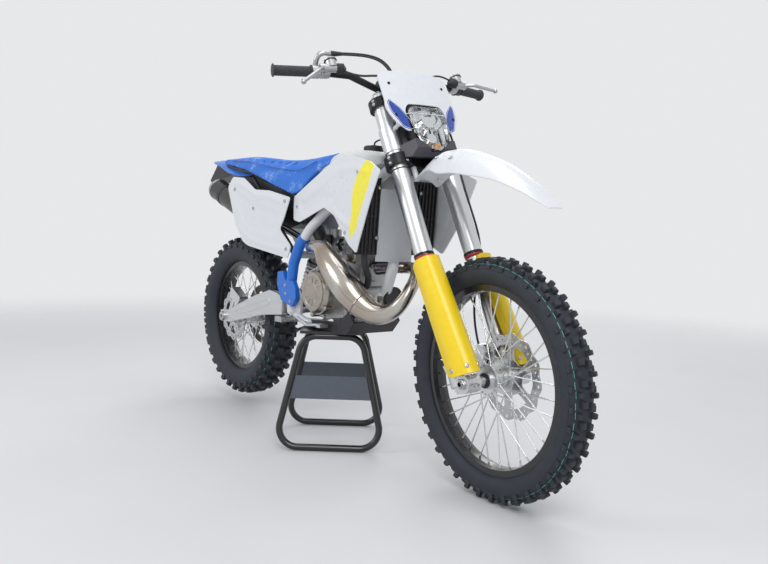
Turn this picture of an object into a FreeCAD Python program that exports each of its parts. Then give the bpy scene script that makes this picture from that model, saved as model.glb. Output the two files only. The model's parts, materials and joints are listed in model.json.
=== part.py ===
import FreeCAD, Part
import math
import os
from FreeCAD import Placement, Rotation
from FreeCAD import Vector as V

# Dirt bike held on a paddock stand. Lengths in millimetres, angles in degrees.
# X points forward, Y to the rider's left, Z up, and the floor is Z = 0.

# Wheels and stance
WHEELBASE = 1486.7
REAR_AXLE_X = -747.0
REAR_LIFT = 40.0
DECK_HEIGHT = 1000.0
RUN_GAP = 5.0
SEAT_GAP = 0.3
CUT_OVERRUN = 5.0
STRAIGHT_SHARE = 0.002
PIPE_SIDES = 12
PIPE_RULED = True

FRONT_TYRE_R = 353.0
FRONT_TYRE_HALF = 45.0
FRONT_RIM_R = 273.5
FRONT_RIM_HALF = 25.0
REAR_TYRE_R = 345.0
REAR_TYRE_HALF = 66.0
REAR_RIM_R = 235.7
REAR_RIM_HALF = 32.0
TYRE_WALL = 9.0
FRONT_LUG_HEIGHT = 13.0
FRONT_PITCHES = 28
REAR_LUG_HEIGHT = 16.0
REAR_PITCHES = 26
RIM_DEPTH = 22.0
RIM_WALL = 4.0
SPOKE_COUNT = 36
SPOKE_R = 2.0

FRONT_HUB_R = 26.0
FRONT_HUB_HALF = 38.0
FRONT_FLANGE_R = 46.0
FRONT_DISC_R = 130.0
FRONT_DISC_Y = 60.0
REAR_HUB_R = 32.0
REAR_HUB_HALF = 44.0
REAR_FLANGE_R = 58.0
REAR_DISC_R = 110.0
REAR_DISC_Y = -68.0
FLANGE_WALL = 5.0
DISC_WALL = 3.0
DISC_RING = 26.0
AXLE_R = 10.0
AXLE_BORE_R = 7.0

# Steering, measured along the steering axis from the foot of the front axle
RAKE = 26.09
STEER_REST = -5.21
FORK_OFFSET = 22.0
AXLE_LEAD = 35.0
FORK_SPACING = 193.0
FORK_OUTER_R = 29.5
FORK_INNER_R = 24.0
FORK_OUTER_LOW = 400.0
FORK_TOP = 955.0
FORK_OVERLAP = 60.0
CAP_R = 22.0
CAP_HEIGHT = 9.0
STEM_R = 14.0
STEM_TOP = 958.0
HEAD_TUBE_R = 28.0
HEAD_LOW = 745.0
HEAD_HIGH = 906.0
LOWER_CLAMP_LOW = 703.0
LOWER_CLAMP_WALL = 35.0
UPPER_CLAMP_LOW = 913.0
UPPER_CLAMP_WALL = 28.0
CLAMP_RIM = 12.0
STEM_BOSS_R = 30.0
GUARD_TOP = 388.0
GUARD_LOW = 24.0
GUARD_WALL = 3.5
GUARD_R = 38.0
GUARD_BOSS_HEIGHT = 52.0
GUARD_BOSS_R = 7.0

BAR_R = 11.4
GRIP_R = 16.5
GRIP_LENGTH = 128.0
BAR_HALF = 417.0
BAR_RISE = 1000.0
BAR_END_RISE = 1067.0
BAR_END_BACK = -44.0
BAR_CENTRE_N = 8.0
LEVER_R = 6.0
PERCH_R = 19.0
PERCH_LENGTH = 34.0

MASK_HALF = 140.0
MASK_TOP = 1008.0
MASK_LOW = 787.0
MASK_N = 106.0
MASK_WALL = 4.0
MASK_BOW = 16.0
MASK_LEAN = 8.0
MASK_CORNER_R = 22.0
MASK_BOSS_A = 824.0
MASK_BOSS_R = 7.0
GRIP_FLANGE = 4.0
LEVER_REACH = 34.0
LEVER_TIP_N = 62.0
LEVER_DROP = 57.0
BRAKE_LEVER_DROP = 110.0
LEVER_TIP_SHARE = 0.93
CALIPER_ANGLE = 138.0
CALIPER_LENGTH = 96.0
CALIPER_INSIDE = 20.0
BRACKET_LOW = 752.0
BRACKET_HEIGHT = 84.0
LAMP_HALF = 74.0
LAMP_TOP = 880.0
LAMP_LOW = 719.0
LAMP_DEPTH = 62.0
SHELL_BACK_N = 54.0
SHELL_LENGTH = 58.0
SHELL_HALF = 98.0
SHELL_LOW = 708.0
SHELL_HEIGHT = 54.0

THROTTLE_R = 21.0
ELBOW_R = 8.5
HOSE_SMALL_R = 3.5
CABLE_R = 3.0
CABLE_BEND = 400.0

FENDER_WALL = 3.5
FENDER_HALF = 76.0
FENDER_TIP_AHEAD = 222.0
FENDER_LENGTH = 572.0
FENDER_CREST_Z = 1018.0
FENDER_DROP = 80.0
FENDER_POST_N = 28.0
FENDER_POST_Y = 46.0
FENDER_POST_R = 9.0

# Frame and running gear
SPAR_R = 18.0
SPAR_Y = 107.0
RAIL_R = 11.0
CRADLE_R = 14.0
CRADLE_Y = 82.0
DOWN_TUBE_R = 19.0
PIVOT_SHARE = (0.360, 0.488)
PIVOT_R = 22.0
PIVOT_BOLT_R = 8.0
PIVOT_PLATE_WALL = 12.0
PIVOT_HALF = 90.0
ARM_IN_Y = 92.0
ARM_WALL = 26.0
GUARD_PLATE_WALL = 4.0
GUARD_ROUTE_FROM = 4
GUARD_START_SHARE = 0.55

CASE_HALF = 66.0
CLUTCH_R = 82.0
CLUTCH_Y = 140.0
CLUTCH_CAP_R = 68.0
CLUTCH_CAP_WALL = 15.0
CASE_COVER_Y = 96.0
FLYWHEEL_R = 62.0
FLYWHEEL_Y = 100.0
CYLINDER_HALF = 58.0
CYLINDER_LEAN = 8.0
CYLINDER_HEIGHT = 138.0
HEAD_R = 60.0
HEAD_HEIGHT = 42.0
FIN_WALL = 4.0
CARB_R = 29.0
CARB_LENGTH = 88.0
BOWL_R = 24.0

CHAIN_Y = 79.0
CHAIN_HALF = 7.5
CHAIN_LINK_HALF = 8.0
REAR_SPROCKET_R = 126.4
FRONT_SPROCKET_R = 33.0
SPROCKET_WALL = 6.0
TOOTH_GAP = 2.5

RADIATOR_IN_Y = 76.0
RADIATOR_WIDTH = 96.0
RADIATOR_DEPTH = 32.0
LOUVRE_WALL = 4.0
LOUVRE_DEPTH = 7.0
LOUVRE_COUNT = 7
RADIATOR_TAB_SHARE = (0.673, 0.800)
RADIATOR_TAB_R = 7.0

CARB_SHARE = (0.476, 0.716)
AIRBOX_SHARES = [(0.305, 0.790), (0.290, 0.900), (0.150, 0.940), (0.110, 0.900), (0.140, 0.800), (0.250, 0.770)]
PIPE_R = [24, 21.5, 20.5, 20.5, 20.5, 21, 23, 27, 33, 41, 48, 52, 50, 43, 34, 26, 19.5, 15, 14, 14, 14, 14, 16]
PIPE_REACH = 144.0
SILENCER_END_SHARE = (-0.112, 0.938)
FRONT_SPROCKET_SHARE = (0.418, 0.490)
SHOCK_LOW_SHARE = (0.323, 0.5053)
SHOCK_HIGH_SHARE = (0.371, 0.672)
SPRING_TURNS = 7
REAR_CALIPER_ANGLE = 62.0
SUBFRAME_Y = 100.0
SHROUD_CROWN = 12.0
PANEL_CROWN = 4.0
SIDE_FOLDED_WAY = (-0.985, 0.06, 0.16)
SIDE_DOWN_WAY = (0.06, 0.34, -0.94)
SILENCER_R = 47.0
SILENCER_GAP_SHARE = 0.26
SILENCER_Y = -70.0
SEAT_HALF = 110.0
TANK_HALF = 105.0
SHROUD_WALL = 4.0
SHROUD_REAR_Y = 118.0
SHROUD_FRONT_Y = 222.0
PANEL_WALL = 4.0
PANEL_REAR_Y = 127.0
PANEL_FRONT_Y = 136.0
TANK_CAP_R = 36.0
PANEL_BOSS_R = 7.0
PANEL_BOSS_SHARE = (0.250, 0.800)
RADIATOR_BOSS_SHARE = (0.671, 0.860)
SKID_WALL = 4.0
SKID_HALF = 102.0
SKID_NOSE_HALF = 46.0
PEG_LENGTH = 80.0
PEG_HALF = 24.0
SHOCK_R = 22.0
SPRING_R = 36.0
SPRING_WIRE_R = 5.5

HORN_SHARE = (0.652, 22.0, 0.545)
HORN_R = 36.0
HORN_DEPTH = 18.0
HOSE_R = 11.0
HOSE_REACH = 112.0
HOSE_BEND = 40.0

# Side stand and paddock stand
SIDE_LEG_R = 11.0
SIDE_LEG_LENGTH = 375.0
SIDE_PIVOT_Y = 136.0
SIDE_PIVOT_SHARE = (0.346, 0.418)
SIDE_FOOT_R = 24.0
STAND_TURN = -38.5
STAND_X = -45.0
STAND_Y = -19.0
STAND_TUBE_R = 12.0
SKID_LOW_SHARE = 0.4123
STAND_HEIGHT = SKID_LOW_SHARE * DECK_HEIGHT - 2 * SEAT_GAP
STAND_LOW_SPREAD = 178.0
STAND_TOP_SPREAD = 118.0
STAND_LOW_HALF = 190.0
STAND_TOP_HALF = 104.0
STAND_CORNER_R = 66.0
STAND_DECK_WALL = 10.0
STAND_PLATE_LOW = 177.0
STAND_PLATE_HIGH = 256.0
STAND_PLATE_WALL = 3.0

CRADLE_BRACE_SHARE = (0.500, 0.430)
SEAT_BRACE_SHARE = (0.10, 0.998)
TAIL_BRACE_SHARE = (-0.05, 1.034)
BOOT_BEND_SHARE = (0.342, 0.800)
BOOT_END_SHARE = (0.300, 0.838)
TANK_NECK_SHARE = (0.592, 1.036)
PEG_SHARE = (0.385, 0.425)
PEDAL_PIVOT_SHARE = (0.400, 0.440)
PEDAL_BEND_SHARE = (0.450, 0.420)
PEDAL_PAD_SHARE = (0.520, 0.432)
SHIFT_PIVOT_SHARE = (0.452, 0.482)
SHIFT_BEND_SHARE = (0.480, 0.474)
SHIFT_TIP_SHARE = (0.540, 0.470)
SIDE_STRUT_SHARE = (0.352, 0.452)

REAR_AXLE_Z = REAR_TYRE_R + REAR_LIFT
FRONT_AXLE_Z = FRONT_TYRE_R + SEAT_GAP
FRONT_AXLE = V(REAR_AXLE_X + WHEELBASE, 0, FRONT_AXLE_Z)
REAR_AXLE = V(REAR_AXLE_X, 0, REAR_AXLE_Z)
STEER_U = V(-math.sin(math.radians(RAKE)), 0, math.cos(math.radians(RAKE)))
STEER_N = V(math.cos(math.radians(RAKE)), 0, math.sin(math.radians(RAKE)))
STEER_FOOT = FRONT_AXLE - STEER_N * (FORK_OFFSET + AXLE_LEAD)
STRAIGHT_PLACE = Placement(STEER_FOOT, Rotation(V(0, 1, 0), -RAKE))
STEER_PLACE = STRAIGHT_PLACE.multiply(Placement(V(0, 0, 0), Rotation(V(0, 0, 1), STEER_REST)))
AXLE_N = FORK_OFFSET + AXLE_LEAD
ACROSS = V(0, 1, 0)
UP = V(0, 0, 1)
PARTS = {}


def spot(x_share, y, z_share):
    """A point of the bike: share of the wheelbase ahead of the rear axle, share of the deck height."""
    return V(REAR_AXLE_X + x_share * WHEELBASE, y, z_share * DECK_HEIGHT)


def side_spot(share, y):
    """A point at a (length, height) share of the side view, and a distance across."""
    return spot(share[0], y, share[1])


def keep(name, *solids):
    PARTS[name] = solids[0] if len(solids) == 1 else Part.makeCompound(list(solids))


def fuse(first, *others):
    return first.multiFuse(list(others)).removeSplitter()


def rod(start, end, radius):
    return Part.makeCylinder(radius, (end - start).Length, start, end - start)


def cone(start, end, start_r, end_r):
    return Part.makeCone(start_r, end_r, (end - start).Length, start, end - start)


def ring(centre, direction, outer_r, inner_r, width):
    """A flat ring centred on a point, its width along the direction."""
    unit = V(direction).normalize()
    base = centre - unit * (width / 2)
    body = Part.makeCylinder(outer_r, width, base, unit)
    hole = Part.makeCylinder(inner_r, width + 2 * CUT_OVERRUN, base - unit * CUT_OVERRUN, unit)
    return body.cut(hole)


def rounded_wire(points, radius, closed=True):
    """A wire of straight runs whose corners are arcs."""
    count = len(points)
    edges = []
    first = last = None
    for i, point in enumerate(points):
        if not closed and i in (0, count - 1):
            start = end = point
        else:
            back = points[i - 1] - point
            ahead = points[(i + 1) % count] - point
            half = back.getAngle(ahead) / 2
            straight = math.cos(half) < STRAIGHT_SHARE
            reach = min(radius / math.tan(half), 0.48 * min(back.Length, ahead.Length))
            start = end = point
            if not straight:
                start = point + back.normalize() * reach
                end = point + ahead.normalize() * reach
                bisector = (back + ahead).normalize()
                middle = point + bisector * (reach / math.cos(half) - reach * math.tan(half))
        if last is not None:
            edges.append(Part.LineSegment(last, start).toShape())
        if (end - start).Length:
            edges.append(Part.Arc(start, middle, end).toShape())
        if first is None:
            first = start
        last = end
    if closed:
        edges.append(Part.LineSegment(last, first).toShape())
    return Part.Wire(edges)


def tube(points, radius, bend):
    """A round bar along straight runs joined by arcs."""
    path = rounded_wire(points, bend, closed=False)
    start = Part.Wire(Part.makeCircle(radius, points[0], points[1] - points[0]))
    return path.makePipeShell([start], True, False)


def loft(stations, ruled=True):
    return Part.makeLoft(stations, True, ruled)


def pipe(stations):
    """Round pipe through (point, radius) stations, each ring square to the run there."""
    rings = []
    last = len(stations) - 1
    across = V(ACROSS)
    for i, (point, radius) in enumerate(stations):
        way = (stations[min(i + 1, last)][0] - stations[max(i - 1, 0)][0]).normalize()
        across = (across - way * across.dot(way)).normalize()
        rise = way.cross(across)
        points = []
        for k in range(PIPE_SIDES):
            angle = 2 * math.pi * k / PIPE_SIDES
            points.append(point + across * radius * math.cos(angle) + rise * radius * math.sin(angle))
        curve = Part.BSplineCurve()
        curve.interpolate(Points=points, PeriodicFlag=True)
        rings.append(Part.Wire(curve.toShape()))
    return loft(rings, PIPE_RULED)


def prism(points, direction, corner=0.0):
    if corner:
        wire = rounded_wire(points, corner)
    else:
        wire = Part.makePolygon(points + [points[0]])
    return Part.Face(wire).extrude(direction)


def side_prism(shares, y_from, y_to, corner=0.0):
    """A plate cut to a side outline, from one distance across to another."""
    points = [spot(x, y_from, z) for x, z in shares]
    return prism(points, V(0, y_to - y_from, 0), corner)


def skin(rows, wall):
    """A curved sheet through rows of points, thickened along a direction."""
    surface = Part.BSplineSurface()
    surface.interpolate(rows)
    return surface.toShape().extrude(wall)


def mirrored(shape):
    return shape.mirror(V(0, 0, 0), ACROSS)


def revolve_y(points, centre):
    """Turn a closed profile of (radius, y) points about the wheel's axle."""
    wire = Part.makePolygon([centre + V(r, y, 0) for r, y in points + [points[0]]])
    return Part.Face(wire).revolve(centre, ACROSS, 360)


def steered(shape):
    """Move a shape drawn along the steering axis to its place at rest."""
    shape = shape.copy()
    shape.Placement = STEER_PLACE.multiply(shape.Placement)
    return shape


def steered_straight(shape):
    """Turn a shape drawn with the wheel straight ahead to its place at rest."""
    shape = shape.copy()
    shape.Placement = STEER_PLACE.multiply(STRAIGHT_PLACE.inverse()).multiply(shape.Placement)
    return shape


# Wheels
CARCASS_SHARES = [(0.42, 0.88), (0.78, 0.90), (0.925, 0.68), (1.0, 0.28)]
LUG_RISE_SHARES = [0.60, 0.80, 1.0, 0.80, 0.60]
LUG_TOP_SHARE = 0.74


def flat_face(points):
    return Part.Face(Part.makePolygon(points + [points[0]]))


def lug_faces(cell, centre, rise):
    """The four walls and the top of a lug that stands on a flat cell of the tread."""
    middle = (cell[0] + cell[1] + cell[2] + cell[3]) * 0.25
    out = (cell[2] - cell[0]).cross(cell[3] - cell[1]).normalize()
    if out.dot(middle - centre) < 0:
        out = out * -1
    top = [middle + (point - middle) * LUG_TOP_SHARE + out * rise for point in cell]
    walls = [[cell[i], cell[(i + 1) % 4], top[(i + 1) % 4], top[i]] for i in range(4)]
    return [flat_face(wall) for wall in walls] + [flat_face(top)]


def tyre(centre, tyre_r, tyre_half, rim_r, rim_half, lug, pitches, down):
    """A tyre of flat cells, its lugs raised from every other cell of each tread row, one row's
    lugs beside the next row's gaps, and one lug of the middle row at the bottom."""
    step = math.pi / pitches
    crown_r = tyre_r - lug
    bead_r = rim_r / math.cos(step / 2)
    outer = [(bead_r, rim_half)]
    outer += [(rim_r + (crown_r - rim_r) * r, tyre_half * y) for r, y in CARCASS_SHARES]
    inner = [(crown_r - 2 * TYRE_WALL, tyre_half - 2.5 * TYRE_WALL), (bead_r, rim_half - TYRE_WALL)]
    section = outer + [(r, -y) for r, y in reversed(outer)]
    section += [(r, -y) for r, y in reversed(inner)] + inner
    first_row = len(outer) - 1 - len(LUG_RISE_SHARES) // 2
    flat_loss = crown_r * (1 - math.cos(step / 2))

    def at(j, corner):
        angle = down + (j - 0.5) * step
        return centre + V(corner[0] * math.cos(angle), corner[1], corner[0] * math.sin(angle))

    faces = []
    for j in range(2 * pitches):
        for k, low in enumerate(section):
            high = section[(k + 1) % len(section)]
            cell = [at(j, low), at(j, high), at(j + 1, high), at(j + 1, low)]
            row = k - first_row
            if 0 <= row < len(LUG_RISE_SHARES) and (j + row) % 2 == 0:
                faces += lug_faces(cell, centre, lug * LUG_RISE_SHARES[row] + flat_loss)
            else:
                faces.append(flat_face(cell))
    shell = Part.Shell(faces)
    shell.sewShape()
    return Part.Solid(Part.Shell(shell.Faces))


def rim(centre, rim_r, rim_half):
    bed = rim_r - RIM_DEPTH
    lip = rim_half - RIM_WALL
    inner_r = bed + RIM_WALL
    profile = [(rim_r, rim_half), (rim_r, lip), (inner_r + RIM_WALL, lip - RIM_WALL), (inner_r, lip / 2)]
    profile += [(inner_r, -lip / 2), (inner_r + RIM_WALL, RIM_WALL - lip), (rim_r, -lip), (rim_r, -rim_half)]
    profile += [(inner_r, -rim_half), (bed, -lip / 2), (bed, lip / 2), (inner_r, rim_half)]
    return revolve_y(profile, centre)


def hub(centre, hub_r, hub_half, flange_r, rim_reach):
    """Hub barrel with two flanges and crossed spokes out to the rim."""
    barrel = Part.makeCylinder(hub_r, 2 * hub_half, centre - ACROSS * hub_half, ACROSS)
    spoke_y = hub_half - 2 * FLANGE_WALL
    solids = [barrel]
    for side in (1, -1):
        solids.append(ring(centre + ACROSS * side * spoke_y, ACROSS, flange_r, hub_r / 2, FLANGE_WALL))
    step = 360.0 / SPOKE_COUNT
    sweep = 4 * step
    for i in range(SPOKE_COUNT):
        side = 1 if i % 2 else -1
        lean = sweep if (i // 2) % 2 else -sweep
        foot_angle = math.radians(i * step + lean)
        rim_angle = math.radians(i * step)
        foot_r = flange_r - FLANGE_WALL
        foot = centre + V(foot_r * math.cos(foot_angle), side * spoke_y, foot_r * math.sin(foot_angle))
        tip = centre + V(rim_reach * math.cos(rim_angle), side * SPOKE_R, rim_reach * math.sin(rim_angle))
        solids.append(rod(foot, tip, SPOKE_R))
    whole = fuse(*solids)
    bore = Part.makeCylinder(AXLE_R + SEAT_GAP, 4 * hub_half, centre - ACROSS * 2 * hub_half, ACROSS)
    return whole.cut(bore)


def disc(centre, disc_r, disc_y, hub_r, hub_end):
    """Wavy brake ring on a carrier that bolts to the hub's end."""
    waves = 10
    middle = centre + ACROSS * disc_y
    ring_shape = ring(middle, ACROSS, disc_r, disc_r - DISC_RING, DISC_WALL)
    scallop_r = DISC_RING / 2
    for i in range(waves):
        angle = 2 * math.pi * i / waves
        reach = disc_r + scallop_r * 0.6
        at = middle + V(reach * math.cos(angle), -DISC_WALL, reach * math.sin(angle))
        ring_shape = ring_shape.cut(Part.makeCylinder(scallop_r, 2 * DISC_WALL, at, ACROSS))
    toward = 1 if disc_y > 0 else -1
    carrier_start = centre + ACROSS * toward * hub_end
    carrier = Part.makeCylinder(hub_r, abs(disc_y) - hub_end + DISC_WALL / 2, carrier_start, ACROSS * toward)
    solids = [carrier, ring_shape]
    arms = waves // 2
    for i in range(arms):
        angle = 2 * math.pi * (i + 0.5) / arms
        tip_r = disc_r - DISC_RING / 2
        radial = V(math.cos(angle), 0, math.sin(angle))
        side = V(-math.sin(angle), 0, math.cos(angle)) * (DISC_RING / 4)
        base = middle - ACROSS * DISC_WALL * 0.4
        corners = [base - side, base - side + radial * tip_r, base + side + radial * tip_r, base + side]
        solids.append(prism(corners, ACROSS * DISC_WALL * 0.8))
    whole = fuse(*solids)
    bore = Part.makeCylinder(AXLE_R + SEAT_GAP, 4 * abs(disc_y), centre - ACROSS * 2 * abs(disc_y), ACROSS)
    return whole.cut(bore)


def sprocket(centre, pitch_r, bore_r):
    middle = centre + ACROSS * CHAIN_Y
    return ring(middle, ACROSS, pitch_r - CHAIN_LINK_HALF - TOOTH_GAP, bore_r, SPROCKET_WALL)


def build_wheels():
    local = V(AXLE_N, 0, 0)
    rake = math.radians(RAKE)
    front_down = math.atan2(-math.cos(rake), -math.sin(rake) * math.cos(math.radians(STEER_REST)))
    front_tyre = tyre(local, FRONT_TYRE_R, FRONT_TYRE_HALF, FRONT_RIM_R, FRONT_RIM_HALF,
                      FRONT_LUG_HEIGHT, FRONT_PITCHES, front_down)
    keep("front_tyre", steered(front_tyre))
    keep("front_rim", steered(rim(local, FRONT_RIM_R, FRONT_RIM_HALF)))
    reach = FRONT_RIM_R - RIM_DEPTH - 2 * SEAT_GAP
    keep("front_hub", steered(hub(local, FRONT_HUB_R, FRONT_HUB_HALF, FRONT_FLANGE_R, reach)))
    keep("front_disc", steered(disc(local, FRONT_DISC_R, FRONT_DISC_Y, FRONT_HUB_R, FRONT_HUB_HALF)))
    keep("rear_tyre", tyre(REAR_AXLE, REAR_TYRE_R, REAR_TYRE_HALF, REAR_RIM_R, REAR_RIM_HALF,
                           REAR_LUG_HEIGHT, REAR_PITCHES, -math.pi / 2))
    keep("rear_rim", rim(REAR_AXLE, REAR_RIM_R, REAR_RIM_HALF))
    keep("rear_hub", hub(REAR_AXLE, REAR_HUB_R, REAR_HUB_HALF, REAR_FLANGE_R, REAR_RIM_R - RIM_DEPTH - 2 * SEAT_GAP))
    keep("rear_disc", disc(REAR_AXLE, REAR_DISC_R, REAR_DISC_Y, REAR_HUB_R, REAR_HUB_HALF))
    plate = sprocket(REAR_AXLE, REAR_SPROCKET_R, AXLE_R + SEAT_GAP)
    start = REAR_AXLE + ACROSS * REAR_HUB_HALF
    boss = rod(start, REAR_AXLE + ACROSS * CHAIN_Y, REAR_HUB_R)
    bore = rod(start - ACROSS * CUT_OVERRUN, REAR_AXLE + ACROSS * (CHAIN_Y + CHAIN_Y), AXLE_R + SEAT_GAP)
    keep("rear_sprocket", fuse(plate, boss).cut(bore))


# Steering
def fork_sides():
    return [FORK_SPACING / 2, -FORK_SPACING / 2]


def clamp_plate(low, wall):
    plates = [Part.makeCylinder(STEM_BOSS_R, wall, V(0, 0, low))]
    half = FORK_OUTER_R + CLAMP_RIM
    for y in fork_sides():
        plates.append(Part.makeCylinder(half, wall, V(FORK_OFFSET, y, low)))
    corners = [V(-STEM_BOSS_R * 0.9, 0, low), V(FORK_OFFSET - half * 0.85, FORK_SPACING / 2, low)]
    corners += [V(FORK_OFFSET + half * 0.85, FORK_SPACING / 2, low), V(STEM_BOSS_R * 0.9, 0, low)]
    corners += [V(FORK_OFFSET + half * 0.85, -FORK_SPACING / 2, low)]
    corners += [V(FORK_OFFSET - half * 0.85, -FORK_SPACING / 2, low)]
    plates.append(prism(corners, UP * wall))
    body = fuse(*plates)
    for y in fork_sides():
        body = body.cut(Part.makeCylinder(FORK_OUTER_R, 3 * wall, V(FORK_OFFSET, y, low - wall)))
    return body


def build_forks():
    stem = Part.makeCylinder(STEM_R, STEM_TOP - LOWER_CLAMP_LOW, V(0, 0, LOWER_CLAMP_LOW))
    nut = Part.makeCylinder(STEM_R + CLAMP_RIM / 2, CLAMP_RIM, V(0, 0, UPPER_CLAMP_LOW + UPPER_CLAMP_WALL))
    lower = clamp_plate(LOWER_CLAMP_LOW, LOWER_CLAMP_WALL)
    upper = clamp_plate(UPPER_CLAMP_LOW, UPPER_CLAMP_WALL)
    risers = []
    post_low = UPPER_CLAMP_LOW + UPPER_CLAMP_WALL
    post_y = STEM_BOSS_R + CLAMP_RIM
    for side in (1, -1):
        post = Part.makeCylinder(CLAMP_RIM, BAR_RISE - post_low, V(BAR_CENTRE_N, side * post_y, post_low))
        grip = Part.makeCylinder(BAR_R + CLAMP_RIM / 2, 2.4 * CLAMP_RIM,
                                 V(BAR_CENTRE_N, side * post_y - 1.2 * CLAMP_RIM, BAR_RISE), ACROSS)
        risers += [post, grip]
    clamps = fuse(lower, upper, stem, nut, *risers)
    bar_hole = Part.makeCylinder(BAR_R, 4 * post_y, V(BAR_CENTRE_N, -2 * post_y, BAR_RISE), ACROSS)
    keep("triple_clamps", steered(clamps.cut(bar_hole)))

    outers = []
    inners = []
    lug_low = -AXLE_LEAD
    for y in fork_sides():
        outer = Part.makeCylinder(FORK_OUTER_R, FORK_TOP - FORK_OUTER_LOW, V(FORK_OFFSET, y, FORK_OUTER_LOW))
        cap = Part.makeCylinder(CAP_R, CAP_HEIGHT, V(FORK_OFFSET, y, FORK_TOP))
        bore = Part.makeCylinder(FORK_INNER_R, FORK_OVERLAP, V(FORK_OFFSET, y, FORK_OUTER_LOW))
        outers.append(steered(fuse(outer, cap).cut(bore)))
        inner_top = FORK_OUTER_LOW + FORK_OVERLAP - SEAT_GAP
        inner = Part.makeCylinder(FORK_INNER_R, inner_top, V(FORK_OFFSET, y, 0))
        shoe = Part.makeCylinder(FORK_INNER_R + RUN_GAP, 2 * AXLE_LEAD, V(FORK_OFFSET, y, 0))
        half = FORK_INNER_R + RUN_GAP
        foot = Part.makeCylinder(AXLE_LEAD * 0.8, 2 * half * 0.8, V(AXLE_N, y - half * 0.8, 0), ACROSS)
        corners = [V(FORK_OFFSET - half, y - half * 0.8, 2 * AXLE_LEAD), V(FORK_OFFSET, y - half * 0.8, lug_low * 0.6)]
        corners += [V(AXLE_N, y - half * 0.8, lug_low * 0.8), V(AXLE_N + AXLE_LEAD * 0.6, y - half * 0.8, 0)]
        corners += [V(FORK_OFFSET + half, y - half * 0.8, 2 * AXLE_LEAD)]
        web = prism(corners, ACROSS * 2 * half * 0.8)
        lug = fuse(inner, shoe, foot, web)
        hole = Part.makeCylinder(AXLE_R, 4 * half, V(AXLE_N, y - 2 * half, 0), ACROSS)
        inners.append(steered(lug.cut(hole)))
    keep("fork_outers", *outers)
    keep("fork_inners", *inners)

    half_axle = FORK_SPACING / 2 + FORK_INNER_R + 2 * RUN_GAP
    axle = Part.makeCylinder(AXLE_R, 2 * half_axle, V(AXLE_N, -half_axle, 0), ACROSS)
    axle = axle.cut(Part.makeCylinder(AXLE_BORE_R, 3 * half_axle, V(AXLE_N, -1.5 * half_axle, 0), ACROSS))
    spacers = []
    for side in (1, -1):
        gap_from = FRONT_HUB_HALF + SEAT_GAP
        if side > 0:
            gap_from = FRONT_DISC_Y + DISC_WALL / 2 + SEAT_GAP
        gap_to = FORK_SPACING / 2 - (FORK_INNER_R + RUN_GAP) * 0.8
        spacers.append(ring(V(AXLE_N, side * (gap_from + gap_to) / 2, 0), ACROSS,
                            AXLE_R + RUN_GAP, AXLE_R - SEAT_GAP, gap_to - gap_from))
    keep("front_axle", steered(fuse(axle, *spacers)))


GUARD_RING_SHARES = [(-0.55, 1.0), (0.25, 1.15), (1.05, 0.85), (1.35, 0.15), (1.15, -0.50), (0.7, -0.68)]


def build_fork_guards():
    guards = []
    for side in (1, -1):
        sections = []
        for height, ahead, scale in ((GUARD_LOW, AXLE_LEAD * 0.75, 1.2), (GUARD_TOP, 0.0, 1.0)):
            outer = []
            inner = []
            for n_share, y_share in GUARD_RING_SHARES:
                n = FORK_OFFSET + ahead + GUARD_R * scale * n_share
                y = side * (FORK_SPACING / 2 + GUARD_R * y_share)
                outer.append(V(n, y, height))
                centre = V(FORK_OFFSET + ahead, side * FORK_SPACING / 2, height)
                toward = (centre - V(n, y, height)).normalize()
                inner.append(V(n, y, height) + toward * GUARD_WALL)
            points = outer + list(reversed(inner))
            sections.append(Part.makePolygon(points + [points[0]]))
        leg_side = V(FORK_OFFSET + RUN_GAP, side * FORK_SPACING / 2, GUARD_BOSS_HEIGHT)
        boss = rod(leg_side, leg_side + ACROSS * side * (GUARD_R - GUARD_WALL * 0.3), GUARD_BOSS_R)
        guard = fuse(steered(loft(sections)), steered(boss).cut(PARTS["fork_inners"]))
        guards.append(max(guard.Solids, key=lambda part: part.Volume))
    keep("fork_guards", *guards)


def build_bars():
    end = V(BAR_END_BACK, BAR_HALF, BAR_END_RISE)
    grip_start = V(BAR_END_BACK * 0.4, BAR_HALF - GRIP_LENGTH, BAR_END_RISE - GRIP_LENGTH * 0.06)
    bend = V(BAR_CENTRE_N * 0.5, BAR_HALF * 0.42, BAR_END_RISE - GRIP_LENGTH * 0.18)
    centre = V(BAR_CENTRE_N, BAR_HALF * 0.2, BAR_RISE)
    half_points = [end, grip_start, bend, centre]
    points = half_points + [V(p.x, -p.y, p.z) for p in reversed(half_points)]
    keep("handlebar", steered(tube(points, BAR_R, 3 * BAR_R)))


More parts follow.
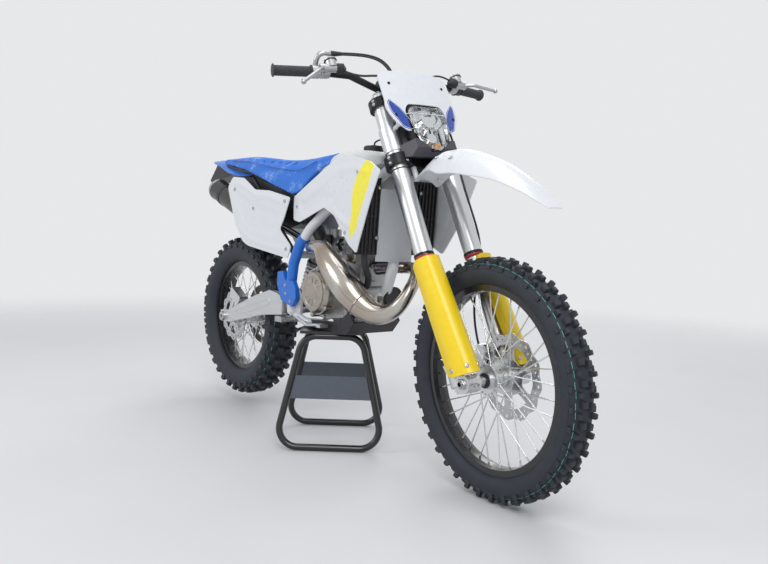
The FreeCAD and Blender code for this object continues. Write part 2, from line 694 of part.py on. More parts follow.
def build_controls():
    """Grips, perches with levers, and the throttle housing on the right."""
    grips = []
    perches = []
    for side in (1, -1):
        end = V(BAR_END_BACK, side * BAR_HALF, BAR_END_RISE)
        inner = V(BAR_END_BACK * 0.4, side * (BAR_HALF - GRIP_LENGTH), BAR_END_RISE - GRIP_LENGTH * 0.06)
        along = (inner - end).normalize()
        start = end - along * GRIP_FLANGE
        body = rod(start, end + along * GRIP_LENGTH * 0.92, GRIP_R)
        flange = rod(start, start + along * GRIP_FLANGE, GRIP_R + GRIP_FLANGE)
        collar = rod(end + along * GRIP_LENGTH * 0.92, end + along * (GRIP_LENGTH * 0.92 + GRIP_FLANGE),
                     GRIP_R + GRIP_FLANGE)
        grip = fuse(body, flange, collar)
        bore = rod(end, end + along * 2 * GRIP_LENGTH, BAR_R)
        grips.append(steered(grip.cut(bore)))
        perch_at = end + along * (GRIP_LENGTH + PERCH_LENGTH)
        perch = rod(perch_at - along * PERCH_LENGTH * 0.5, perch_at + along * PERCH_LENGTH * 0.5, PERCH_R)
        reach = V(LEVER_REACH, side * PERCH_R, -PERCH_R * 0.6)
        pivot = perch_at + reach
        arm = rod(perch_at, pivot, PERCH_R * 0.55)
        master = rod(pivot - along * PERCH_LENGTH * 0.4, pivot + along * PERCH_LENGTH * 1.5, PERCH_R * 0.7)
        tank = Part.makeCylinder(PERCH_R, PERCH_R * 1.3, pivot + along * PERCH_LENGTH * 0.8)
        drop = LEVER_DROP if side > 0 else BRAKE_LEVER_DROP
        tip = V(LEVER_TIP_N, side * BAR_HALF * LEVER_TIP_SHARE, BAR_END_RISE - drop)
        bend = pivot + (tip - pivot) * 0.3 + V(LEVER_REACH * 0.35, 0, 0)
        lever = tube([pivot, bend, tip], LEVER_R, 3 * LEVER_R)
        ball = Part.makeSphere(LEVER_R * 1.4, tip)
        body = fuse(perch, arm, master, tank, lever, ball)
        perches.append(steered(body).cut(PARTS["handlebar"]))
    keep("grips", *grips)
    keep("hand_levers", *perches)


ELBOW_ROUTE = [(-18, -282, 1076), (2, -282, 1094), (14, -276, 1104), (22, -262, 1106), (26, -236, 1103)]
THROTTLE_CABLE_ROUTE = [(26, -236, 1103), (31, -196, 1104), (38, -154, 1103), (48, -112, 1096), (58, -78, 1078),
                        (62, -56, 1046), (60, -48, 1004), (57, -48, 962), (55, -49, 922), (46, -50, 893), (38, -50, 863),
                        (37, -50, 822), (36, -50, 780), (36, -50, 738.3)]
CLUTCH_CABLE_ROUTE = [(33, 228, 1046), (42, 196, 1052), (50, 160, 1052), (58, 124, 1042), (62, 94, 1022),
                      (62, 72, 990), (58, 57, 954), (55, 52, 922), (46, 51, 893), (38, 50, 863), (37, 50, 822), (36, 50, 780),
                      (36, 50, 738.3)]
BRAKE_HOSE_ROUTE = [(33, -228, 1044), (42, -200, 1022), (52, -166, 1010), (62, -128, 1010), (68, -88, 1008),
                    (70, -48, 994), (70, -8, 970), (70, 34, 942), (68, 74, 912), (60, 108, 876), (48, 130, 836),
                    (36, 141, 790), (28, 144, 740), (24, 144, 688), (22, 144, 630), (22, 144, 570), (22, 144, 510),
                    (20, 143, 460), (10, 138, 414), (-6, 130, 376), (-22, 118, 334), (-34, 104, 290), (-42, 90, 244),
                    (-47, 80, 196), (-49, 74, 150), (-49, 72, 112)]


def route_points(route, shift=0.0):
    return [V(n, y + shift, a + shift) for n, y, a in route]


def build_cables():
    """Throttle housing with its elbow and two cables, the clutch cable and the front brake hose."""
    end = V(BAR_END_BACK, -BAR_HALF, BAR_END_RISE)
    inner = V(BAR_END_BACK * 0.4, GRIP_LENGTH - BAR_HALF, BAR_END_RISE - GRIP_LENGTH * 0.06)
    along = (inner - end).normalize()
    start = end + along * (GRIP_LENGTH * 0.92 + GRIP_FLANGE + SEAT_GAP)
    housing = rod(start, end + along * (GRIP_LENGTH + PERCH_LENGTH * 0.5 - SEAT_GAP), THROTTLE_R)
    elbow = tube(route_points(ELBOW_ROUTE), ELBOW_R, ELBOW_R * 3)
    throttle = steered(fuse(housing, elbow)).cut(PARTS["handlebar"]).cut(PARTS["hand_levers"]).cut(PARTS["grips"])
    throttle = max(throttle.Solids, key=lambda part: part.Volume)
    keep("hand_levers", *PARTS["hand_levers"].Solids, throttle)
    lines = [tube(route_points(BRAKE_HOSE_ROUTE), HOSE_SMALL_R, CABLE_BEND),
             tube(route_points(CLUTCH_CABLE_ROUTE), CABLE_R, CABLE_BEND)]
    for shift in (CABLE_R + SEAT_GAP, -CABLE_R - SEAT_GAP):
        lines.append(tube(route_points(THROTTLE_CABLE_ROUTE, shift), CABLE_R, CABLE_BEND))
    trimmed = []
    for line in lines:
        line = steered(line)
        for name in ("hand_levers", "front_caliper", "triple_clamps"):
            line = line.cut(PARTS[name])
        trimmed.append(max(line.Solids, key=lambda part: part.Volume))
    keep("control_lines", *trimmed)


def build_front_brake():
    """Caliper on the left leg, its slot open around the disc."""
    angle = math.radians(CALIPER_ANGLE)
    reach = FRONT_DISC_R - DISC_RING / 2
    at = V(AXLE_N + reach * math.cos(angle), FRONT_DISC_Y, reach * math.sin(angle))
    half = CALIPER_LENGTH / 2
    outward = V(math.cos(angle), 0, math.sin(angle))
    along = V(-math.sin(angle), 0, math.cos(angle))
    low = FRONT_DISC_Y - CALIPER_INSIDE
    high = FORK_SPACING / 2 - (FORK_INNER_R + RUN_GAP) * 0.4
    corners = []
    for out, way in ((-0.5, -0.8), (0.62, -1), (0.62, 1), (-0.5, 0.8)):
        point = at + outward * (DISC_RING * 1.5 * out) + along * (half * way)
        corners.append(V(point.x, low, point.z))
    body = prism(corners, ACROSS * (high - low), DISC_RING / 3)
    slot_r = FRONT_DISC_R + RUN_GAP
    slot = Part.makeCylinder(slot_r, DISC_WALL + 2 * RUN_GAP,
                             V(AXLE_N, FRONT_DISC_Y - DISC_WALL / 2 - RUN_GAP, 0), ACROSS)
    caliper = steered(body.cut(slot)).cut(PARTS["fork_inners"])
    keep("front_caliper", max(caliper.Solids, key=lambda part: part.Volume))


MASK_OUTLINE_SHARES = [(0.40, 1.01), (0.80, 1.0), (0.97, 0.93), (0.965, 0.51), (1.0, 0.40), (0.92, 0.23), (0.77, 0.095),
                       (0.62, 0.0), (0.47, 0.01)]
LAMP_OUTLINE_SHARES = [(0.80, 1.0), (0.99, 0.86), (0.95, 0.38), (0.80, 0.18), (0.25, 0.0)]


def mirrored_outline(shares, half, low, height, n):
    left = [V(n, half * y, low + height * a) for y, a in shares]
    right = [V(n, -half * y, low + height * a) for y, a in reversed(shares)]
    return left + right


def build_mask():
    """Curved number mask with the lamp set in its lower half."""
    rows = []
    for a_share in (0.0, 0.35, 0.7, 1.0):
        row = []
        for y_share in (-1.0, -0.6, -0.25, 0.25, 0.6, 1.0):
            bow = MASK_BOW * y_share * y_share
            n = MASK_N - bow - MASK_LEAN * a_share
            row.append(V(n, MASK_HALF * 1.05 * y_share, MASK_LOW + (MASK_TOP - MASK_LOW) * (1.1 * a_share - 0.05)))
        rows.append(row)
    sheet = skin(rows, V(MASK_WALL, 0, 0))
    height = MASK_TOP - MASK_LOW
    outline = mirrored_outline(MASK_OUTLINE_SHARES, MASK_HALF, MASK_LOW, height, 0)
    cutter = prism(outline, V(2 * MASK_N, 0, 0), MASK_CORNER_R)
    lamp_height = LAMP_TOP - LAMP_LOW
    window = mirrored_outline(LAMP_OUTLINE_SHARES, LAMP_HALF + RUN_GAP, LAMP_LOW - 2 * RUN_GAP,
                              lamp_height + 3 * RUN_GAP, 0)
    opening = prism(window, V(2 * MASK_N, 0, 0), MASK_CORNER_R / 2)
    mask = sheet.common(cutter).cut(opening)
    front_space = skin([[p + V(MASK_WALL / 2, 0, 0) for p in row] for row in rows], V(MASK_N, 0, 0))
    for side in (1, -1):
        band = V(FORK_OFFSET, side * FORK_SPACING / 2, MASK_BOSS_A)
        boss = rod(band, band + V(MASK_N, 0, 0), MASK_BOSS_R).cut(front_space)
        holder = Part.makeCylinder(FORK_OUTER_R + MASK_WALL, 4 * MASK_BOSS_R, band - UP * 2 * MASK_BOSS_R)
        mask = fuse(mask, boss.cut(holder))
    keep("headlight_mask", steered(mask))

    lens_back = MASK_N - LAMP_DEPTH
    sections = []
    for share, scale in ((0.0, 0.78), (0.45, 1.0), (1.0, 1.0), (1.28, 0.86)):
        n = lens_back + LAMP_DEPTH * share
        middle = (LAMP_TOP + LAMP_LOW) / 2
        pts = mirrored_outline(LAMP_OUTLINE_SHARES, LAMP_HALF * scale, middle - lamp_height / 2 * scale,
                               lamp_height * scale, n)
        sections.append(Part.makePolygon(pts + [pts[0]]))
    keep("headlight", steered(loft(sections)))
    bracket = []
    for side in (1, -1):
        ring_at = V(FORK_OFFSET, side * FORK_SPACING / 2, BRACKET_LOW)
        band = Part.makeCylinder(FORK_OUTER_R + MASK_WALL, BRACKET_HEIGHT, ring_at)
        arm_start = ring_at + V(FORK_OUTER_R * 0.8, -side * FORK_OUTER_R * 0.7, 0)
        arm_end = V(lens_back + LAMP_DEPTH * 0.5, side * LAMP_HALF * 0.5, BRACKET_LOW)
        back_y = V(0, -side * FORK_OUTER_R * 0.5, 0)
        corners = [arm_start, arm_end, V(lens_back - SEAT_GAP, side * LAMP_HALF * 0.5, BRACKET_LOW) + back_y,
                   arm_start + back_y]
        arm = prism(corners, UP * BRACKET_HEIGHT)
        hole = Part.makeCylinder(FORK_OUTER_R, 3 * BRACKET_HEIGHT, ring_at - UP * BRACKET_HEIGHT)
        bracket.append(fuse(band, arm).cut(hole))
    lens_box = PARTS["headlight"]
    solids = [steered(b).cut(lens_box) for b in bracket]
    keep("mask_brackets", *[max(s.Solids, key=lambda part: part.Volume) for s in solids])


SHELL_SIDE_SHARES = [(0.0, 1.0), (0.0, 0.25), (0.55, 0.0), (1.0, 0.35), (1.0, 0.90)]


def build_lamp_shell():
    """Dark fairing below the lamp, between the fork legs."""
    side = []
    for ahead, rise in SHELL_SIDE_SHARES:
        side.append(V(SHELL_BACK_N + SHELL_LENGTH * ahead, -SHELL_HALF, SHELL_LOW + SHELL_HEIGHT * rise))
    tip_half = SHELL_HALF * 0.78
    front = SHELL_BACK_N + SHELL_LENGTH
    plan = [V(SHELL_BACK_N, -SHELL_HALF, SHELL_LOW), V(front, -tip_half, SHELL_LOW), V(front, tip_half, SHELL_LOW),
            V(SHELL_BACK_N, SHELL_HALF, SHELL_LOW)]
    shell = steered(prism(side, ACROSS * 2 * SHELL_HALF).common(prism(plan, UP * SHELL_HEIGHT)))
    for name in ("headlight", "headlight_mask", "triple_clamps", "fork_outers", "front_fender"):
        shell = shell.cut(PARTS[name])
    shell = max(shell.Solids, key=lambda part: part.Volume)
    keep("mask_brackets", *fuse(shell, *PARTS["mask_brackets"].Solids).Solids)


FENDER_STATION_SHARES = [(0.0, 0.925, 0.76, 0.55), (0.04, 0.935, 0.78, 0.60), (0.12, 0.966, 0.80, 0.70),
                         (0.21, 0.995, 0.90, 0.80), (0.30, 1.0, 1.0, 0.85), (0.42, 0.994, 1.0, 0.80),
                         (0.56, 0.972, 0.98, 0.70), (0.70, 0.942, 0.90, 0.58), (0.85, 0.893, 0.74, 0.42),
                         (0.95, 0.851, 0.52, 0.26), (1.0, 0.830, 0.30, 0.18)]


def build_front_fender():
    """Arched blade under the lower clamp, drawn with the wheel straight ahead."""
    tip_x = FRONT_AXLE.x + FENDER_TIP_AHEAD
    length = FENDER_LENGTH
    crest = FENDER_CREST_Z
    rows = []
    for along, height, _, drop in FENDER_STATION_SHARES:
        x = tip_x - length + length * along
        row = []
        for y_share in (-1.1, -0.8, -0.4, 0.0, 0.4, 0.8, 1.1):
            fall = FENDER_DROP * drop * abs(y_share) ** 2.4
            row.append(V(x, FENDER_HALF * y_share, crest * height - fall - FENDER_WALL))
        rows.append(row)
    sheet = skin(rows, V(0, 0, FENDER_WALL))
    left = [V(tip_x - length + length * x, FENDER_HALF * y, 0) for x, _, y, _ in FENDER_STATION_SHARES]
    right = [V(p.x, -p.y, 0) for p in reversed(left)]
    cutter = prism(left + right, UP * 2 * crest, FENDER_HALF / 4)
    blade = sheet.common(cutter)
    below = skin([[p + V(0, 0, FENDER_WALL / 2) for p in row] for row in rows], V(0, 0, -crest / 2))
    for side in (1, -1):
        top = V(FENDER_POST_N, side * FENDER_POST_Y, LOWER_CLAMP_LOW)
        post = Part.makeCylinder(FENDER_POST_R, 2 * FENDER_DROP, top - UP * 2 * FENDER_DROP)
        post.Placement = STRAIGHT_PLACE.multiply(post.Placement)
        blade = fuse(blade, post.cut(below))
    keep("front_fender", steered_straight(blade))


# Frame
SPAR_ROUTE_SHARES = [(0.728, 0.20, 1.026), (0.664, 0.34, 0.957), (0.583, 0.74, 0.890), (0.498, 0.93, 0.832),
                     (0.438, 0.98, 0.770), (0.398, 1.0, 0.712), (0.371, 1.0, 0.640), (0.361, 1.0, 0.560),
                     (0.366, 1.0, 0.455)]
DOWN_ROUTE_SHARES = [(0.728, 1.040), (0.700, 0.960), (0.685, 0.800), (0.676, 0.650), (0.656, 0.576), (0.643, 0.535)]
CRADLE_ROUTE_SHARES = [(0.645, 0.10, 0.555), (0.622, 0.62, 0.480), (0.588, 1.0, 0.430), (0.458, 1.0, 0.430),
                       (0.430, 1.28, 0.430), (0.385, 1.28, 0.447)]
PIVOT_PLATE_SHARES = [(0.332, 0.535), (0.372, 0.560), (0.400, 0.520), (0.400, 0.450), (0.375, 0.430), (0.338, 0.450)]
RAIL_ROUTE_SHARES = [(0.415, 0.92, 0.800), (0.375, 0.92, 0.880), (0.260, 0.84, 0.940), (0.090, 0.70, 1.000),
                     (-0.060, 0.55, 1.036)]
STAY_ROUTE_SHARES = [(0.372, 1.03, 0.668), (0.250, 0.90, 0.800), (0.100, 0.72, 0.985)]


def build_frame():
    head = Part.makeCylinder(HEAD_TUBE_R, HEAD_HIGH - HEAD_LOW, V(0, 0, HEAD_LOW))
    head.Placement = STRAIGHT_PLACE
    bore = Part.makeCylinder(STEM_R + RUN_GAP / 2, 2 * HEAD_LOW, V(0, 0, HEAD_LOW / 2))
    bore.Placement = STRAIGHT_PLACE
    solids = [head]
    seats = []
    for low in (HEAD_LOW, HEAD_HIGH - RUN_GAP):
        seat = ring(V(0, 0, low + RUN_GAP / 2), UP, HEAD_TUBE_R - RUN_GAP, STEM_R + SEAT_GAP, RUN_GAP)
        seat.Placement = STRAIGHT_PLACE.multiply(seat.Placement)
        seats.append(seat)
    tab_x, tab_z = RADIATOR_TAB_SHARE
    solids.append(rod(spot(tab_x, -RADIATOR_IN_Y, tab_z), spot(tab_x, RADIATOR_IN_Y, tab_z), RADIATOR_TAB_R))
    for side in (1, -1):
        solids.append(tube([spot(x, side * SPAR_Y * y, z) for x, y, z in SPAR_ROUTE_SHARES], SPAR_R, 3 * SPAR_R))
        solids.append(tube([spot(x, side * CRADLE_Y * y, z) for x, y, z in CRADLE_ROUTE_SHARES],
                           CRADLE_R, 3 * CRADLE_R))
        near = side * ARM_IN_Y
        solids.append(side_prism(PIVOT_PLATE_SHARES, near, near + side * PIVOT_PLATE_WALL, PIVOT_PLATE_WALL))
    solids.append(tube([spot(x, 0, z) for x, z in DOWN_ROUTE_SHARES], DOWN_TUBE_R, 3 * DOWN_TUBE_R))
    solids.append(rod(spot(SHOCK_HIGH_SHARE[0], -SPAR_Y, SHOCK_HIGH_SHARE[1]),
                      spot(SHOCK_HIGH_SHARE[0], SPAR_Y, SHOCK_HIGH_SHARE[1]), CRADLE_R))
    solids.append(rod(side_spot(CRADLE_BRACE_SHARE, -CRADLE_Y), side_spot(CRADLE_BRACE_SHARE, CRADLE_Y), CRADLE_R * 0.6))
    keep("main_frame", fuse(fuse(*solids).cut(bore), *seats))

    rails = []
    for side in (1, -1):
        rail = tube([spot(x, side * SUBFRAME_Y * y, z) for x, y, z in RAIL_ROUTE_SHARES], RAIL_R, 3 * RAIL_R)
        stay = tube([spot(x, side * SUBFRAME_Y * y, z) for x, y, z in STAY_ROUTE_SHARES], RAIL_R, 3 * RAIL_R)
        rails += [rail, stay]
    cross = rod(side_spot(SEAT_BRACE_SHARE, -SUBFRAME_Y * 0.7), side_spot(SEAT_BRACE_SHARE, SUBFRAME_Y * 0.7), RAIL_R)
    tail = rod(side_spot(TAIL_BRACE_SHARE, -SUBFRAME_Y * 0.56), side_spot(TAIL_BRACE_SHARE, SUBFRAME_Y * 0.56), RAIL_R)
    keep("subframe", fuse(*rails, cross, tail).cut(PARTS["main_frame"]))


GUARD_OUTLINE_SHARES = [(0.390, 0.575), (0.402, 0.548), (0.404, 0.512), (0.386, 0.479), (0.334, 0.498), (0.313, 0.556),
                        (0.315, 0.604), (0.340, 0.609), (0.352, 0.575)]


def build_frame_guards():
    """Shells wrapped around the outside of each spar, with a lug plate above the pivot."""
    guards = []
    for side in (1, -1):
        route = [spot(x, side * SPAR_Y * y, z) for x, y, z in SPAR_ROUTE_SHARES[GUARD_ROUTE_FROM:]]
        route[0] = route[0] + (route[1] - route[0]) * GUARD_START_SHARE
        route[-1] = route[-1] + (route[-2] - route[-1]) * GUARD_START_SHARE
        wrap = tube(route, SPAR_R + GUARD_PLATE_WALL, 3 * SPAR_R)
        high = DECK_HEIGHT
        keep_box = Part.makeBox(WHEELBASE, SPAR_Y, high, V(REAR_AXLE_X, 0, 0))
        keep_box.translate(V(0, SPAR_Y - SPAR_R * 0.4 if side > 0 else -2 * SPAR_Y + SPAR_R * 0.4, 0))
        outer = side * (SPAR_Y + SPAR_R + GUARD_PLATE_WALL)
        inner = side * (SPAR_Y + SPAR_R * 0.3)
        lug = side_prism(GUARD_OUTLINE_SHARES, outer, inner, GUARD_PLATE_WALL)
        guards.append(fuse(wrap.common(keep_box), lug).cut(PARTS["main_frame"]).cut(PARTS["subframe"]))
    keep("frame_guards", *[max(g.Solids, key=lambda part: part.Volume) for g in guards])


# Engine
CASE_SHARES = [(0.405, 0.500), (0.412, 0.560), (0.462, 0.600), (0.560, 0.606), (0.604, 0.570), (0.614, 0.520),
               (0.600, 0.472), (0.565, 0.449), (0.450, 0.449), (0.410, 0.468)]
COVER_SHARES = [(0.447, 0.480), (0.447, 0.560), (0.474, 0.622), (0.545, 0.630), (0.590, 0.590), (0.603, 0.520),
                (0.585, 0.470), (0.500, 0.452)]
LEFT_COVER_SHARES = [(0.412, 0.470), (0.408, 0.520), (0.430, 0.560), (0.500, 0.590), (0.585, 0.560), (0.600, 0.500),
                     (0.560, 0.456), (0.470, 0.452)]
CLUTCH_SHARE = (0.507, 0.550)
FLYWHEEL_SHARE = (0.545, 0.515)
CYLINDER_SHARE = (0.562, 0.600)


def build_engine():
    body = side_prism(CASE_SHARES, -CASE_HALF, CASE_HALF, CASE_HALF / 4)
    right = side_prism(COVER_SHARES, -CASE_HALF, -CASE_COVER_Y, CASE_HALF / 4)
    left = side_prism(LEFT_COVER_SHARES, CASE_HALF, CASE_HALF + RUN_GAP, CASE_HALF / 4)
    wheel_at = spot(FLYWHEEL_SHARE[0], CASE_HALF, FLYWHEEL_SHARE[1])
    flywheel = rod(wheel_at, wheel_at + ACROSS * (FLYWHEEL_Y - CASE_HALF), FLYWHEEL_R)
    keep("engine_cases", fuse(body, right, left, flywheel))
    cover_at = spot(CLUTCH_SHARE[0], -CASE_COVER_Y, CLUTCH_SHARE[1])
    cover = rod(cover_at, cover_at - ACROSS * (CLUTCH_Y - CASE_COVER_Y), CLUTCH_R)
    cap_at = cover_at - ACROSS * (CLUTCH_Y - CASE_COVER_Y)
    cap = cone(cap_at, cap_at - ACROSS * CLUTCH_CAP_WALL, CLUTCH_R - RUN_GAP, CLUTCH_CAP_R)
    keep("clutch_cover", fuse(cover, cap))

    foot = spot(CYLINDER_SHARE[0], 0, CYLINDER_SHARE[1])
    lean = Rotation(ACROSS, CYLINDER_LEAN)
    place = Placement(foot, lean)
    low = -CASE_HALF / 4
    half = CYLINDER_HALF
    barrel = Part.makeBox(2 * half, 2 * half * 0.96, CYLINDER_HEIGHT - low, V(-half, -half * 0.96, low))
    head = Part.makeCylinder(HEAD_R, HEAD_HEIGHT, V(0, 0, CYLINDER_HEIGHT))
    dome = Part.makeCone(HEAD_R * 0.7, HEAD_R * 0.4, HEAD_HEIGHT * 0.4, V(0, 0, CYLINDER_HEIGHT + HEAD_HEIGHT))
    plug = Part.makeCylinder(HEAD_R * 0.16, HEAD_HEIGHT, V(0, 0, CYLINDER_HEIGHT + HEAD_HEIGHT))
    side_box = Part.makeBox(half * 0.9, half * 0.42, half * 0.9,
                            V(half * 0.05, -half * 1.36, CYLINDER_HEIGHT * 0.45))
    port = Part.makeCylinder(PIPE_R[0] + RUN_GAP, half * 0.3, V(half, 0, CYLINDER_HEIGHT * 0.25), V(1, 0, 0))
    fins = [ring(V(0, 0, CYLINDER_HEIGHT * share), UP, HEAD_R * 1.12, HEAD_R * 0.8, FIN_WALL)
            for share in (0.95, 0.86)]
    cylinder = fuse(barrel, head, dome, plug, side_box, port, *fins)
    cylinder.Placement = place
    keep("cylinder", cylinder.cut(PARTS["engine_cases"]))

    carb_at = spot(CARB_SHARE[0], 0, CARB_SHARE[1])
    body = rod(carb_at, carb_at + V(-CARB_LENGTH, 0, 0), CARB_R)
    middle = carb_at + V(-CARB_LENGTH / 2, 0, 0)
    bowl = Part.makeCylinder(BOWL_R, CARB_R * 1.9, middle - UP * CARB_R * 1.9)
    top = Part.makeCylinder(BOWL_R * 0.9, CARB_R * 1.9, middle)
    keep("carburettor", fuse(body, bowl, top))
    front = rod(carb_at, carb_at + V(CARB_LENGTH, 0, 0), CARB_R * 0.8).cut(PARTS["cylinder"])
    front = max(front.Solids, key=lambda part: part.Volume)
    boot_start = carb_at + V(-CARB_LENGTH, 0, 0)
    boot = tube([boot_start, boot_start + V(-CARB_R, 0, 0), side_spot(BOOT_BEND_SHARE, 0), side_spot(BOOT_END_SHARE, 0)],
                CARB_R * 0.9, 3 * CARB_R)
    keep("intake_boots", front, boot)
    box = side_prism(AIRBOX_SHARES, -SEAT_HALF * 0.18, SEAT_HALF * 0.80, SEAT_HALF / 6)
    keep("airbox", box.cut(PARTS["intake_boots"]).cut(PARTS["subframe"]))


PIPE_ROUTE_SHARES = [(0.61, 0.0556, 0.64), (0.638, 0.25, 0.645), (0.676, 0.4167, 0.648),
                     (0.713, 0.3472, 0.643), (0.739, 0.1528, 0.626), (0.7525, -0.0972, 0.59),
                     (0.748, -0.2917, 0.545), (0.734, -0.4306, 0.514), (0.712, -0.5833, 0.499),
                     (0.684, -0.7361, 0.508), (0.654, -0.875, 0.54), (0.63, -0.9583, 0.577),
                     (0.597, -1, 0.622), (0.558, -0.9931, 0.664), (0.521, -0.9097, 0.697),
                     (0.482, -0.8333, 0.706), (0.445, -0.7361, 0.702), (0.415, -0.5556, 0.7),
                     (0.391, -0.3958, 0.706), (0.341, -0.3889, 0.735), (0.274, -0.4167, 0.765),
                     (0.206, -0.4583, 0.785), (0.15, -0.4861, 0.796)]


def build_exhaust():
    stations = []
    for (x, y, z), radius in zip(PIPE_ROUTE_SHARES, PIPE_R):
        stations.append((spot(x, y * PIPE_REACH, z), radius))
    chamber = pipe(stations).cut(PARTS["cylinder"])
    keep("exhaust_pipe", max(chamber.Solids, key=lambda part: part.Volume))
    pipe_end = stations[-1][0]
    end = spot(SILENCER_END_SHARE[0], SILENCER_Y, SILENCER_END_SHARE[1])
    along = (end - pipe_end).normalize()
    start = pipe_end + along * PIPE_R[-1] * SILENCER_GAP_SHARE
    taper = SILENCER_R
    nose = cone(start, start + along * taper, PIPE_R[-1], SILENCER_R)
    body = rod(start + along * taper, end, SILENCER_R)
    lip = ring(end + along * RUN_GAP / 2, along, SILENCER_R * 0.96, SILENCER_R * 0.30, RUN_GAP)
    outlet = rod(end - along * SILENCER_R, end + along * SILENCER_R, SILENCER_R * 0.30)
    keep("silencer", fuse(nose, body, lip).cut(outlet))


HOSE_ROUTE_SHARES = [(0.666, -1.0, 0.697), (0.666, -0.98, 0.655), (0.660, -0.75, 0.615), (0.640, -0.58, 0.585),
                     (0.606, -0.50, 0.568)]


def build_front_fittings():
    """Round horn on the foot of the down tube and the hose from the right radiator to the pump."""
    at = spot(*HORN_SHARE)
    face = at + V(HORN_DEPTH, 0, 0)
    body = rod(at, face, HORN_R)
    rim_ring = ring(face, V(1, 0, 0), HORN_R, HORN_R - RUN_GAP, RUN_GAP)
    back = rod(at - V(HORN_DEPTH, 0, 0), at, HORN_R / 2)
    horn = fuse(body, rim_ring, back).cut(PARTS["main_frame"])
    keep("horn", max(horn.Solids, key=lambda part: part.Volume))
    route = [spot(x, y * HOSE_REACH, z) for x, y, z in HOSE_ROUTE_SHARES]
    hose = tube(route, HOSE_R, HOSE_BEND)
    for name in ("radiators", "engine_cases", "clutch_cover"):
        hose = hose.cut(PARTS[name])
    keep("coolant_hose", max(hose.Solids, key=lambda part: part.Volume))


# Swingarm, drive and shock
ARM_SHARES = [(0.327, 0.505), (0.300, 0.520), (0.262, 0.527), (0.180, 0.494), (0.097, 0.452), (0.036, 0.416),
              (-0.016, 0.410), (-0.024, 0.385), (-0.016, 0.362), (0.038, 0.365), (0.222, 0.424), (0.327, 0.440)]


def build_swingarm():
    pivot = spot(PIVOT_SHARE[0], 0, PIVOT_SHARE[1])
    boss = rod(pivot - ACROSS * PIVOT_HALF, pivot + ACROSS * PIVOT_HALF, PIVOT_R)
    solids = [boss]
    outer = ARM_IN_Y + ARM_WALL
    for side in (1, -1):
        solids.append(side_prism(ARM_SHARES, side * ARM_IN_Y, side * outer, RUN_GAP))
    bridge = side_prism([(0.350, 0.470), (0.350, 0.505), (0.296, 0.505), (0.296, 0.470)], -ARM_IN_Y, ARM_IN_Y)
    wing = side_prism([(0.327, 0.470), (0.327, 0.505), (0.296, 0.505), (0.296, 0.470)], -outer, outer)
    body = fuse(*solids, bridge, wing)
    hole = rod(REAR_AXLE - ACROSS * 2 * outer, REAR_AXLE + ACROSS * 2 * outer, AXLE_R)
    bolt_hole = rod(pivot - ACROSS * 2 * outer, pivot + ACROSS * 2 * outer, PIVOT_BOLT_R)
    keep("swingarm", body.cut(hole).cut(bolt_hole).cut(PARTS["main_frame"]))
    reach = ARM_IN_Y + PIVOT_PLATE_WALL
    bolt = rod(pivot - ACROSS * reach, pivot + ACROSS * reach, PIVOT_BOLT_R)
    keep("pivot_bolt", bolt)
    PARTS["main_frame"] = PARTS["main_frame"].cut(bolt)

    half_axle = outer + 2 * RUN_GAP
    axle = rod(REAR_AXLE - ACROSS * half_axle, REAR_AXLE + ACROSS * half_axle, AXLE_R)
    nuts = []
    for side in (1, -1):
        start = REAR_AXLE + ACROSS * side * outer
        nuts.append(rod(start, start + ACROSS * side * 2 * RUN_GAP, AXLE_R + 2 * RUN_GAP))
    left_from = CHAIN_Y + SPROCKET_WALL / 2 + SEAT_GAP
    spacers = [ring(REAR_AXLE + ACROSS * (left_from + ARM_IN_Y) / 2, ACROSS, AXLE_R + RUN_GAP, AXLE_R - SEAT_GAP,
                    ARM_IN_Y - left_from)]
    right_from = -REAR_DISC_Y + DISC_WALL / 2 + SEAT_GAP
    spacers.append(ring(REAR_AXLE - ACROSS * (right_from + ARM_IN_Y) / 2, ACROSS, AXLE_R + RUN_GAP,
                        AXLE_R - SEAT_GAP, ARM_IN_Y - right_from))
    bore = rod(REAR_AXLE - ACROSS * 2 * half_axle, REAR_AXLE + ACROSS * 2 * half_axle, AXLE_BORE_R)
    keep("rear_axle", fuse(axle, *nuts, *spacers).cut(bore))


def build_chain():
    """Chain loop around both sprockets, drawn as one closed band."""
    front = spot(FRONT_SPROCKET_SHARE[0], CHAIN_Y, FRONT_SPROCKET_SHARE[1])
    rear = REAR_AXLE + ACROSS * CHAIN_Y
    span = front - rear
    tilt = math.atan2(span.z, span.x)
    spread = math.acos((REAR_SPROCKET_R - FRONT_SPROCKET_R) / span.Length)

    def loop(offset):
        points = []
        for centre, pitch_r, start, sweep in ((front, FRONT_SPROCKET_R, -1, 1), (rear, REAR_SPROCKET_R, 1, 1)):
            radius = pitch_r + offset
            begin = tilt + start * spread
            length = 2 * spread if centre is front else 2 * math.pi - 2 * spread
            steps = 6 if centre is front else 16
            for i in range(steps + 1):
                angle = begin + sweep * length * i / steps
                points.append(centre + V(radius * math.cos(angle), -CHAIN_HALF, radius * math.sin(angle)))
        return points

    band = prism(loop(CHAIN_LINK_HALF), ACROSS * 2 * CHAIN_HALF)
    keep("chain", band.cut(prism(loop(-CHAIN_LINK_HALF), ACROSS * 2 * CHAIN_HALF)))
    tooth_r = FRONT_SPROCKET_R - CHAIN_LINK_HALF - TOOTH_GAP
    shaft_start = spot(FRONT_SPROCKET_SHARE[0], CASE_HALF * 0.7, FRONT_SPROCKET_SHARE[1])
    shaft = rod(shaft_start, front + ACROSS * CHAIN_HALF, tooth_r * 0.5)
    plate = rod(front - ACROSS * SPROCKET_WALL / 2, front + ACROSS * SPROCKET_WALL / 2, tooth_r)
    keep("front_sprocket", fuse(shaft, plate).cut(PARTS["engine_cases"]))


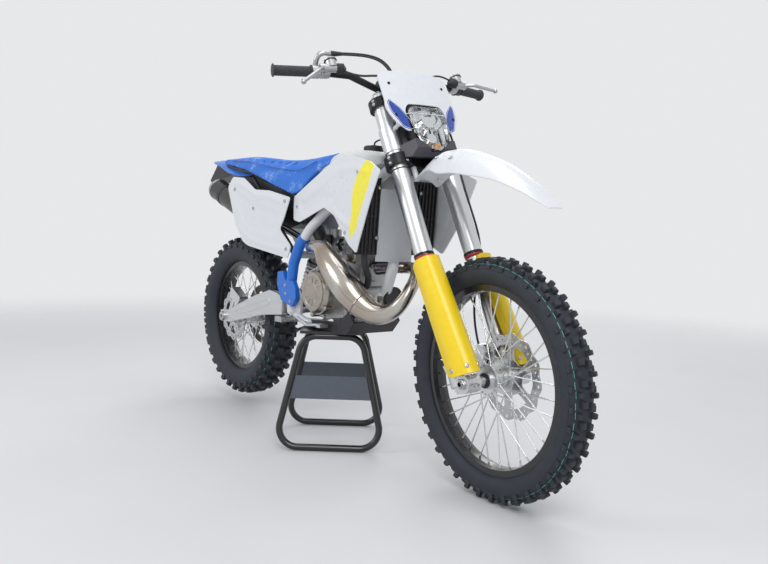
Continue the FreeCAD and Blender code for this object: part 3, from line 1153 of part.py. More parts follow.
def build_shock():
    low = spot(SHOCK_LOW_SHARE[0], 0, SHOCK_LOW_SHARE[1])
    high = spot(SHOCK_HIGH_SHARE[0], 0, SHOCK_HIGH_SHARE[1])
    along = high - low
    body = rod(low, high, SHOCK_R)
    coils = [body]
    count = SPRING_TURNS
    for i in range(count):
        at = low + along * (0.14 + 0.62 * i / (count - 1))
        coils.append(Part.makeTorus(SPRING_R - SPRING_WIRE_R, SPRING_WIRE_R, at, along))
    seats = [rod(low + along * 0.08, low + along * 0.12, SPRING_R), rod(low + along * 0.78, low + along * 0.82, SPRING_R)]
    web = rod(low + along * 0.10, low + along * 0.80, SPRING_R - 1.5 * SPRING_WIRE_R)
    shock = fuse(web, *coils, *seats).cut(PARTS["main_frame"]).cut(PARTS["swingarm"])
    keep("rear_shock", max(shock.Solids, key=lambda part: part.Volume))


def build_rear_brake():
    angle = math.radians(REAR_CALIPER_ANGLE)
    reach = REAR_DISC_R - DISC_RING / 2
    at = REAR_AXLE + V(reach * math.cos(angle), 0, reach * math.sin(angle))
    outward = V(math.cos(angle), 0, math.sin(angle))
    along = V(-math.sin(angle), 0, math.cos(angle))
    half = CALIPER_LENGTH / 2
    low = REAR_DISC_Y - CALIPER_INSIDE + RUN_GAP
    corners = []
    for out, way in ((-0.5, -0.8), (0.62, -1), (0.62, 1), (-0.5, 0.8)):
        point = at + outward * (DISC_RING * 1.5 * out) + along * (half * way)
        corners.append(V(point.x, -ARM_IN_Y + SEAT_GAP, point.z))
    body = prism(corners, ACROSS * (ARM_IN_Y - 2 * RUN_GAP + low + 2 * CALIPER_INSIDE), DISC_RING / 3)
    foot = REAR_AXLE + V(0, -ARM_IN_Y + SEAT_GAP, 0)
    hanger = prism([foot + V(-AXLE_R, 0, AXLE_R + 2 * RUN_GAP), foot + V(2 * AXLE_R, 0, AXLE_R + 2 * RUN_GAP),
                    V(at.x + AXLE_R, foot.y, at.z), V(at.x - AXLE_R, foot.y, at.z)], ACROSS * RUN_GAP)
    slot = Part.makeCylinder(REAR_DISC_R + RUN_GAP, DISC_WALL + 2 * RUN_GAP,
                             REAR_AXLE + ACROSS * (REAR_DISC_Y - DISC_WALL / 2 - RUN_GAP), ACROSS)
    keep("rear_caliper", fuse(body, hanger).cut(slot))


# Body panels
SEAT_STATION_SHARES = [(-0.082, 0.56, 0.62, 1.046, 1.072), (0.000, 0.66, 0.76, 1.030, 1.066),
                       (0.099, 0.76, 0.90, 1.003, 1.059), (0.200, 0.80, 1.00, 0.962, 1.040),
                       (0.300, 0.80, 1.00, 0.918, 1.027), (0.368, 0.74, 0.96, 0.900, 1.027),
                       (0.425, 0.60, 0.74, 0.970, 1.036), (0.483, 0.42, 0.50, 1.018, 1.047)]
TANK_STATION_SHARES = [(0.372, 0.50, 0.888, 0.990), (0.425, 0.62, 0.880, 1.012), (0.483, 0.80, 0.885, 1.012),
                       (0.500, 0.90, 0.890, 1.040), (0.560, 1.0, 0.922, 1.046), (0.632, 0.92, 0.968, 1.036),
                       (0.668, 0.54, 0.990, 1.018)]
REAR_FENDER_SHARES = [(-0.172, 0.56, 1.078, 1.066), (-0.100, 0.68, 1.070, 1.040), (-0.030, 0.80, 1.050, 1.008),
                      (0.050, 0.90, 1.023, 0.988), (0.110, 0.92, 0.998, 0.985)]
SHROUD_OUTLINE_SHARES = [(0.368, 0.887), (0.612, 1.021), (0.747, 0.980), (0.794, 0.948), (0.738, 0.782), (0.703, 0.695),
                         (0.668, 0.723), (0.602, 0.815), (0.546, 0.843), (0.407, 0.793), (0.371, 0.801)]
PANEL_OUTLINE_SHARES = [(0.046, 0.980), (0.018, 0.938), (0.073, 0.782), (0.120, 0.711), (0.151, 0.695),
                        (0.363, 0.657), (0.379, 0.703), (0.322, 0.765), (0.342, 0.804), (0.369, 0.884),
                        (0.261, 0.914), (0.182, 0.921), (0.112, 0.972)]
TAIL_BRACKET_SHARES = [(-0.150, 1.052), (-0.200, 0.982), (-0.193, 0.976), (-0.050, 1.000), (-0.036, 1.030)]


def station_wire(x_share, top_y, low_y, low_z, high_z):
    side = [(top_y * 0.55, high_z), (top_y, high_z - (high_z - low_z) * 0.22), (low_y, low_z)]
    points = [spot(x_share, y, z) for y, z in side]
    points += [spot(x_share, -y, z) for y, z in reversed(side)]
    return Part.makePolygon(points + [points[0]])


def side_sheet(outline, rear_y, front_y, wall, crown, corner, boss):
    """A bowed panel on the right side, cut to its outline, on a boss from (x, y, z) inside it."""
    xs = [x for x, _ in outline]
    zs = [z for _, z in outline]
    x_low, x_high = min(xs), max(xs)
    z_low, z_high = min(zs), max(zs)
    rows = []
    for i in range(5):
        u = i / 4
        row = []
        for j in range(5):
            v = j / 4
            spread = rear_y + (front_y - rear_y) * u
            bow = crown * (2 * v - 1) ** 2
            row.append(spot(x_low + (x_high - x_low) * (1.04 * u - 0.02), -(spread - bow - crown * v),
                            z_low + (z_high - z_low) * (1.04 * v - 0.02)))
        rows.append(row)
    sheet = skin(rows, V(0, wall, 0))
    cutter = side_prism(outline, -2 * front_y, 0, corner)
    outside = skin([[p + V(0, wall / 2, 0) for p in row] for row in rows], V(0, -2 * front_y, 0))
    foot = spot(*boss)
    post = rod(foot, V(foot.x, -2 * front_y, foot.z), PANEL_BOSS_R).cut(outside).cut(PARTS["subframe"])
    post = max(post.Solids, key=lambda part: part.Volume)
    return fuse(sheet.common(cutter), post)


def build_body():
    seat = [station_wire(x, SEAT_HALF * t, SEAT_HALF * b, low, high) for x, t, b, low, high in SEAT_STATION_SHARES]
    tank = [station_wire(x, TANK_HALF * y * 0.94, TANK_HALF * y, low, high)
            for x, y, low, high in TANK_STATION_SHARES]
    seat_solid = loft(seat)
    tank_solid = loft(tank).cut(seat_solid).cut(PARTS["main_frame"])
    tank_solid = max(tank_solid.Solids, key=lambda part: part.Volume)
    neck = side_spot(TANK_NECK_SHARE, 0)
    cap = rod(neck, neck + UP * TANK_CAP_R * 0.7, TANK_CAP_R)
    keep("fuel_tank", tank_solid.cut(cap))
    keep("tank_cap", cap)

    rows = []
    for x, half, crest, edge in REAR_FENDER_SHARES:
        row = []
        for y_share in (-1.0, -0.7, 0.0, 0.7, 1.0):
            z = edge + (crest - edge) * (1 - abs(y_share) ** 1.6)
            row.append(spot(x, SEAT_HALF * half * y_share, z))
        rows.append(row)
    fender = skin(rows, V(0, 0, -PANEL_WALL))
    keep("rear_fender", fender.cut(PARTS["subframe"]))
    seat_solid = seat_solid.cut(fender).cut(PARTS["subframe"])
    keep("seat", max(seat_solid.Solids, key=lambda part: part.Volume))

    shroud = side_sheet(SHROUD_OUTLINE_SHARES, SHROUD_REAR_Y, SHROUD_FRONT_Y, SHROUD_WALL, SHROUD_CROWN, SHROUD_WALL * 2,
                        (RADIATOR_BOSS_SHARE[0], -RADIATOR_IN_Y - RADIATOR_WIDTH, RADIATOR_BOSS_SHARE[1]))
    keep("shrouds", shroud, mirrored(shroud))
    panel = side_sheet(PANEL_OUTLINE_SHARES, PANEL_REAR_Y, PANEL_FRONT_Y, PANEL_WALL, PANEL_CROWN, PANEL_WALL * 3,
                       (PANEL_BOSS_SHARE[0], -SUBFRAME_Y * STAY_ROUTE_SHARES[1][1], PANEL_BOSS_SHARE[1]))
    keep("side_panels", panel, mirrored(panel))
    bracket = side_prism(TAIL_BRACKET_SHARES, -SUBFRAME_Y * 0.5, SUBFRAME_Y * 0.5, PANEL_WALL)
    keep("tail_bracket", bracket.cut(PARTS["rear_fender"]).cut(PARTS["subframe"]))


RADIATOR_BACK_SHARES = [(0.653, 0.690), (0.663, 0.940)]


def build_radiators():
    cores = []
    louvres = []
    for side in (1, -1):
        near = side * RADIATOR_IN_Y
        far = side * (RADIATOR_IN_Y + RADIATOR_WIDTH)
        core = RADIATOR_BACK_SHARES + [(x + RADIATOR_DEPTH / WHEELBASE, z) for x, z in reversed(RADIATOR_BACK_SHARES)]
        cores.append(side_prism(core, near, far))
        face = list(reversed(core[2:]))
        slats = []
        for i in range(LOUVRE_COUNT):
            y = near + side * (RADIATOR_WIDTH - LOUVRE_WALL) * i / (LOUVRE_COUNT - 1)
            depth = LOUVRE_DEPTH / WHEELBASE
            slats.append(side_prism([face[0], face[1], (face[1][0] + depth, face[1][1]),
                                     (face[0][0] + depth, face[0][1])], y, y + side * LOUVRE_WALL))
        low, high = (spot(x, near, z) for x, z in face)
        for share in (0.0, 0.485, 0.97):
            foot = low + (high - low) * share
            rise = (high - low) * 0.03
            depth = V(LOUVRE_DEPTH * 0.6, 0, 0)
            slats.append(prism([foot, foot + rise, foot + rise + depth, foot + depth], ACROSS * (far - near)))
        louvres.append(fuse(*slats).cut(cores[-1]))
    keep("radiators", *cores)
    keep("radiator_louvres", *louvres)


SKID_SHARES = [(0.6245, 0.4560), (0.598, SKID_LOW_SHARE), (0.430, SKID_LOW_SHARE), (0.430, 0.4163),
               (0.5965, 0.4163), (0.6225, 0.4585)]
SKID_NOSE_SHARES = [(0.646, 0.500), (0.637, 0.474), (0.6245, 0.4530), (0.6220, 0.4550), (0.634, 0.4765), (0.643, 0.502)]


def build_lower():
    plate = side_prism(SKID_SHARES, -SKID_HALF, SKID_HALF)
    nose = side_prism(SKID_NOSE_SHARES, -SKID_NOSE_HALF, SKID_NOSE_HALF)
    walls = []
    for side in (1, -1):
        walls.append(side_prism([(0.6235, 0.4575), (0.598, 0.4143), (0.440, 0.4143), (0.440, 0.440), (0.560, 0.450),
                                 (0.608, 0.490)], side * SKID_HALF, side * (SKID_HALF - SKID_WALL)))
    keep("skid_plate", fuse(plate, nose, *walls).cut(PARTS["main_frame"]))
    pegs = []
    for side in (1, -1):
        root = side * (ARM_IN_Y + PIVOT_PLATE_WALL)
        tip = root + side * PEG_LENGTH
        at = side_spot(PEG_SHARE, root)
        frame_bar = Part.makeBox(2 * PEG_HALF, abs(tip - root), PEG_HALF * 0.8,
                                 V(at.x - PEG_HALF, min(root, tip), at.z))
        hollow = Part.makeBox(2 * PEG_HALF * 0.7, abs(tip - root) * 0.8, PEG_HALF,
                              V(at.x - PEG_HALF * 0.7, min(root, tip) + abs(tip - root) * 0.1, at.z))
        pegs.append(frame_bar.cut(hollow).cut(PARTS["main_frame"]))
    keep("footpegs", *pegs)
    pedal_y = -(SKID_HALF + PEG_HALF * 0.6)
    pad_at = side_spot(PEDAL_PAD_SHARE, pedal_y - PEG_HALF * 0.4)
    pedal = tube([side_spot(PEDAL_PIVOT_SHARE, pedal_y), side_spot(PEDAL_BEND_SHARE, pedal_y), pad_at],
                 RAIL_R * 0.7, RAIL_R * 3)
    pad = Part.makeBox(PEG_HALF, 1.4 * PEG_HALF, RAIL_R, pad_at - V(0, PEG_HALF, RAIL_R / 2))
    boss = rod(side_spot(PEDAL_PIVOT_SHARE, pedal_y),
               side_spot(PEDAL_PIVOT_SHARE, -ARM_IN_Y - PIVOT_PLATE_WALL), RAIL_R)
    brake_pedal = fuse(pedal, pad, boss).cut(PARTS["main_frame"]).cut(PARTS["footpegs"])
    brake_pedal = max(brake_pedal.Solids, key=lambda part: part.Volume)
    shift_y = SKID_HALF + PEG_HALF * 0.5
    hub_at = side_spot(SHIFT_PIVOT_SHARE, CASE_HALF + RUN_GAP)
    lever = tube([side_spot(SHIFT_PIVOT_SHARE, shift_y - RAIL_R), side_spot(SHIFT_BEND_SHARE, shift_y),
                  side_spot(SHIFT_TIP_SHARE, shift_y + RAIL_R)],
                 RAIL_R * 0.6, RAIL_R * 3)
    tip = rod(side_spot(SHIFT_TIP_SHARE, shift_y), side_spot(SHIFT_TIP_SHARE, shift_y + PEG_HALF * 1.4), RAIL_R * 0.9)
    shaft = rod(hub_at, side_spot(SHIFT_PIVOT_SHARE, shift_y), RAIL_R * 0.9)
    keep("foot_levers", brake_pedal, fuse(lever, tip, shaft))


def build_side_stand():
    """Leg folded back along the swingarm, drawn folded."""
    pivot = spot(SIDE_PIVOT_SHARE[0], SIDE_PIVOT_Y, SIDE_PIVOT_SHARE[1])
    folded = V(*SIDE_FOLDED_WAY).normalize()
    start = pivot + folded * SIDE_LEG_R
    tip = pivot + folded * SIDE_LEG_LENGTH
    leg = rod(start, tip, SIDE_LEG_R)
    foot = rod(tip - folded * SIDE_LEG_R, tip + folded * RUN_GAP, SIDE_FOOT_R)
    eye_axis = folded.cross(V(*SIDE_DOWN_WAY)).normalize()
    eye = rod(pivot - eye_axis * SIDE_LEG_R, pivot + eye_axis * SIDE_LEG_R, SIDE_LEG_R * 1.5)
    pin_r = SIDE_LEG_R * 0.5
    hole = rod(pivot - eye_axis * 4 * SIDE_LEG_R, pivot + eye_axis * 4 * SIDE_LEG_R, pin_r + 0.1 * SEAT_GAP)
    keep("side_stand", fuse(leg, foot, eye).cut(hole))
    pin_end = pivot + eye_axis * (SIDE_LEG_R + SEAT_GAP) * (1 if eye_axis.y > 0 else -1)
    inward = -eye_axis if eye_axis.y > 0 else eye_axis
    plate_at = pivot + inward * (SIDE_LEG_R + SEAT_GAP)
    carrier = rod(plate_at, plate_at + inward * SIDE_LEG_R * 1.2, SIDE_LEG_R * 1.5)
    pin = rod(pin_end, plate_at + inward * SIDE_LEG_R, pin_r)
    sweep_half = eye_axis * (SIDE_LEG_R + SEAT_GAP)
    sweep = rod(pivot - sweep_half, pivot + sweep_half, SIDE_LEG_R * 3)
    strut = rod(plate_at + inward * SIDE_LEG_R * 0.6, side_spot(SIDE_STRUT_SHARE, ARM_IN_Y + PIVOT_PLATE_WALL * 0.5),
                SIDE_LEG_R * 1.1)
    carrier_body = fuse(carrier, pin, strut.cut(sweep)).cut(PARTS["main_frame"]).cut(PARTS["footpegs"])
    keep("side_stand_carrier", max(carrier_body.Solids, key=lambda part: part.Volume))
    print("side stand pivot", pivot, "axis", eye_axis, "turn", math.degrees(folded.getAngle(V(*SIDE_DOWN_WAY))))


# Paddock stand
def stand_spot(away, along, height):
    turn = math.radians(STAND_TURN)
    x = STAND_X + away * math.cos(turn) - along * math.sin(turn)
    y = STAND_Y + away * math.sin(turn) + along * math.cos(turn)
    return V(x, y, height)


def build_stand():
    """Two trapezoid loops of tube, a deck across their tops and blank plates between their legs."""
    top = STAND_HEIGHT - STAND_DECK_WALL - STAND_TUBE_R * 0.7
    low = STAND_TUBE_R
    solids = []
    for side in (1, -1):
        for way in (1, -1):
            half_loop = [stand_spot(side * STAND_TOP_SPREAD, 0, top),
                         stand_spot(side * STAND_TOP_SPREAD, way * STAND_TOP_HALF, top),
                         stand_spot(side * STAND_LOW_SPREAD, way * STAND_LOW_HALF, low),
                         stand_spot(side * STAND_LOW_SPREAD, 0, low)]
            solids.append(tube(half_loop, STAND_TUBE_R, STAND_CORNER_R))
    deck_half = STAND_TOP_HALF + STAND_TUBE_R
    deck_spread = STAND_TOP_SPREAD + STAND_TUBE_R
    corners = [stand_spot(a * deck_spread, b * deck_half, STAND_HEIGHT - STAND_DECK_WALL)
               for a, b in ((-1, -1), (1, -1), (1, 1), (-1, 1))]
    deck = prism(corners, UP * STAND_DECK_WALL, STAND_TUBE_R)
    struts = []
    for b in (-1, 1):
        struts.append(rod(stand_spot(-STAND_TOP_SPREAD, b * STAND_TOP_HALF * 0.6, top),
                          stand_spot(STAND_TOP_SPREAD, b * STAND_TOP_HALF * 0.6, top), STAND_TUBE_R * 0.6))
    keep("stand_frame", fuse(*solids, deck, *struts))
    plates = []
    for side in (1, -1):
        corners = []
        for height, b in ((STAND_PLATE_LOW, -1), (STAND_PLATE_LOW, 1), (STAND_PLATE_HIGH, 1), (STAND_PLATE_HIGH, -1)):
            share = (height - low) / (top - low)
            away = side * (STAND_LOW_SPREAD + (STAND_TOP_SPREAD - STAND_LOW_SPREAD) * share + STAND_PLATE_WALL / 2)
            along = b * (STAND_LOW_HALF + (STAND_TOP_HALF - STAND_LOW_HALF) * share)
            corners.append(stand_spot(away, along, height))
        normal = (corners[1] - corners[0]).cross(corners[3] - corners[0]).normalize()
        plates.append(prism(corners, normal * STAND_PLATE_WALL).cut(PARTS["stand_frame"]))
    keep("stand_plates", *[max(p.Solids, key=lambda part: part.Volume) for p in plates])


def main():
    build_wheels()
    build_forks()
    build_fork_guards()
    build_bars()
    build_controls()
    build_front_brake()
    build_mask()
    build_front_fender()
    build_lamp_shell()
    build_cables()
    build_frame()
    build_frame_guards()
    build_engine()
    build_exhaust()
    build_swingarm()
    build_chain()
    build_shock()
    build_rear_brake()
    build_radiators()
    build_body()
    build_front_fittings()
    build_lower()
    build_side_stand()
    build_stand()
    os.makedirs("parts", exist_ok=True)
    for name, shape in PARTS.items():
        shape.exportStep("parts/" + name + ".step")
        box = shape.BoundBox
        print(name, len(shape.Solids), shape.isValid(), round(shape.Volume / 1000.0, 1),
              [round(v, 1) for v in (box.XMin, box.YMin, box.ZMin, box.XMax, box.YMax, box.ZMax)])


main()
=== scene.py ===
import json
import math

import bmesh
import bpy
from mathutils import Matrix, Vector
from mathutils.geometry import delaunay_2d_cdt


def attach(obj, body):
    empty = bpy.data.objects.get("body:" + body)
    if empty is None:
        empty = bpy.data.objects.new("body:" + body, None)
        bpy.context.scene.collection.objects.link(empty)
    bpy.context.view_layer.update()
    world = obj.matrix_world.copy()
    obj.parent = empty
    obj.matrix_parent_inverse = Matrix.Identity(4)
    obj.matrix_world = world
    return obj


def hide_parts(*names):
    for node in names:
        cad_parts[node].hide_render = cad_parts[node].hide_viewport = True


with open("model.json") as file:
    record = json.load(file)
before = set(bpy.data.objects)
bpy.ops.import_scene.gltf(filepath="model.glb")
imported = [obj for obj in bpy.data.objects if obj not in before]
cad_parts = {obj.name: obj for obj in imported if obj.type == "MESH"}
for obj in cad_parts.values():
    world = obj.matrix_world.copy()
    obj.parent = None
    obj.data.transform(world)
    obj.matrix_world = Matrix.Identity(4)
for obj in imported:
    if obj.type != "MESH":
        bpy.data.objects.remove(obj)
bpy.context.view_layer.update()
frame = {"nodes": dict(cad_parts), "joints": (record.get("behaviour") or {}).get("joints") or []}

nodes = frame["nodes"]

# Places taken from the frame, lengths in metres unless a name says mm
MM = 0.001
joints = {j["name"]: j for j in frame["joints"]}
STEER_FOOT = Vector(joints["steering"]["pos_m"])
STEER_UP = Vector(joints["steering"]["axis"]).normalized()
FRONT_AXLE = Vector(joints["front_wheel_spin"]["pos_m"])
FRONT_ACROSS = Vector(joints["front_wheel_spin"]["axis"]).normalized()
STEER_AHEAD = FRONT_ACROSS.cross(STEER_UP).normalized()
REAR_AXLE = Vector(joints["rear_wheel_spin"]["pos_m"])
WHEELBASE = 1.4867
TURN = 2 * math.pi


def vec(*parts):
    return Vector(parts)


AHEAD = vec(1, 0, 0)
ACROSS = vec(0, 1, 0)
UP = vec(0, 0, 1)


def axes_matrix(x_axis, y_axis, z_axis, origin):
    turned = Matrix((x_axis, y_axis, z_axis)).transposed().to_4x4()
    return Matrix.Translation(origin) @ turned


def in_mm(place):
    """The same place for points drawn in millimetres."""
    return place @ Matrix.Scale(MM, 4)


RAKE_UP = vec(STEER_UP.x, 0, STEER_UP.z).normalized()
STEER = in_mm(axes_matrix(STEER_AHEAD, FRONT_ACROSS, STEER_UP, STEER_FOOT))
STRAIGHT = in_mm(axes_matrix(ACROSS.cross(RAKE_UP), ACROSS, RAKE_UP, STEER_FOOT))
STEERED = STEER @ STRAIGHT.inverted()
FRONT_WHEEL = in_mm(axes_matrix(STEER_AHEAD, FRONT_ACROSS, STEER_UP, FRONT_AXLE))
REAR_WHEEL = in_mm(Matrix.Translation(REAR_AXLE))
WORLD = in_mm(Matrix.Identity(4))


def spot(x_share, y, z_share):
    """A point of the bike in mm: share of the wheelbase ahead of the rear axle, across, share of a metre up."""
    return vec(REAR_AXLE.x + x_share * WHEELBASE, y * MM, z_share) / MM


# Making shapes: each is a list of points and a list of faces
def smooth_line(points, steps=6, closed=False):
    """A curve through the points."""
    points = [Vector(p) for p in points]
    count = len(points)
    last = count if closed else count - 1
    line = []
    for i in range(last):
        p1, p2 = points[i], points[(i + 1) % count]
        p0 = points[i - 1] if closed or i else p1 * 2 - p2
        p3 = points[(i + 2) % count] if closed or i + 2 < count else p2 * 2 - p1
        for k in range(steps):
            t = k / steps
            near = p1 * 2 + (p2 - p0) * t + (p0 * 2 - p1 * 5 + p2 * 4 - p3) * t * t
            line.append((near + (p1 * 3 - p0 - p2 * 3 + p3) * t ** 3) * 0.5)
    if not closed:
        line.append(points[-1])
    return line


def smooth_rows(rows, steps_along, steps_across):
    """A finer grid through a coarse one."""
    fine = [smooth_line(row, steps_across) for row in rows]
    columns = [smooth_line(column, steps_along) for column in zip(*fine)]
    return [list(row) for row in zip(*columns)]


def grid(rows, closed=False, caps=False):
    """Faces between rows of points; closed rows are rings and caps fill the two ends."""
    width = len(rows[0])
    points = [p for row in rows for p in row]
    faces = []
    for i in range(len(rows) - 1):
        for j in range(width if closed else width - 1):
            k = (j + 1) % width
            faces.append((i * width + j, i * width + k, (i + 1) * width + k, (i + 1) * width + j))
    if caps:
        faces.append(tuple(reversed(range(width))))
        faces.append(tuple(range((len(rows) - 1) * width, len(rows) * width)))
    return points, faces


def closed_grid(rows):
    """Rings of points joined to a closed body."""
    return grid(rows, closed=True, caps=True)


def sides_of(way):
    """Two directions square to a way and to each other."""
    first = way.orthogonal().normalized()
    return first, way.cross(first)


def circle(centre, first, second, radius, sides):
    return [centre + first * radius * math.cos(TURN * k / sides) + second * radius * math.sin(TURN * k / sides)
            for k in range(sides)]


def lathe(profile, centre=(0, 0, 0), axis=ACROSS, sides=48, ring=False):
    """Turn (radius, along) points about an axis; a ring profile closes on itself."""
    centre, axis = Vector(centre), Vector(axis).normalized()
    first, second = sides_of(axis)
    rows = [circle(centre + axis * along, first, second, max(radius, 1e-4), sides) for radius, along in profile]
    if ring:
        rows.append(rows[0])
    return grid(rows, closed=True, caps=not ring)


def sweep(path, radius, sides=14, closed=False):
    """A round bar along a path; radius is one value or one for each point."""
    path = [Vector(p) for p in path]
    count = len(path)
    radii = radius if isinstance(radius, list) else [radius] * count
    first = (path[1] - path[0]).orthogonal().normalized()
    rows = []
    for i, point in enumerate(path):
        ahead = path[(i + 1) % count] if closed else path[min(i + 1, count - 1)]
        way = (ahead - path[i - 1 if closed else max(i - 1, 0)]).normalized()
        first = (first - way * first.dot(way)).normalized()
        rows.append(circle(point, first, way.cross(first), radii[i], sides))
    if closed:
        rows.append(rows[0])
    return grid(rows, closed=True, caps=not closed)


def rounded_loop(corners, radius, steps=5):
    """Corners of a flat outline rounded by arcs."""
    loop = []
    corners = [Vector(c) for c in corners]
    for i, corner in enumerate(corners):
        back, ahead = corners[i - 1] - corner, corners[(i + 1) % len(corners)] - corner
        reach = min(radius, 0.45 * back.length, 0.45 * ahead.length)
        start, end = corner + back.normalized() * reach, corner + ahead.normalized() * reach
        for k in range(steps + 1):
            t = k / steps
            loop.append(start * (1 - t) ** 2 + corner * 2 * t * (1 - t) + end * t * t)
    return loop


def round_hole(x, y, radius, sides=16):
    return [vec(x + radius * math.cos(TURN * k / sides), y + radius * math.sin(TURN * k / sides))
            for k in range(sides)]


def upright(loop, y):
    """A flat loop of the side view, set at one place across."""
    return [vec(p.x, y, p.y) for p in loop]


def on_circle(radius, angle, y=0):
    """A place on a circle of the side view."""
    return vec(radius * math.cos(angle), y, radius * math.sin(angle))


SIXTHS = [math.pi / 3 * i for i in range(6)]
BETWEEN_SIXTHS = [math.pi / 3 * (i + 0.5) for i in range(6)]


def is_inside(point, loop):
    inside = False
    for a, b in zip(loop, loop[1:] + loop[:1]):
        if (a.y > point.y) != (b.y > point.y):
            if point.x < a.x + (point.y - a.y) * (b.x - a.x) / (b.y - a.y):
                inside = not inside
    return inside


def filled(outline, holes=(), spacing=12.0, marks=()):
    """Even triangles inside a flat outline with holes; edges also follow the marked loops."""
    points = []
    edges = []
    for loop in [outline, *holes, *marks]:
        first = len(points)
        dense = []
        for a, b in zip(loop, loop[1:] + loop[:1]):
            runs = max(1, int((b - a).length / spacing))
            dense += [a.lerp(b, k / runs) for k in range(runs)]
        points += dense
        edges += [(first + k, first + (k + 1) % len(dense)) for k in range(len(dense))]
    rim = list(points)
    xs, ys = [p.x for p in outline], [p.y for p in outline]
    x = min(xs) + spacing / 2
    while x < max(xs):
        y = min(ys) + spacing / 2
        while y < max(ys):
            inner = vec(x, y)
            if is_inside(inner, outline) and not any(is_inside(inner, h) for h in holes):
                if min((inner - p).length for p in rim) > spacing * 0.45:
                    points.append(inner)
            y += spacing
        x += spacing
    found, _, faces, _, _, _ = delaunay_2d_cdt(points, edges, [], 1, 1e-5)
    kept = []
    for face in faces:
        middle = sum((found[i] for i in face), vec(0, 0)) / len(face)
        if is_inside(middle, outline) and not any(is_inside(middle, h) for h in holes):
            kept.append(tuple(face))
    return found, kept


def slab(flat, front, back):
    """A sheet of real thickness between two surfaces over one flat fill."""
    points, faces = flat
    count = len(points)
    solid = [front(p.x, p.y) for p in points] + [back(p.x, p.y) for p in points]
    edges = {(a, b) for face in faces for a, b in zip(face, face[1:] + face[:1])}
    walls = [(a, b, b + count, a + count) for a, b in sorted(edges) if (b, a) not in edges]
    return solid, faces + [tuple(i + count for i in reversed(face)) for face in faces] + walls


def block(corner_low, corner_high, taper=1.0, up_axis=2):
    """A box, its top drawn in by the taper."""
    low, high = Vector(corner_low), Vector(corner_high)
    middle = (low + high) / 2
    points = []
    for top in (0, 1):
        for a, b in ((0, 0), (1, 0), (1, 1), (0, 1)):
            first, second = [k for k in range(3) if k != up_axis]
            p = Vector(low)
            p[up_axis] = high[up_axis] if top else low[up_axis]
            p[first] = high[first] if a else low[first]
            p[second] = high[second] if b else low[second]
            if top:
                for k in (first, second):
                    p[k] = middle[k] + (p[k] - middle[k]) * taper
            points.append(p)
    return points, [(3, 2, 1, 0), (4, 5, 6, 7), (0, 1, 5, 4), (1, 2, 6, 5), (2, 3, 7, 6), (3, 0, 4, 7)]


# Building meshes and pieces
def mesh_of(shape, dress, place=WORLD, wall=0.0, sharp=35.0, slots=()):
    """A clean mesh from points in mm; a wall thickens an open sheet; slots give each face's finish."""
    points, faces = shape
    mesh = bpy.data.meshes.new("shape")
    mesh.from_pydata([tuple(place @ Vector(p)) for p in points], [], faces)
    for material in dress if isinstance(dress, list) else [dress]:
        mesh.materials.append(material)
    if slots:
        mesh.polygons.foreach_set("material_index", slots)
    bm = bmesh.new()
    bm.from_mesh(mesh)
    bmesh.ops.remove_doubles(bm, verts=bm.verts, dist=MM * 0.02)
    bmesh.ops.recalc_face_normals(bm, faces=bm.faces)
    if wall:
        bmesh.ops.solidify(bm, geom=bm.faces[:], thickness=wall * MM)
    bmesh.ops.recalc_face_normals(bm, faces=bm.faces)
    bm.to_mesh(mesh)
    bm.free()
    mesh.shade_smooth()
    mesh.set_sharp_from_angle(angle=math.radians(sharp))
    return mesh


def marked_sheet(outline, marks, front, back, dress, place=WORLD, holes=(), spacing=10.0):
    """A sheet of real thickness over a flat outline, other finishes laid inside marked (loop, finish) pairs."""
    flat = filled(outline, holes, spacing, [loop for loop, _ in marks])
    slots = []
    for face in flat[1]:
        middle = sum((flat[0][i] for i in face), vec(0, 0)) / len(face)
        inside = [k + 1 for k, (loop, _) in enumerate(marks) if is_inside(middle, loop)]
        slots.append(inside[-1] if inside else 0)
    shape = slab(flat, front, back)
    slots += [0] * (len(shape[1]) - len(slots))
    return mesh_of(shape, [dress] + [material for _, material in marks], place, slots=slots)


def placed(name, data):
    """A new object of the scene."""
    obj = bpy.data.objects.new(name, data)
    bpy.context.scene.collection.objects.link(obj)
    return obj


def applied(obj):
    """A new mesh with the object's modifiers applied."""
    return bpy.data.meshes.new_from_object(obj.evaluated_get(bpy.context.evaluated_depsgraph_get()))


def piece(name, meshes, body, stands_for=(), lip=0.0):
    """One finished piece from its meshes, with its edges broken, on its body."""
    whole = bmesh.new()
    target = bpy.data.meshes.new(name)
    for mesh in meshes:
        used = [list(target.materials).index(m) if m in list(target.materials) else -1 for m in mesh.materials]
        for i, m in enumerate(mesh.materials):
            if used[i] < 0:
                target.materials.append(m)
                used[i] = len(target.materials) - 1
        before = len(whole.faces)
        whole.from_mesh(mesh)
        whole.faces.ensure_lookup_table()
        for face in whole.faces[before:]:
            face.material_index = used[face.material_index]
    whole.to_mesh(target)
    whole.free()
    obj = placed(name, target)
    if lip:
        edge = obj.modifiers.new("edge", "BEVEL")
        edge.width = lip * MM
        edge.segments = 2
        edge.limit_method = "ANGLE"
        edge.angle_limit = math.radians(40)
    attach(obj, body)
    if stands_for:
        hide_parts(*stands_for)


def new_tree(name, given):
    """A node tree on a shape, with more inputs by name and kind, and its two end nodes."""
    tree = bpy.data.node_groups.new(name, "GeometryNodeTree")
    for socket, kind in (("Shape", "Geometry"), *given, ("Finish", "Material")):
        tree.interface.new_socket(socket, in_out="INPUT", socket_type="NodeSocket" + kind)
    tree.interface.new_socket("Shape", in_out="OUTPUT", socket_type="NodeSocketGeometry")
    return tree, tree.nodes.new("NodeGroupInput"), tree.nodes.new("NodeGroupOutput")


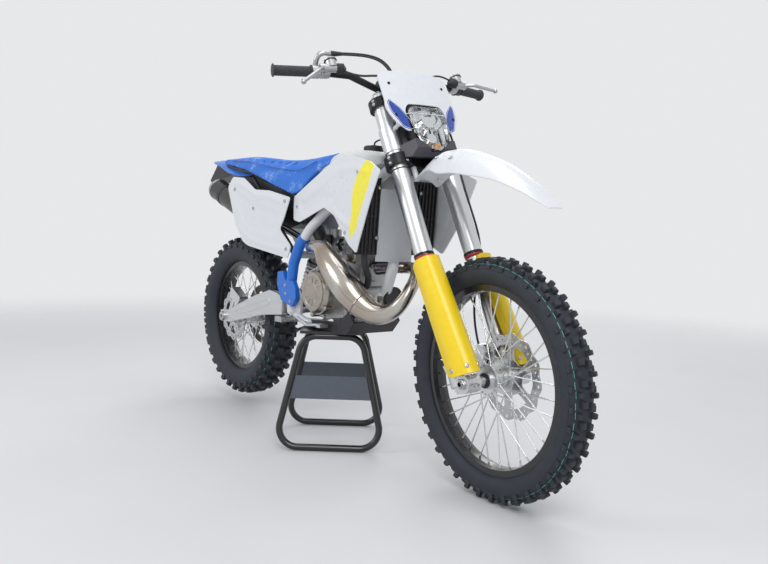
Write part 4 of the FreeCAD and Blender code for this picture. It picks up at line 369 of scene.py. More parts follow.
def dress_copies(tree, copies, given, result):
    """Make the copies real and give them their finish."""
    link = tree.links.new
    real = tree.nodes.new("GeometryNodeRealizeInstances")
    dress = tree.nodes.new("GeometryNodeSetMaterial")
    link(copies, real.inputs[0])
    link(real.outputs[0], dress.inputs["Geometry"])
    link(given.outputs["Finish"], dress.inputs["Material"])
    link(dress.outputs[0], result.inputs[0])


def around_tree():
    """Copies of the given shape, each turned on from the last."""
    tree, given, result = new_tree("copies_in_turn", [("Count", "Int"), ("Turn", "Vector")])
    add, link = tree.nodes.new, tree.links.new
    whole, copies = add("GeometryNodeGeometryToInstance"), add("GeometryNodeDuplicateElements")
    copies.domain = "INSTANCE"
    turn, rotate = add("ShaderNodeVectorMath"), add("GeometryNodeRotateInstances")
    turn.operation = "SCALE"
    rotate.inputs["Local Space"].default_value = False
    link(given.outputs["Shape"], whole.inputs[0])
    link(whole.outputs[0], copies.inputs["Geometry"])
    link(given.outputs["Count"], copies.inputs["Amount"])
    link(given.outputs["Turn"], turn.inputs[0])
    link(copies.outputs["Duplicate Index"], turn.inputs["Scale"])
    link(copies.outputs["Geometry"], rotate.inputs["Instances"])
    link(turn.outputs[0], rotate.inputs["Rotation"])
    dress_copies(tree, rotate.outputs[0], given, result)
    return tree


def places_tree():
    """The given shape at each point of another mesh, turned and sized by that mesh's attributes."""
    tree, given, result = new_tree("copies_at_places", [("Places", "Object")])
    add, link = tree.nodes.new, tree.links.new
    source, copies = add("GeometryNodeObjectInfo"), add("GeometryNodeInstanceOnPoints")
    turn, size = add("GeometryNodeInputNamedAttribute"), add("GeometryNodeInputNamedAttribute")
    for attribute, name in ((turn, "turn"), (size, "size")):
        attribute.data_type = "FLOAT_VECTOR"
        attribute.inputs["Name"].default_value = name
    rotation = add("FunctionNodeEulerToRotation")
    link(given.outputs["Places"], source.inputs["Object"])
    link(source.outputs["Geometry"], copies.inputs["Points"])
    link(given.outputs["Shape"], copies.inputs["Instance"])
    link(turn.outputs[0], rotation.inputs[0])
    link(rotation.outputs[0], copies.inputs["Rotation"])
    link(size.outputs[0], copies.inputs["Scale"])
    dress_copies(tree, copies.outputs[0], given, result)
    return tree


AROUND = around_tree()
AT_PLACES = places_tree()


def made_by(tree, base, **values):
    """Run a tree on a mesh and return the plain result."""
    holder = placed("holder", base)
    maker = holder.modifiers.new("maker", "NODES")
    maker.node_group = tree
    sockets = {s.name: s.identifier for s in tree.interface.items_tree if s.in_out == "INPUT"}
    for name, value in values.items():
        maker[sockets[name]] = value
    mesh = applied(holder)
    bpy.data.objects.remove(holder)
    return mesh


def copies_around(shape, dress, count, axis, place=WORLD):
    """Copies all round an axis, drawn about it in mm and then placed."""
    base = mesh_of(shape, dress, Matrix.Identity(4))
    each = tuple(TURN * share / count for share in axis)
    mesh = made_by(AROUND, base, Count=count, Turn=each, Finish=dress)
    mesh.transform(place)
    return mesh


def copies_at(shape, dress, places, place=WORLD):
    """Copies at (point, way, size) places, the shape's own Z turned to the way."""
    base = mesh_of(shape, dress, Matrix.Identity(4))
    spots = bpy.data.meshes.new("spots")
    spots.from_pydata([tuple(p[0]) for p in places], [], [])
    turns = spots.attributes.new("turn", "FLOAT_VECTOR", "POINT")
    sizes = spots.attributes.new("size", "FLOAT_VECTOR", "POINT")
    for i, (_, way, size) in enumerate(places):
        rotation = way.to_euler() if isinstance(way, Matrix) else Vector(way).to_track_quat("Z", "Y").to_euler()
        turns.data[i].vector = tuple(rotation)
        sizes.data[i].vector = (size, size, size)
    holder = placed("spots", spots)
    mesh = made_by(AT_PLACES, base, Places=holder, Finish=dress)
    bpy.data.objects.remove(holder)
    mesh.transform(place)
    return mesh


class Parts(list):
    """The meshes of one piece, drawn in one place unless another is given."""

    def __init__(self, place=WORLD):
        self.place = place

    def add(self, shape, dress, place=None, **look):
        self.append(mesh_of(shape, dress, place or self.place, **look))

    def add_copies(self, shape, dress, places):
        self.append(copies_at(shape, dress, places, self.place))


def both(*shapes):
    points = []
    faces = []
    for more_points, more_faces in shapes:
        shift = len(points)
        points += list(more_points)
        faces += [tuple(i + shift for i in face) for face in more_faces]
    return points, faces


# A flanged bolt head along Z, one unit in radius
BOLT = both(lathe([(1.35, 0), (1.35, 0.9 * 0.2), (1.15, 0.9 * 0.32)], axis=UP, sides=18),
            lathe([(1.0, 0.1), (1.0, 0.9 * 0.92), (0.86, 0.9), (0.45, 0.9), (0.42, 0.9 * 0.55)], axis=UP,
                  sides=6))


# Finishes
def node(tree, kind, **inputs):
    made = tree.nodes.new(kind)
    for name, value in inputs.items():
        made.inputs[name.replace("_", " ")].default_value = value
    return made


def shader_of(m):
    return m.node_tree.nodes["Principled BSDF"]


def finish(name, colour, rough=0.4, metal=0.0, coat=0.0, vary=0.06, grain=60.0, bump=0.0, bump_scale=300.0,
           rough_vary=0.08, stretch=(1, 1, 1)):
    """A surface whose colour and gloss wander a little, with a fine bump."""
    m = bpy.data.materials.new(name)
    m.use_nodes = True
    tree = m.node_tree
    link = tree.links.new
    shader = shader_of(m)
    place = node(tree, "ShaderNodeTexCoord")
    mapping = node(tree, "ShaderNodeMapping", Scale=stretch)
    link(place.outputs["Object"], mapping.inputs["Vector"])
    cloud = node(tree, "ShaderNodeTexNoise", Scale=grain, Detail=4.0)
    link(mapping.outputs["Vector"], cloud.inputs["Vector"])
    ramp = node(tree, "ShaderNodeValToRGB")
    ramp.color_ramp.elements[0].position = 0.3
    ramp.color_ramp.elements[0].color = (*[c * (1 - vary) for c in colour], 1)
    ramp.color_ramp.elements[1].position = 0.7
    ramp.color_ramp.elements[1].color = (*[min(1.0, c * (1 + vary * 0.6)) for c in colour], 1)
    link(cloud.outputs["Fac"], ramp.inputs["Fac"])
    link(ramp.outputs["Color"], shader.inputs["Base Color"])
    wear = node(tree, "ShaderNodeMapRange", To_Min=max(0.02, rough - rough_vary),
                To_Max=min(1.0, rough + rough_vary))
    link(cloud.outputs["Fac"], wear.inputs["Value"])
    link(wear.outputs["Result"], shader.inputs["Roughness"])
    shader.inputs["Metallic"].default_value = metal
    shader.inputs["Coat Weight"].default_value = coat
    shader.inputs["Coat Roughness"].default_value = 0.12
    if bump:
        fine = node(tree, "ShaderNodeTexNoise", Scale=bump_scale, Detail=3.0)
        link(mapping.outputs["Vector"], fine.inputs["Vector"])
        relief = node(tree, "ShaderNodeBump", Strength=bump, Distance=0.001)
        link(fine.outputs["Fac"], relief.inputs["Height"])
        link(relief.outputs["Normal"], shader.inputs["Normal"])
    return m


def overlay(m, pattern, low, high, colour):
    """Lay a second colour on a finish where a pattern's value is high."""
    tree = m.node_tree
    link = tree.links.new
    shader = shader_of(m)
    under = shader.inputs["Base Color"].links[0].from_socket
    mask = node(tree, "ShaderNodeMapRange", From_Min=low, From_Max=high)
    link(pattern, mask.inputs["Value"])
    mix = tree.nodes.new("ShaderNodeMix")
    mix.data_type = "RGBA"
    link(mask.outputs["Result"], mix.inputs["Factor"])
    link(under, mix.inputs["A"])
    mix.inputs["B"].default_value = (*colour, 1)
    link(mix.outputs["Result"], shader.inputs["Base Color"])


def place_of(m):
    return m.node_tree.nodes["Texture Coordinate"].outputs["Object"]


def seat_cover_finish():
    """Blue gripper cover with a pale speckle that thickens in patches."""
    m = finish("seat_cover", (0.014, 0.155, 0.62), rough=0.52, vary=0.10, grain=25, bump=0.5, bump_scale=420)
    tree = m.node_tree
    link = tree.links.new
    dots = node(tree, "ShaderNodeTexNoise", Scale=260.0, Detail=6.0)
    patch = node(tree, "ShaderNodeTexNoise", Scale=22.0, Detail=3.0)
    link(place_of(m), dots.inputs["Vector"])
    link(place_of(m), patch.inputs["Vector"])
    speckle = node(tree, "ShaderNodeMath")
    speckle.operation = "MULTIPLY"
    link(dots.outputs["Fac"], speckle.inputs[0])
    link(patch.outputs["Fac"], speckle.inputs[1])
    overlay(m, speckle.outputs[0], 0.30, 0.42, (0.30, 0.48, 0.85))
    return m


def heat_tint_finish():
    """Polished steel, straw and bronze where the gas runs hot, drawn along the pipe by its own map."""
    m = finish("heat_tinted_steel", (0.70, 0.66, 0.60), rough=0.19, metal=1.0, vary=0.06, grain=14, bump=0.06,
               bump_scale=90)
    tree = m.node_tree
    link = tree.links.new
    along = node(tree, "ShaderNodeUVMap")
    along.uv_map = "along"
    split = node(tree, "ShaderNodeSeparateXYZ")
    link(along.outputs["UV"], split.inputs[0])
    cloud = node(tree, "ShaderNodeTexNoise", Scale=7.0, Detail=3.0)
    link(place_of(m), cloud.inputs["Vector"])
    shifted = node(tree, "ShaderNodeMath")
    shifted.operation = "MULTIPLY_ADD"
    shifted.inputs[1].default_value = 0.22
    link(cloud.outputs["Fac"], shifted.inputs[0])
    link(split.outputs["Y"], shifted.inputs[2])
    tint = node(tree, "ShaderNodeValToRGB")
    ramp = tint.color_ramp
    stops = [(0.10, (0.18, 0.19, 0.34)), (0.17, (0.38, 0.30, 0.25)), (0.28, (0.47, 0.41, 0.34)),
             (0.42, (0.54, 0.51, 0.47)), (0.54, (0.44, 0.38, 0.32)), (0.62, (0.55, 0.52, 0.48)),
             (0.72, (0.36, 0.29, 0.23)), (0.76, (0.46, 0.40, 0.34)), (0.80, (0.16, 0.21, 0.42)),
             (0.85, (0.44, 0.40, 0.36)), (1.0, (0.42, 0.41, 0.40))]
    ramp.elements[0].position, ramp.elements[0].color = stops[0][0], (*stops[0][1], 1)
    ramp.elements[1].position, ramp.elements[1].color = stops[-1][0], (*stops[-1][1], 1)
    for position, colour in stops[1:-1]:
        ramp.elements.new(position).color = (*colour, 1)
    link(shifted.outputs[0], tint.inputs["Fac"])
    link(tint.outputs["Color"], shader_of(m).inputs["Base Color"])
    return m


def glass_finish(name, colour, rough):
    m = finish(name, colour, rough=rough, vary=0.02, rough_vary=0.02)
    shader = shader_of(m)
    shader.inputs["Transmission Weight"].default_value = 1.0
    shader.inputs["IOR"].default_value = 1.25
    return m


def finned_finish(name, colour, spacing):
    """Dark radiator core with thin level fins."""
    m = finish(name, colour, rough=0.5, metal=0.7, vary=0.2)
    tree = m.node_tree
    link = tree.links.new
    waves = node(tree, "ShaderNodeTexWave", Scale=1.0 / spacing)
    waves.bands_direction = "Z"
    link(place_of(m), waves.inputs["Vector"])
    overlay(m, waves.outputs["Fac"], 0.4, 0.9, (0.22, 0.22, 0.23))
    relief = node(tree, "ShaderNodeBump", Strength=0.6, Distance=0.002)
    link(waves.outputs["Fac"], relief.inputs["Height"])
    link(relief.outputs["Normal"], shader_of(m).inputs["Normal"])
    return m


white_plastic = finish("white_plastic", (0.74, 0.755, 0.775), rough=0.30, coat=0.25, vary=0.02, bump=0.03,
                       bump_scale=140)
tank_plastic = finish("tank_plastic", (0.66, 0.68, 0.66), rough=0.42, vary=0.04, bump=0.1, bump_scale=400)
blue_plastic = finish("blue_plastic", (0.010, 0.145, 0.60), rough=0.34, coat=0.15, vary=0.05, bump=0.08,
                      bump_scale=600)
navy_film = finish("navy_film", (0.008, 0.050, 0.34), rough=0.22, coat=0.4, vary=0.05)
yellow_film = finish("yellow_film", (0.95, 0.84, 0.006), rough=0.28, coat=0.3, vary=0.03)
yellow_plastic = finish("yellow_plastic", (0.93, 0.66, 0.004), rough=0.33, coat=0.2, vary=0.04, bump=0.06,
                        bump_scale=600)
black_plastic = finish("black_plastic", (0.018, 0.018, 0.020), rough=0.45, vary=0.2, bump=0.25, bump_scale=900)
grey_plastic = finish("grey_plastic", (0.055, 0.052, 0.062), rough=0.42, vary=0.12, bump=0.15, bump_scale=800)
skid_plastic = finish("skid_plastic", (0.022, 0.018, 0.024), rough=0.5, vary=0.2, bump=0.15, bump_scale=500)
tyre_rubber = finish("tyre_rubber", (0.018, 0.023, 0.034), rough=0.62, vary=0.3, grain=30, bump=0.3,
                     bump_scale=700)
knob_rubber = finish("knob_rubber", (0.020, 0.024, 0.032), rough=0.55, vary=0.3, grain=50, bump=0.3,
                     bump_scale=500)
green_line = finish("green_line", (0.10, 0.50, 0.36), rough=0.5, vary=0.2, grain=200)
soft_rubber = finish("soft_rubber", (0.022, 0.022, 0.024), rough=0.55, vary=0.2, bump=0.2, bump_scale=600)
grip_rubber = finish("grip_rubber", (0.035, 0.035, 0.040), rough=0.6, vary=0.2, bump=0.3, bump_scale=500)
frame_paint = finish("frame_paint", (0.70, 0.715, 0.735), rough=0.25, coat=0.4, vary=0.03, bump=0.05)
cast_alloy = finish("cast_alloy", (0.40, 0.40, 0.40), rough=0.40, metal=1.0, vary=0.16, bump=0.35,
                    bump_scale=420)
clutch_alloy = finish("clutch_alloy", (0.42, 0.385, 0.34), rough=0.30, metal=1.0, vary=0.12, grain=90, bump=0.1)
arm_alloy = finish("arm_alloy", (0.66, 0.67, 0.68), rough=0.32, metal=1.0, vary=0.06, grain=120, bump=0.1,
                   bump_scale=300, stretch=(0.1, 1, 1))
lever_alloy = finish("lever_alloy", (0.46, 0.46, 0.47), rough=0.34, metal=1.0, vary=0.05)
fork_alloy = finish("fork_alloy", (0.66, 0.67, 0.68), rough=0.33, metal=1.0, vary=0.04, grain=200)
hub_alloy = finish("hub_alloy", (0.70, 0.71, 0.72), rough=0.28, metal=1.0, vary=0.05)
clamp_black = finish("clamp_black", (0.022, 0.022, 0.024), rough=0.35, metal=0.6, vary=0.1)
rim_black = finish("rim_black", (0.010, 0.010, 0.012), rough=0.24, coat=0.3, vary=0.1)
disc_steel = finish("disc_steel", (0.56, 0.56, 0.57), rough=0.26, metal=1.0, vary=0.08, grain=120)
bright_steel = finish("bright_steel", (0.50, 0.50, 0.51), rough=0.26, metal=1.0, vary=0.08)
dark_steel = finish("dark_steel", (0.16, 0.15, 0.145), rough=0.4, metal=1.0, vary=0.2)
chain_steel = finish("chain_steel", (0.30, 0.26, 0.20), rough=0.36, metal=1.0, vary=0.25, grain=300)
silencer_black = finish("silencer_black", (0.012, 0.012, 0.013), rough=0.34, coat=0.2, vary=0.2)
stand_gloss = finish("stand_gloss", (0.008, 0.008, 0.009), rough=0.22, coat=0.35, vary=0.1)
plate_grey = finish("plate_grey", (0.085, 0.10, 0.125), rough=0.35, vary=0.08)
red_rubber = finish("red_rubber", (0.55, 0.02, 0.015), rough=0.5, vary=0.1)
# Duct sheets: the white plastic's colour darkened to about two thirds, a painted shade
duct_white_painted_shade = finish("duct_white_painted_shade", (0.50, 0.515, 0.53), rough=0.4, vary=0.03)
spring_white = finish("spring_white", (0.62, 0.63, 0.64), rough=0.35, coat=0.3, vary=0.03)
mirror_chrome = finish("mirror_chrome", (0.80, 0.80, 0.80), rough=0.08, metal=1.0, vary=0.04)
radiator_core = finned_finish("radiator_core", (0.03, 0.03, 0.032), 0.012)
seat_cover = seat_cover_finish()
pipe_steel = heat_tint_finish()
lens_clear = glass_finish("lens_clear", (0.93, 0.95, 0.96), 0.03)
lamp_amber = finish("lamp_amber", (0.62, 0.30, 0.10), rough=0.25, coat=0.3, vary=0.1)
tail_red = finish("tail_red", (0.35, 0.01, 0.01), rough=0.2, coat=0.4, vary=0.1)

DRESS = {
    frame_paint: "main_frame",
    black_plastic: "subframe airbox radiator_louvres tank_cap tail_bracket horn",
    grey_plastic: "mask_brackets",
    blue_plastic: "frame_guards",
    cast_alloy: "engine_cases cylinder carburettor",
    clutch_alloy: "clutch_cover",
    soft_rubber: "intake_boots coolant_hose control_lines",
    silencer_black: "silencer",
    arm_alloy: "swingarm rear_caliper foot_levers front_caliper",
    lever_alloy: "hand_levers",
    bright_steel: "pivot_bolt rear_axle front_axle footpegs",
    dark_steel: "side_stand_carrier side_stand",
    radiator_core: "radiators",
    skid_plastic: "skid_plate",
    stand_gloss: "stand_frame",
    plate_grey: "stand_plates",
    clamp_black: "triple_clamps handlebar",
    fork_alloy: "fork_outers fork_inners",
    rim_black: "front_rim rear_rim",
    hub_alloy: "front_hub rear_hub",
}
for dress, names in DRESS.items():
    for name in names.split():
        mesh = nodes[name].data
        mesh.materials.clear()
        mesh.materials.append(dress)

# The mask's clamps on the fork tubes share the finish of the tubes
FORK_AT = (22.0, 96.5)
BAND_REACH = (29.8, 34.0)
BAND_LOW = 751.0
brackets = nodes["mask_brackets"]
brackets.data.materials.append(fork_alloy)
to_steer = STEER.inverted() @ brackets.matrix_world
for face in brackets.data.polygons:
    at = to_steer @ face.center
    reach = math.hypot(at.x - FORK_AT[0], abs(at.y) - FORK_AT[1])
    if BAND_REACH[0] < reach < BAND_REACH[1] and at.z > BAND_LOW:
        face.material_index = 1



# Wheels, drawn about the axle with Y across and Z up
TYRE_SECTION_SHARES = [(0.0, 0.50), (0.02, 0.62), (0.10, 0.78), (0.24, 0.92), (0.40, 0.97), (0.55, 0.95),
                       (0.67, 0.85), (0.76, 0.64), (0.81, 0.35), (0.825, 0.0)]
FRONT_TYRE = {"tyre_r": 353.0, "half": 45.0, "rim_r": 273.5, "pitches": 40,
              "rows": [(0.27, 17, 19, 0.0), (0.56, 12, 15, 0.5), (0.90, 14, 17, 0.25)]}
REAR_TYRE = {"tyre_r": 345.0, "half": 66.0, "rim_r": 235.7, "pitches": 36,
             "rows": [(0.24, 24, 22, 0.0), (0.60, 19, 21, 0.5), (0.93, 15, 22, 0.0)]}
LINE_SHARE = 0.72
KNOB_TALLEST = 19.0
SIDE_KNOB_HEIGHT = 9.0


def knob(width, length, height):
    """A tread block, its top edge broken."""
    rows = []
    for z, share in ((-4.0, 1.0), (height * 0.82, 0.92), (height, 0.76)):
        x, y = width / 2 * share, length / 2 * share
        rows.append([vec(-x, -y, z), vec(x, -y, z), vec(x, y, z), vec(-x, y, z)])
    return closed_grid(rows)


def section_at(profile, y):
    """Radius of the tyre's section at a place across, and the way out of it there."""
    for (r0, y0), (r1, y1) in zip(profile, profile[1:]):
        if y0 >= y >= y1 and y0 > y1 and r1 >= r0:
            t = (y0 - y) / (y0 - y1)
            return r0 + (r1 - r0) * t, vec(0, r1 - r0, y0 - y1).normalized()
    return profile[-1][0], Vector(UP)


def turned_shape(shape, matrix):
    points, faces = shape
    return [matrix @ Vector(p) for p in points], faces


def tyre_piece(name, size, place, body, node_name):
    """A tyre with beads round its walls, knobs in rows and thin dashes between them."""
    tyre_r, half, rim_r, pitches = size["tyre_r"], size["half"], size["rim_r"], size["pitches"]
    section = [(rim_r + (tyre_r - rim_r) * r, half * y) for r, y in TYRE_SECTION_SHARES]
    fine = [(p.x, p.y) for p in smooth_line([vec(r, y, 0) for r, y in section], 4)]
    outer = fine + [(r, -y) for r, y in reversed(fine[:-1])]
    inner = [(rim_r + 6, -half * 0.4), (rim_r + 6, half * 0.4)]
    meshes = Parts(place)
    meshes.add(lathe(outer + inner, sides=144, ring=True), tyre_rubber, sharp=50)
    for share in (0.82, 0.94):
        r = section_at(fine, half * share)[0]
        for side in (1, -1):
            y = half * share * side
            bead = [(r - 1.6, y), (r, y + side * 1.4), (r + 1.6, y), (r, y - side * 2)]
            meshes.add(lathe(bead, sides=144, ring=True), tyre_rubber)
    for y_share, width, length, phase in size["rows"]:
        for side in (1, -1):
            r, out = section_at(fine, half * y_share)
            out = vec(0, out.y * side, out.z)
            tilt = math.atan2(out.y, out.z)
            room = tyre_r - 0.9 - r - width * 0.5 * abs(math.sin(tilt))
            height = min(room / max(0.55, math.cos(tilt)), KNOB_TALLEST)
            if y_share >= 0.9:
                height = SIDE_KNOB_HEIGHT
            start = Matrix.Rotation(TURN * (phase + 0.07 * side) / pitches, 4, "Y")
            seat = Matrix.Translation((0, half * y_share * side, r)) @ Matrix.Rotation(-tilt, 4, "X")
            across = seat @ Matrix.Rotation(math.pi / 2, 4, "Z")
            shape = turned_shape(knob(width, length, height), start @ across)
            limit = half - 0.5
            points = [vec(p.x, max(-limit, min(limit, p.y)), p.z) for p in shape[0]]
            meshes.append(copies_around((points, shape[1]), knob_rubber, pitches, ACROSS, place))
    for side in (1, -1):
        for phase, shift in ((0.0, 0.012), (0.45, -0.012)):
            r, out = section_at(fine, half * (LINE_SHARE + shift))
            length = TURN * r / pitches * 0.34
            at = Matrix.Rotation(TURN * phase / pitches, 4, "Y")
            seat = Matrix.Translation((0, half * (LINE_SHARE + shift) * side, r + 0.2))
            seat = seat @ Matrix.Rotation(-math.atan2(out.y, out.z) * side, 4, "X")
            dash = turned_shape(block((-length / 2, -0.7, -1), (length / 2, 0.7, 0.5)), at @ seat)
            meshes.append(copies_around(dash, green_line, pitches, ACROSS, place))
    piece(name, meshes, body, [node_name])


SPOKES = 36
DISC_WAVES = 12
FRONT_HUB = {"rim_reach": 250.9, "flange_foot": 41, "spoke_y": 28, "hub_end": 38, "hub_r": 26, "disc_side": 1}
REAR_HUB = {"rim_reach": 213.1, "flange_foot": 53, "spoke_y": 34, "hub_end": 44, "hub_r": 32, "disc_side": -1}
FRONT_DISC = {"disc_r": 130.0, "disc_y": 60.0, "hub_end": 38.2, "hub_r": 26.0}
REAR_DISC = {"disc_r": 110.0, "disc_y": -68.0, "hub_end": 44.2, "hub_r": 32.0}
NIPPLE = lathe([(3.4, -1), (3.4, 3), (2.7, 5), (2.7, 15), (2.1, 17)], axis=UP, sides=8)


def wheel_fittings(name, place, body, rim_reach, flange_foot, spoke_y, hub_end, hub_r, disc_side):
    """Spoke nipples and heads, bearing seals and hub rings."""
    nipples = []
    heads = []
    for i in range(SPOKES):
        side = 1 if i % 2 else -1
        lean = 4 if (i // 2) % 2 else -4
        rim_angle, foot_angle = TURN * i / SPOKES, TURN * (i + lean) / SPOKES
        tip = on_circle(rim_reach, rim_angle, 2.0 * side)
        foot = on_circle(flange_foot, foot_angle, spoke_y * side)
        nipples.append((tip, foot - tip, 1.0))
        heads.append((foot + ACROSS * side * 2.6, ACROSS * side, 1.0))
    meshes = Parts(place)
    meshes.add_copies(NIPPLE, bright_steel, nipples)
    head = lathe([(3.4, -2), (3.4, 0), (2.6, 1.6), (0, 2.2)], axis=UP, sides=8)
    meshes.add_copies(head, bright_steel, heads)
    for side in (1, -1):
        ring_profile = [(hub_r * 0.96, side * hub_end * 0.3), (hub_r * 1.10, side * hub_end * 0.34),
                        (hub_r * 1.10, side * hub_end * 0.46), (hub_r * 0.96, side * hub_end * 0.5)]
        meshes.add(lathe(ring_profile, sides=48, ring=True), hub_alloy)
        seal = [(hub_r * 0.50, side * (hub_end + 0.1)), (hub_r * 0.86, side * (hub_end + 0.1)),
                (hub_r * 0.84, side * (hub_end + 2.2)), (hub_r * 0.52, side * (hub_end + 2.6))]
        if side != disc_side:
            meshes.add(lathe(seal, sides=48, ring=True), soft_rubber)
    piece(name, meshes, body)


def wave_loop(radius, depth, waves, sides=240):
    """A circle whose radius waves."""
    loop = []
    for k in range(sides):
        reach = radius + depth * math.cos(waves * 2 * math.pi * k / sides)
        loop.append(vec(math.cos(TURN * k / sides), math.sin(TURN * k / sides)) * reach)
    return loop


def window_loop(angle, half_low, half_high, low_r, high_r):
    corners = []
    for r, a in ((low_r, -half_low), (high_r, -half_high), (high_r * 1.015, 0), (high_r, half_high),
                 (low_r, half_low)):
        corners.append(vec(r * math.cos(angle + a), r * math.sin(angle + a)))
    return rounded_loop(corners, 7, 4)


def disc_piece(name, place, body, node_name, disc_r, disc_y, hub_end, hub_r):
    """Waved brake disc with slots and windows, on its bolted carrier."""
    outline = wave_loop(disc_r - 4, 4, DISC_WAVES)
    holes = [round_hole(0, 0, 24)]
    for angle in BETWEEN_SIXTHS:
        holes.append(window_loop(angle, 0.27, 0.40, disc_r * 0.43, disc_r * 0.73))
        holes.append(round_hole(disc_r * 0.57 * math.cos(angle + math.pi / 6),
                                disc_r * 0.57 * math.sin(angle + math.pi / 6), 5))
    for i in range(DISC_WAVES):
        angle = TURN * i / DISC_WAVES
        for shift, r_share, size in ((0.0, 0.90, 4.2), (0.17, 0.84, 2.8), (-0.17, 0.84, 2.8),
                                     (0.26, 0.91, 2.6)):
            at = vec(math.cos(angle + shift), math.sin(angle + shift)) * disc_r * r_share
            holes.append(round_hole(at.x, at.y, size, 10))
    flat = filled(outline, holes, 11.0)
    plate = upright(flat[0], disc_y), flat[1]
    meshes = Parts(place)
    meshes.add(plate, disc_steel, wall=3.0)
    side = 1 if disc_y > 0 else -1
    carrier = [(hub_r * 0.8, side * hub_end), (hub_r * 1.05, side * hub_end),
               (hub_r * 1.05, disc_y - side * 1.5), (disc_r * 0.33, disc_y - side * 1.5),
               (disc_r * 0.33, disc_y + side * 2.2), (hub_r * 0.62, disc_y + side * 2.2)]
    meshes.add(lathe(carrier, sides=48, ring=True), hub_alloy)
    bolts = [(on_circle(disc_r * 0.29, angle, disc_y + side * 2.2), ACROSS * side, 4.2) for angle in SIXTHS]
    meshes.add_copies(BOLT, bright_steel, bolts)
    piece(name, meshes, body, [node_name], lip=0.4)


REAR_TEETH = 50
FRONT_TEETH = 13
CHAIN_Y = 79.0
REAR_PITCH_R = 126.4
FRONT_PITCH_R = 33.0
FRONT_SPROCKET_SHARE = (0.418, 0.490)
ROLLER_R = 5.0


def toothed_loop(pitch_r, teeth):
    loop = []
    for i in range(teeth):
        for share, r in ((0.0, -4.6), (0.22, -3.2), (0.38, 2.2), (0.5, 4.0), (0.62, 2.2), (0.78, -3.2)):
            angle = TURN * (i + share) / teeth
            loop.append(vec(math.cos(angle), math.sin(angle)) * (pitch_r + r))
    return loop


def rear_sprocket_piece():
    holes = [round_hole(0, 0, 32, 32)]
    for angle in BETWEEN_SIXTHS:
        holes.append(window_loop(angle, 0.33, 0.43, REAR_PITCH_R * 0.56, REAR_PITCH_R * 0.82))
        holes.append(round_hole(44 * math.cos(angle), 44 * math.sin(angle), 6))
    flat = filled(toothed_loop(REAR_PITCH_R, REAR_TEETH), holes, 12.0)
    plate = upright(flat[0], CHAIN_Y), flat[1]
    meshes = Parts(REAR_WHEEL)
    meshes.add(plate, dark_steel, wall=5.0)
    boss = [(12, 44.2), (33, 44.2), (33, 60), (50, 66), (50, 76.4), (12, 76.4)]
    meshes.add(lathe(boss, sides=48, ring=True), hub_alloy)
    bolts = [(on_circle(41, angle, CHAIN_Y + 2.5), ACROSS, 5.0) for angle in SIXTHS]
    meshes.add_copies(BOLT, bright_steel, bolts)
    piece("rear_sprocket_toothed", meshes, "rear_wheel", ["rear_sprocket"], lip=0.4)


def chain_course(count):
    """Pin places along the chain's loop, from the middle of the rear sprocket's wrap."""
    rear = REAR_AXLE / MM
    front = spot(FRONT_SPROCKET_SHARE[0], 0, FRONT_SPROCKET_SHARE[1])
    span = front - rear
    tilt = math.atan2(span.z, span.x)
    spread = math.acos((REAR_PITCH_R - FRONT_PITCH_R) / span.length)
    run = math.sqrt(span.length ** 2 - (REAR_PITCH_R - FRONT_PITCH_R) ** 2)
    rear_arc, front_arc = REAR_PITCH_R * (TURN - 2 * spread), FRONT_PITCH_R * 2 * spread
    total = rear_arc + front_arc + 2 * run

    def at(angle, centre, radius):
        return vec(centre.x + radius * math.cos(angle), CHAIN_Y, centre.z + radius * math.sin(angle))

    course = []
    for i in range(count):
        s = total * i / count
        if s < rear_arc / 2:
            course.append(at(tilt + math.pi + s / REAR_PITCH_R, rear, REAR_PITCH_R))
        elif s < rear_arc / 2 + run:
            low_rear, low_front = at(tilt - spread, rear, REAR_PITCH_R), at(tilt - spread, front, FRONT_PITCH_R)
            course.append(low_rear.lerp(low_front, (s - rear_arc / 2) / run))
        elif s < rear_arc / 2 + run + front_arc:
            angle = tilt - spread + (s - rear_arc / 2 - run) / FRONT_PITCH_R
            course.append(at(angle, front, FRONT_PITCH_R))
        elif s < rear_arc / 2 + 2 * run + front_arc:
            top_front, top_rear = at(tilt + spread, front, FRONT_PITCH_R), at(tilt + spread, rear, REAR_PITCH_R)
            course.append(top_front.lerp(top_rear, (s - rear_arc / 2 - run - front_arc) / run))
        else:
            s -= rear_arc / 2 + 2 * run + front_arc
            course.append(at(tilt + spread + s / REAR_PITCH_R, rear, REAR_PITCH_R))
    return course, total


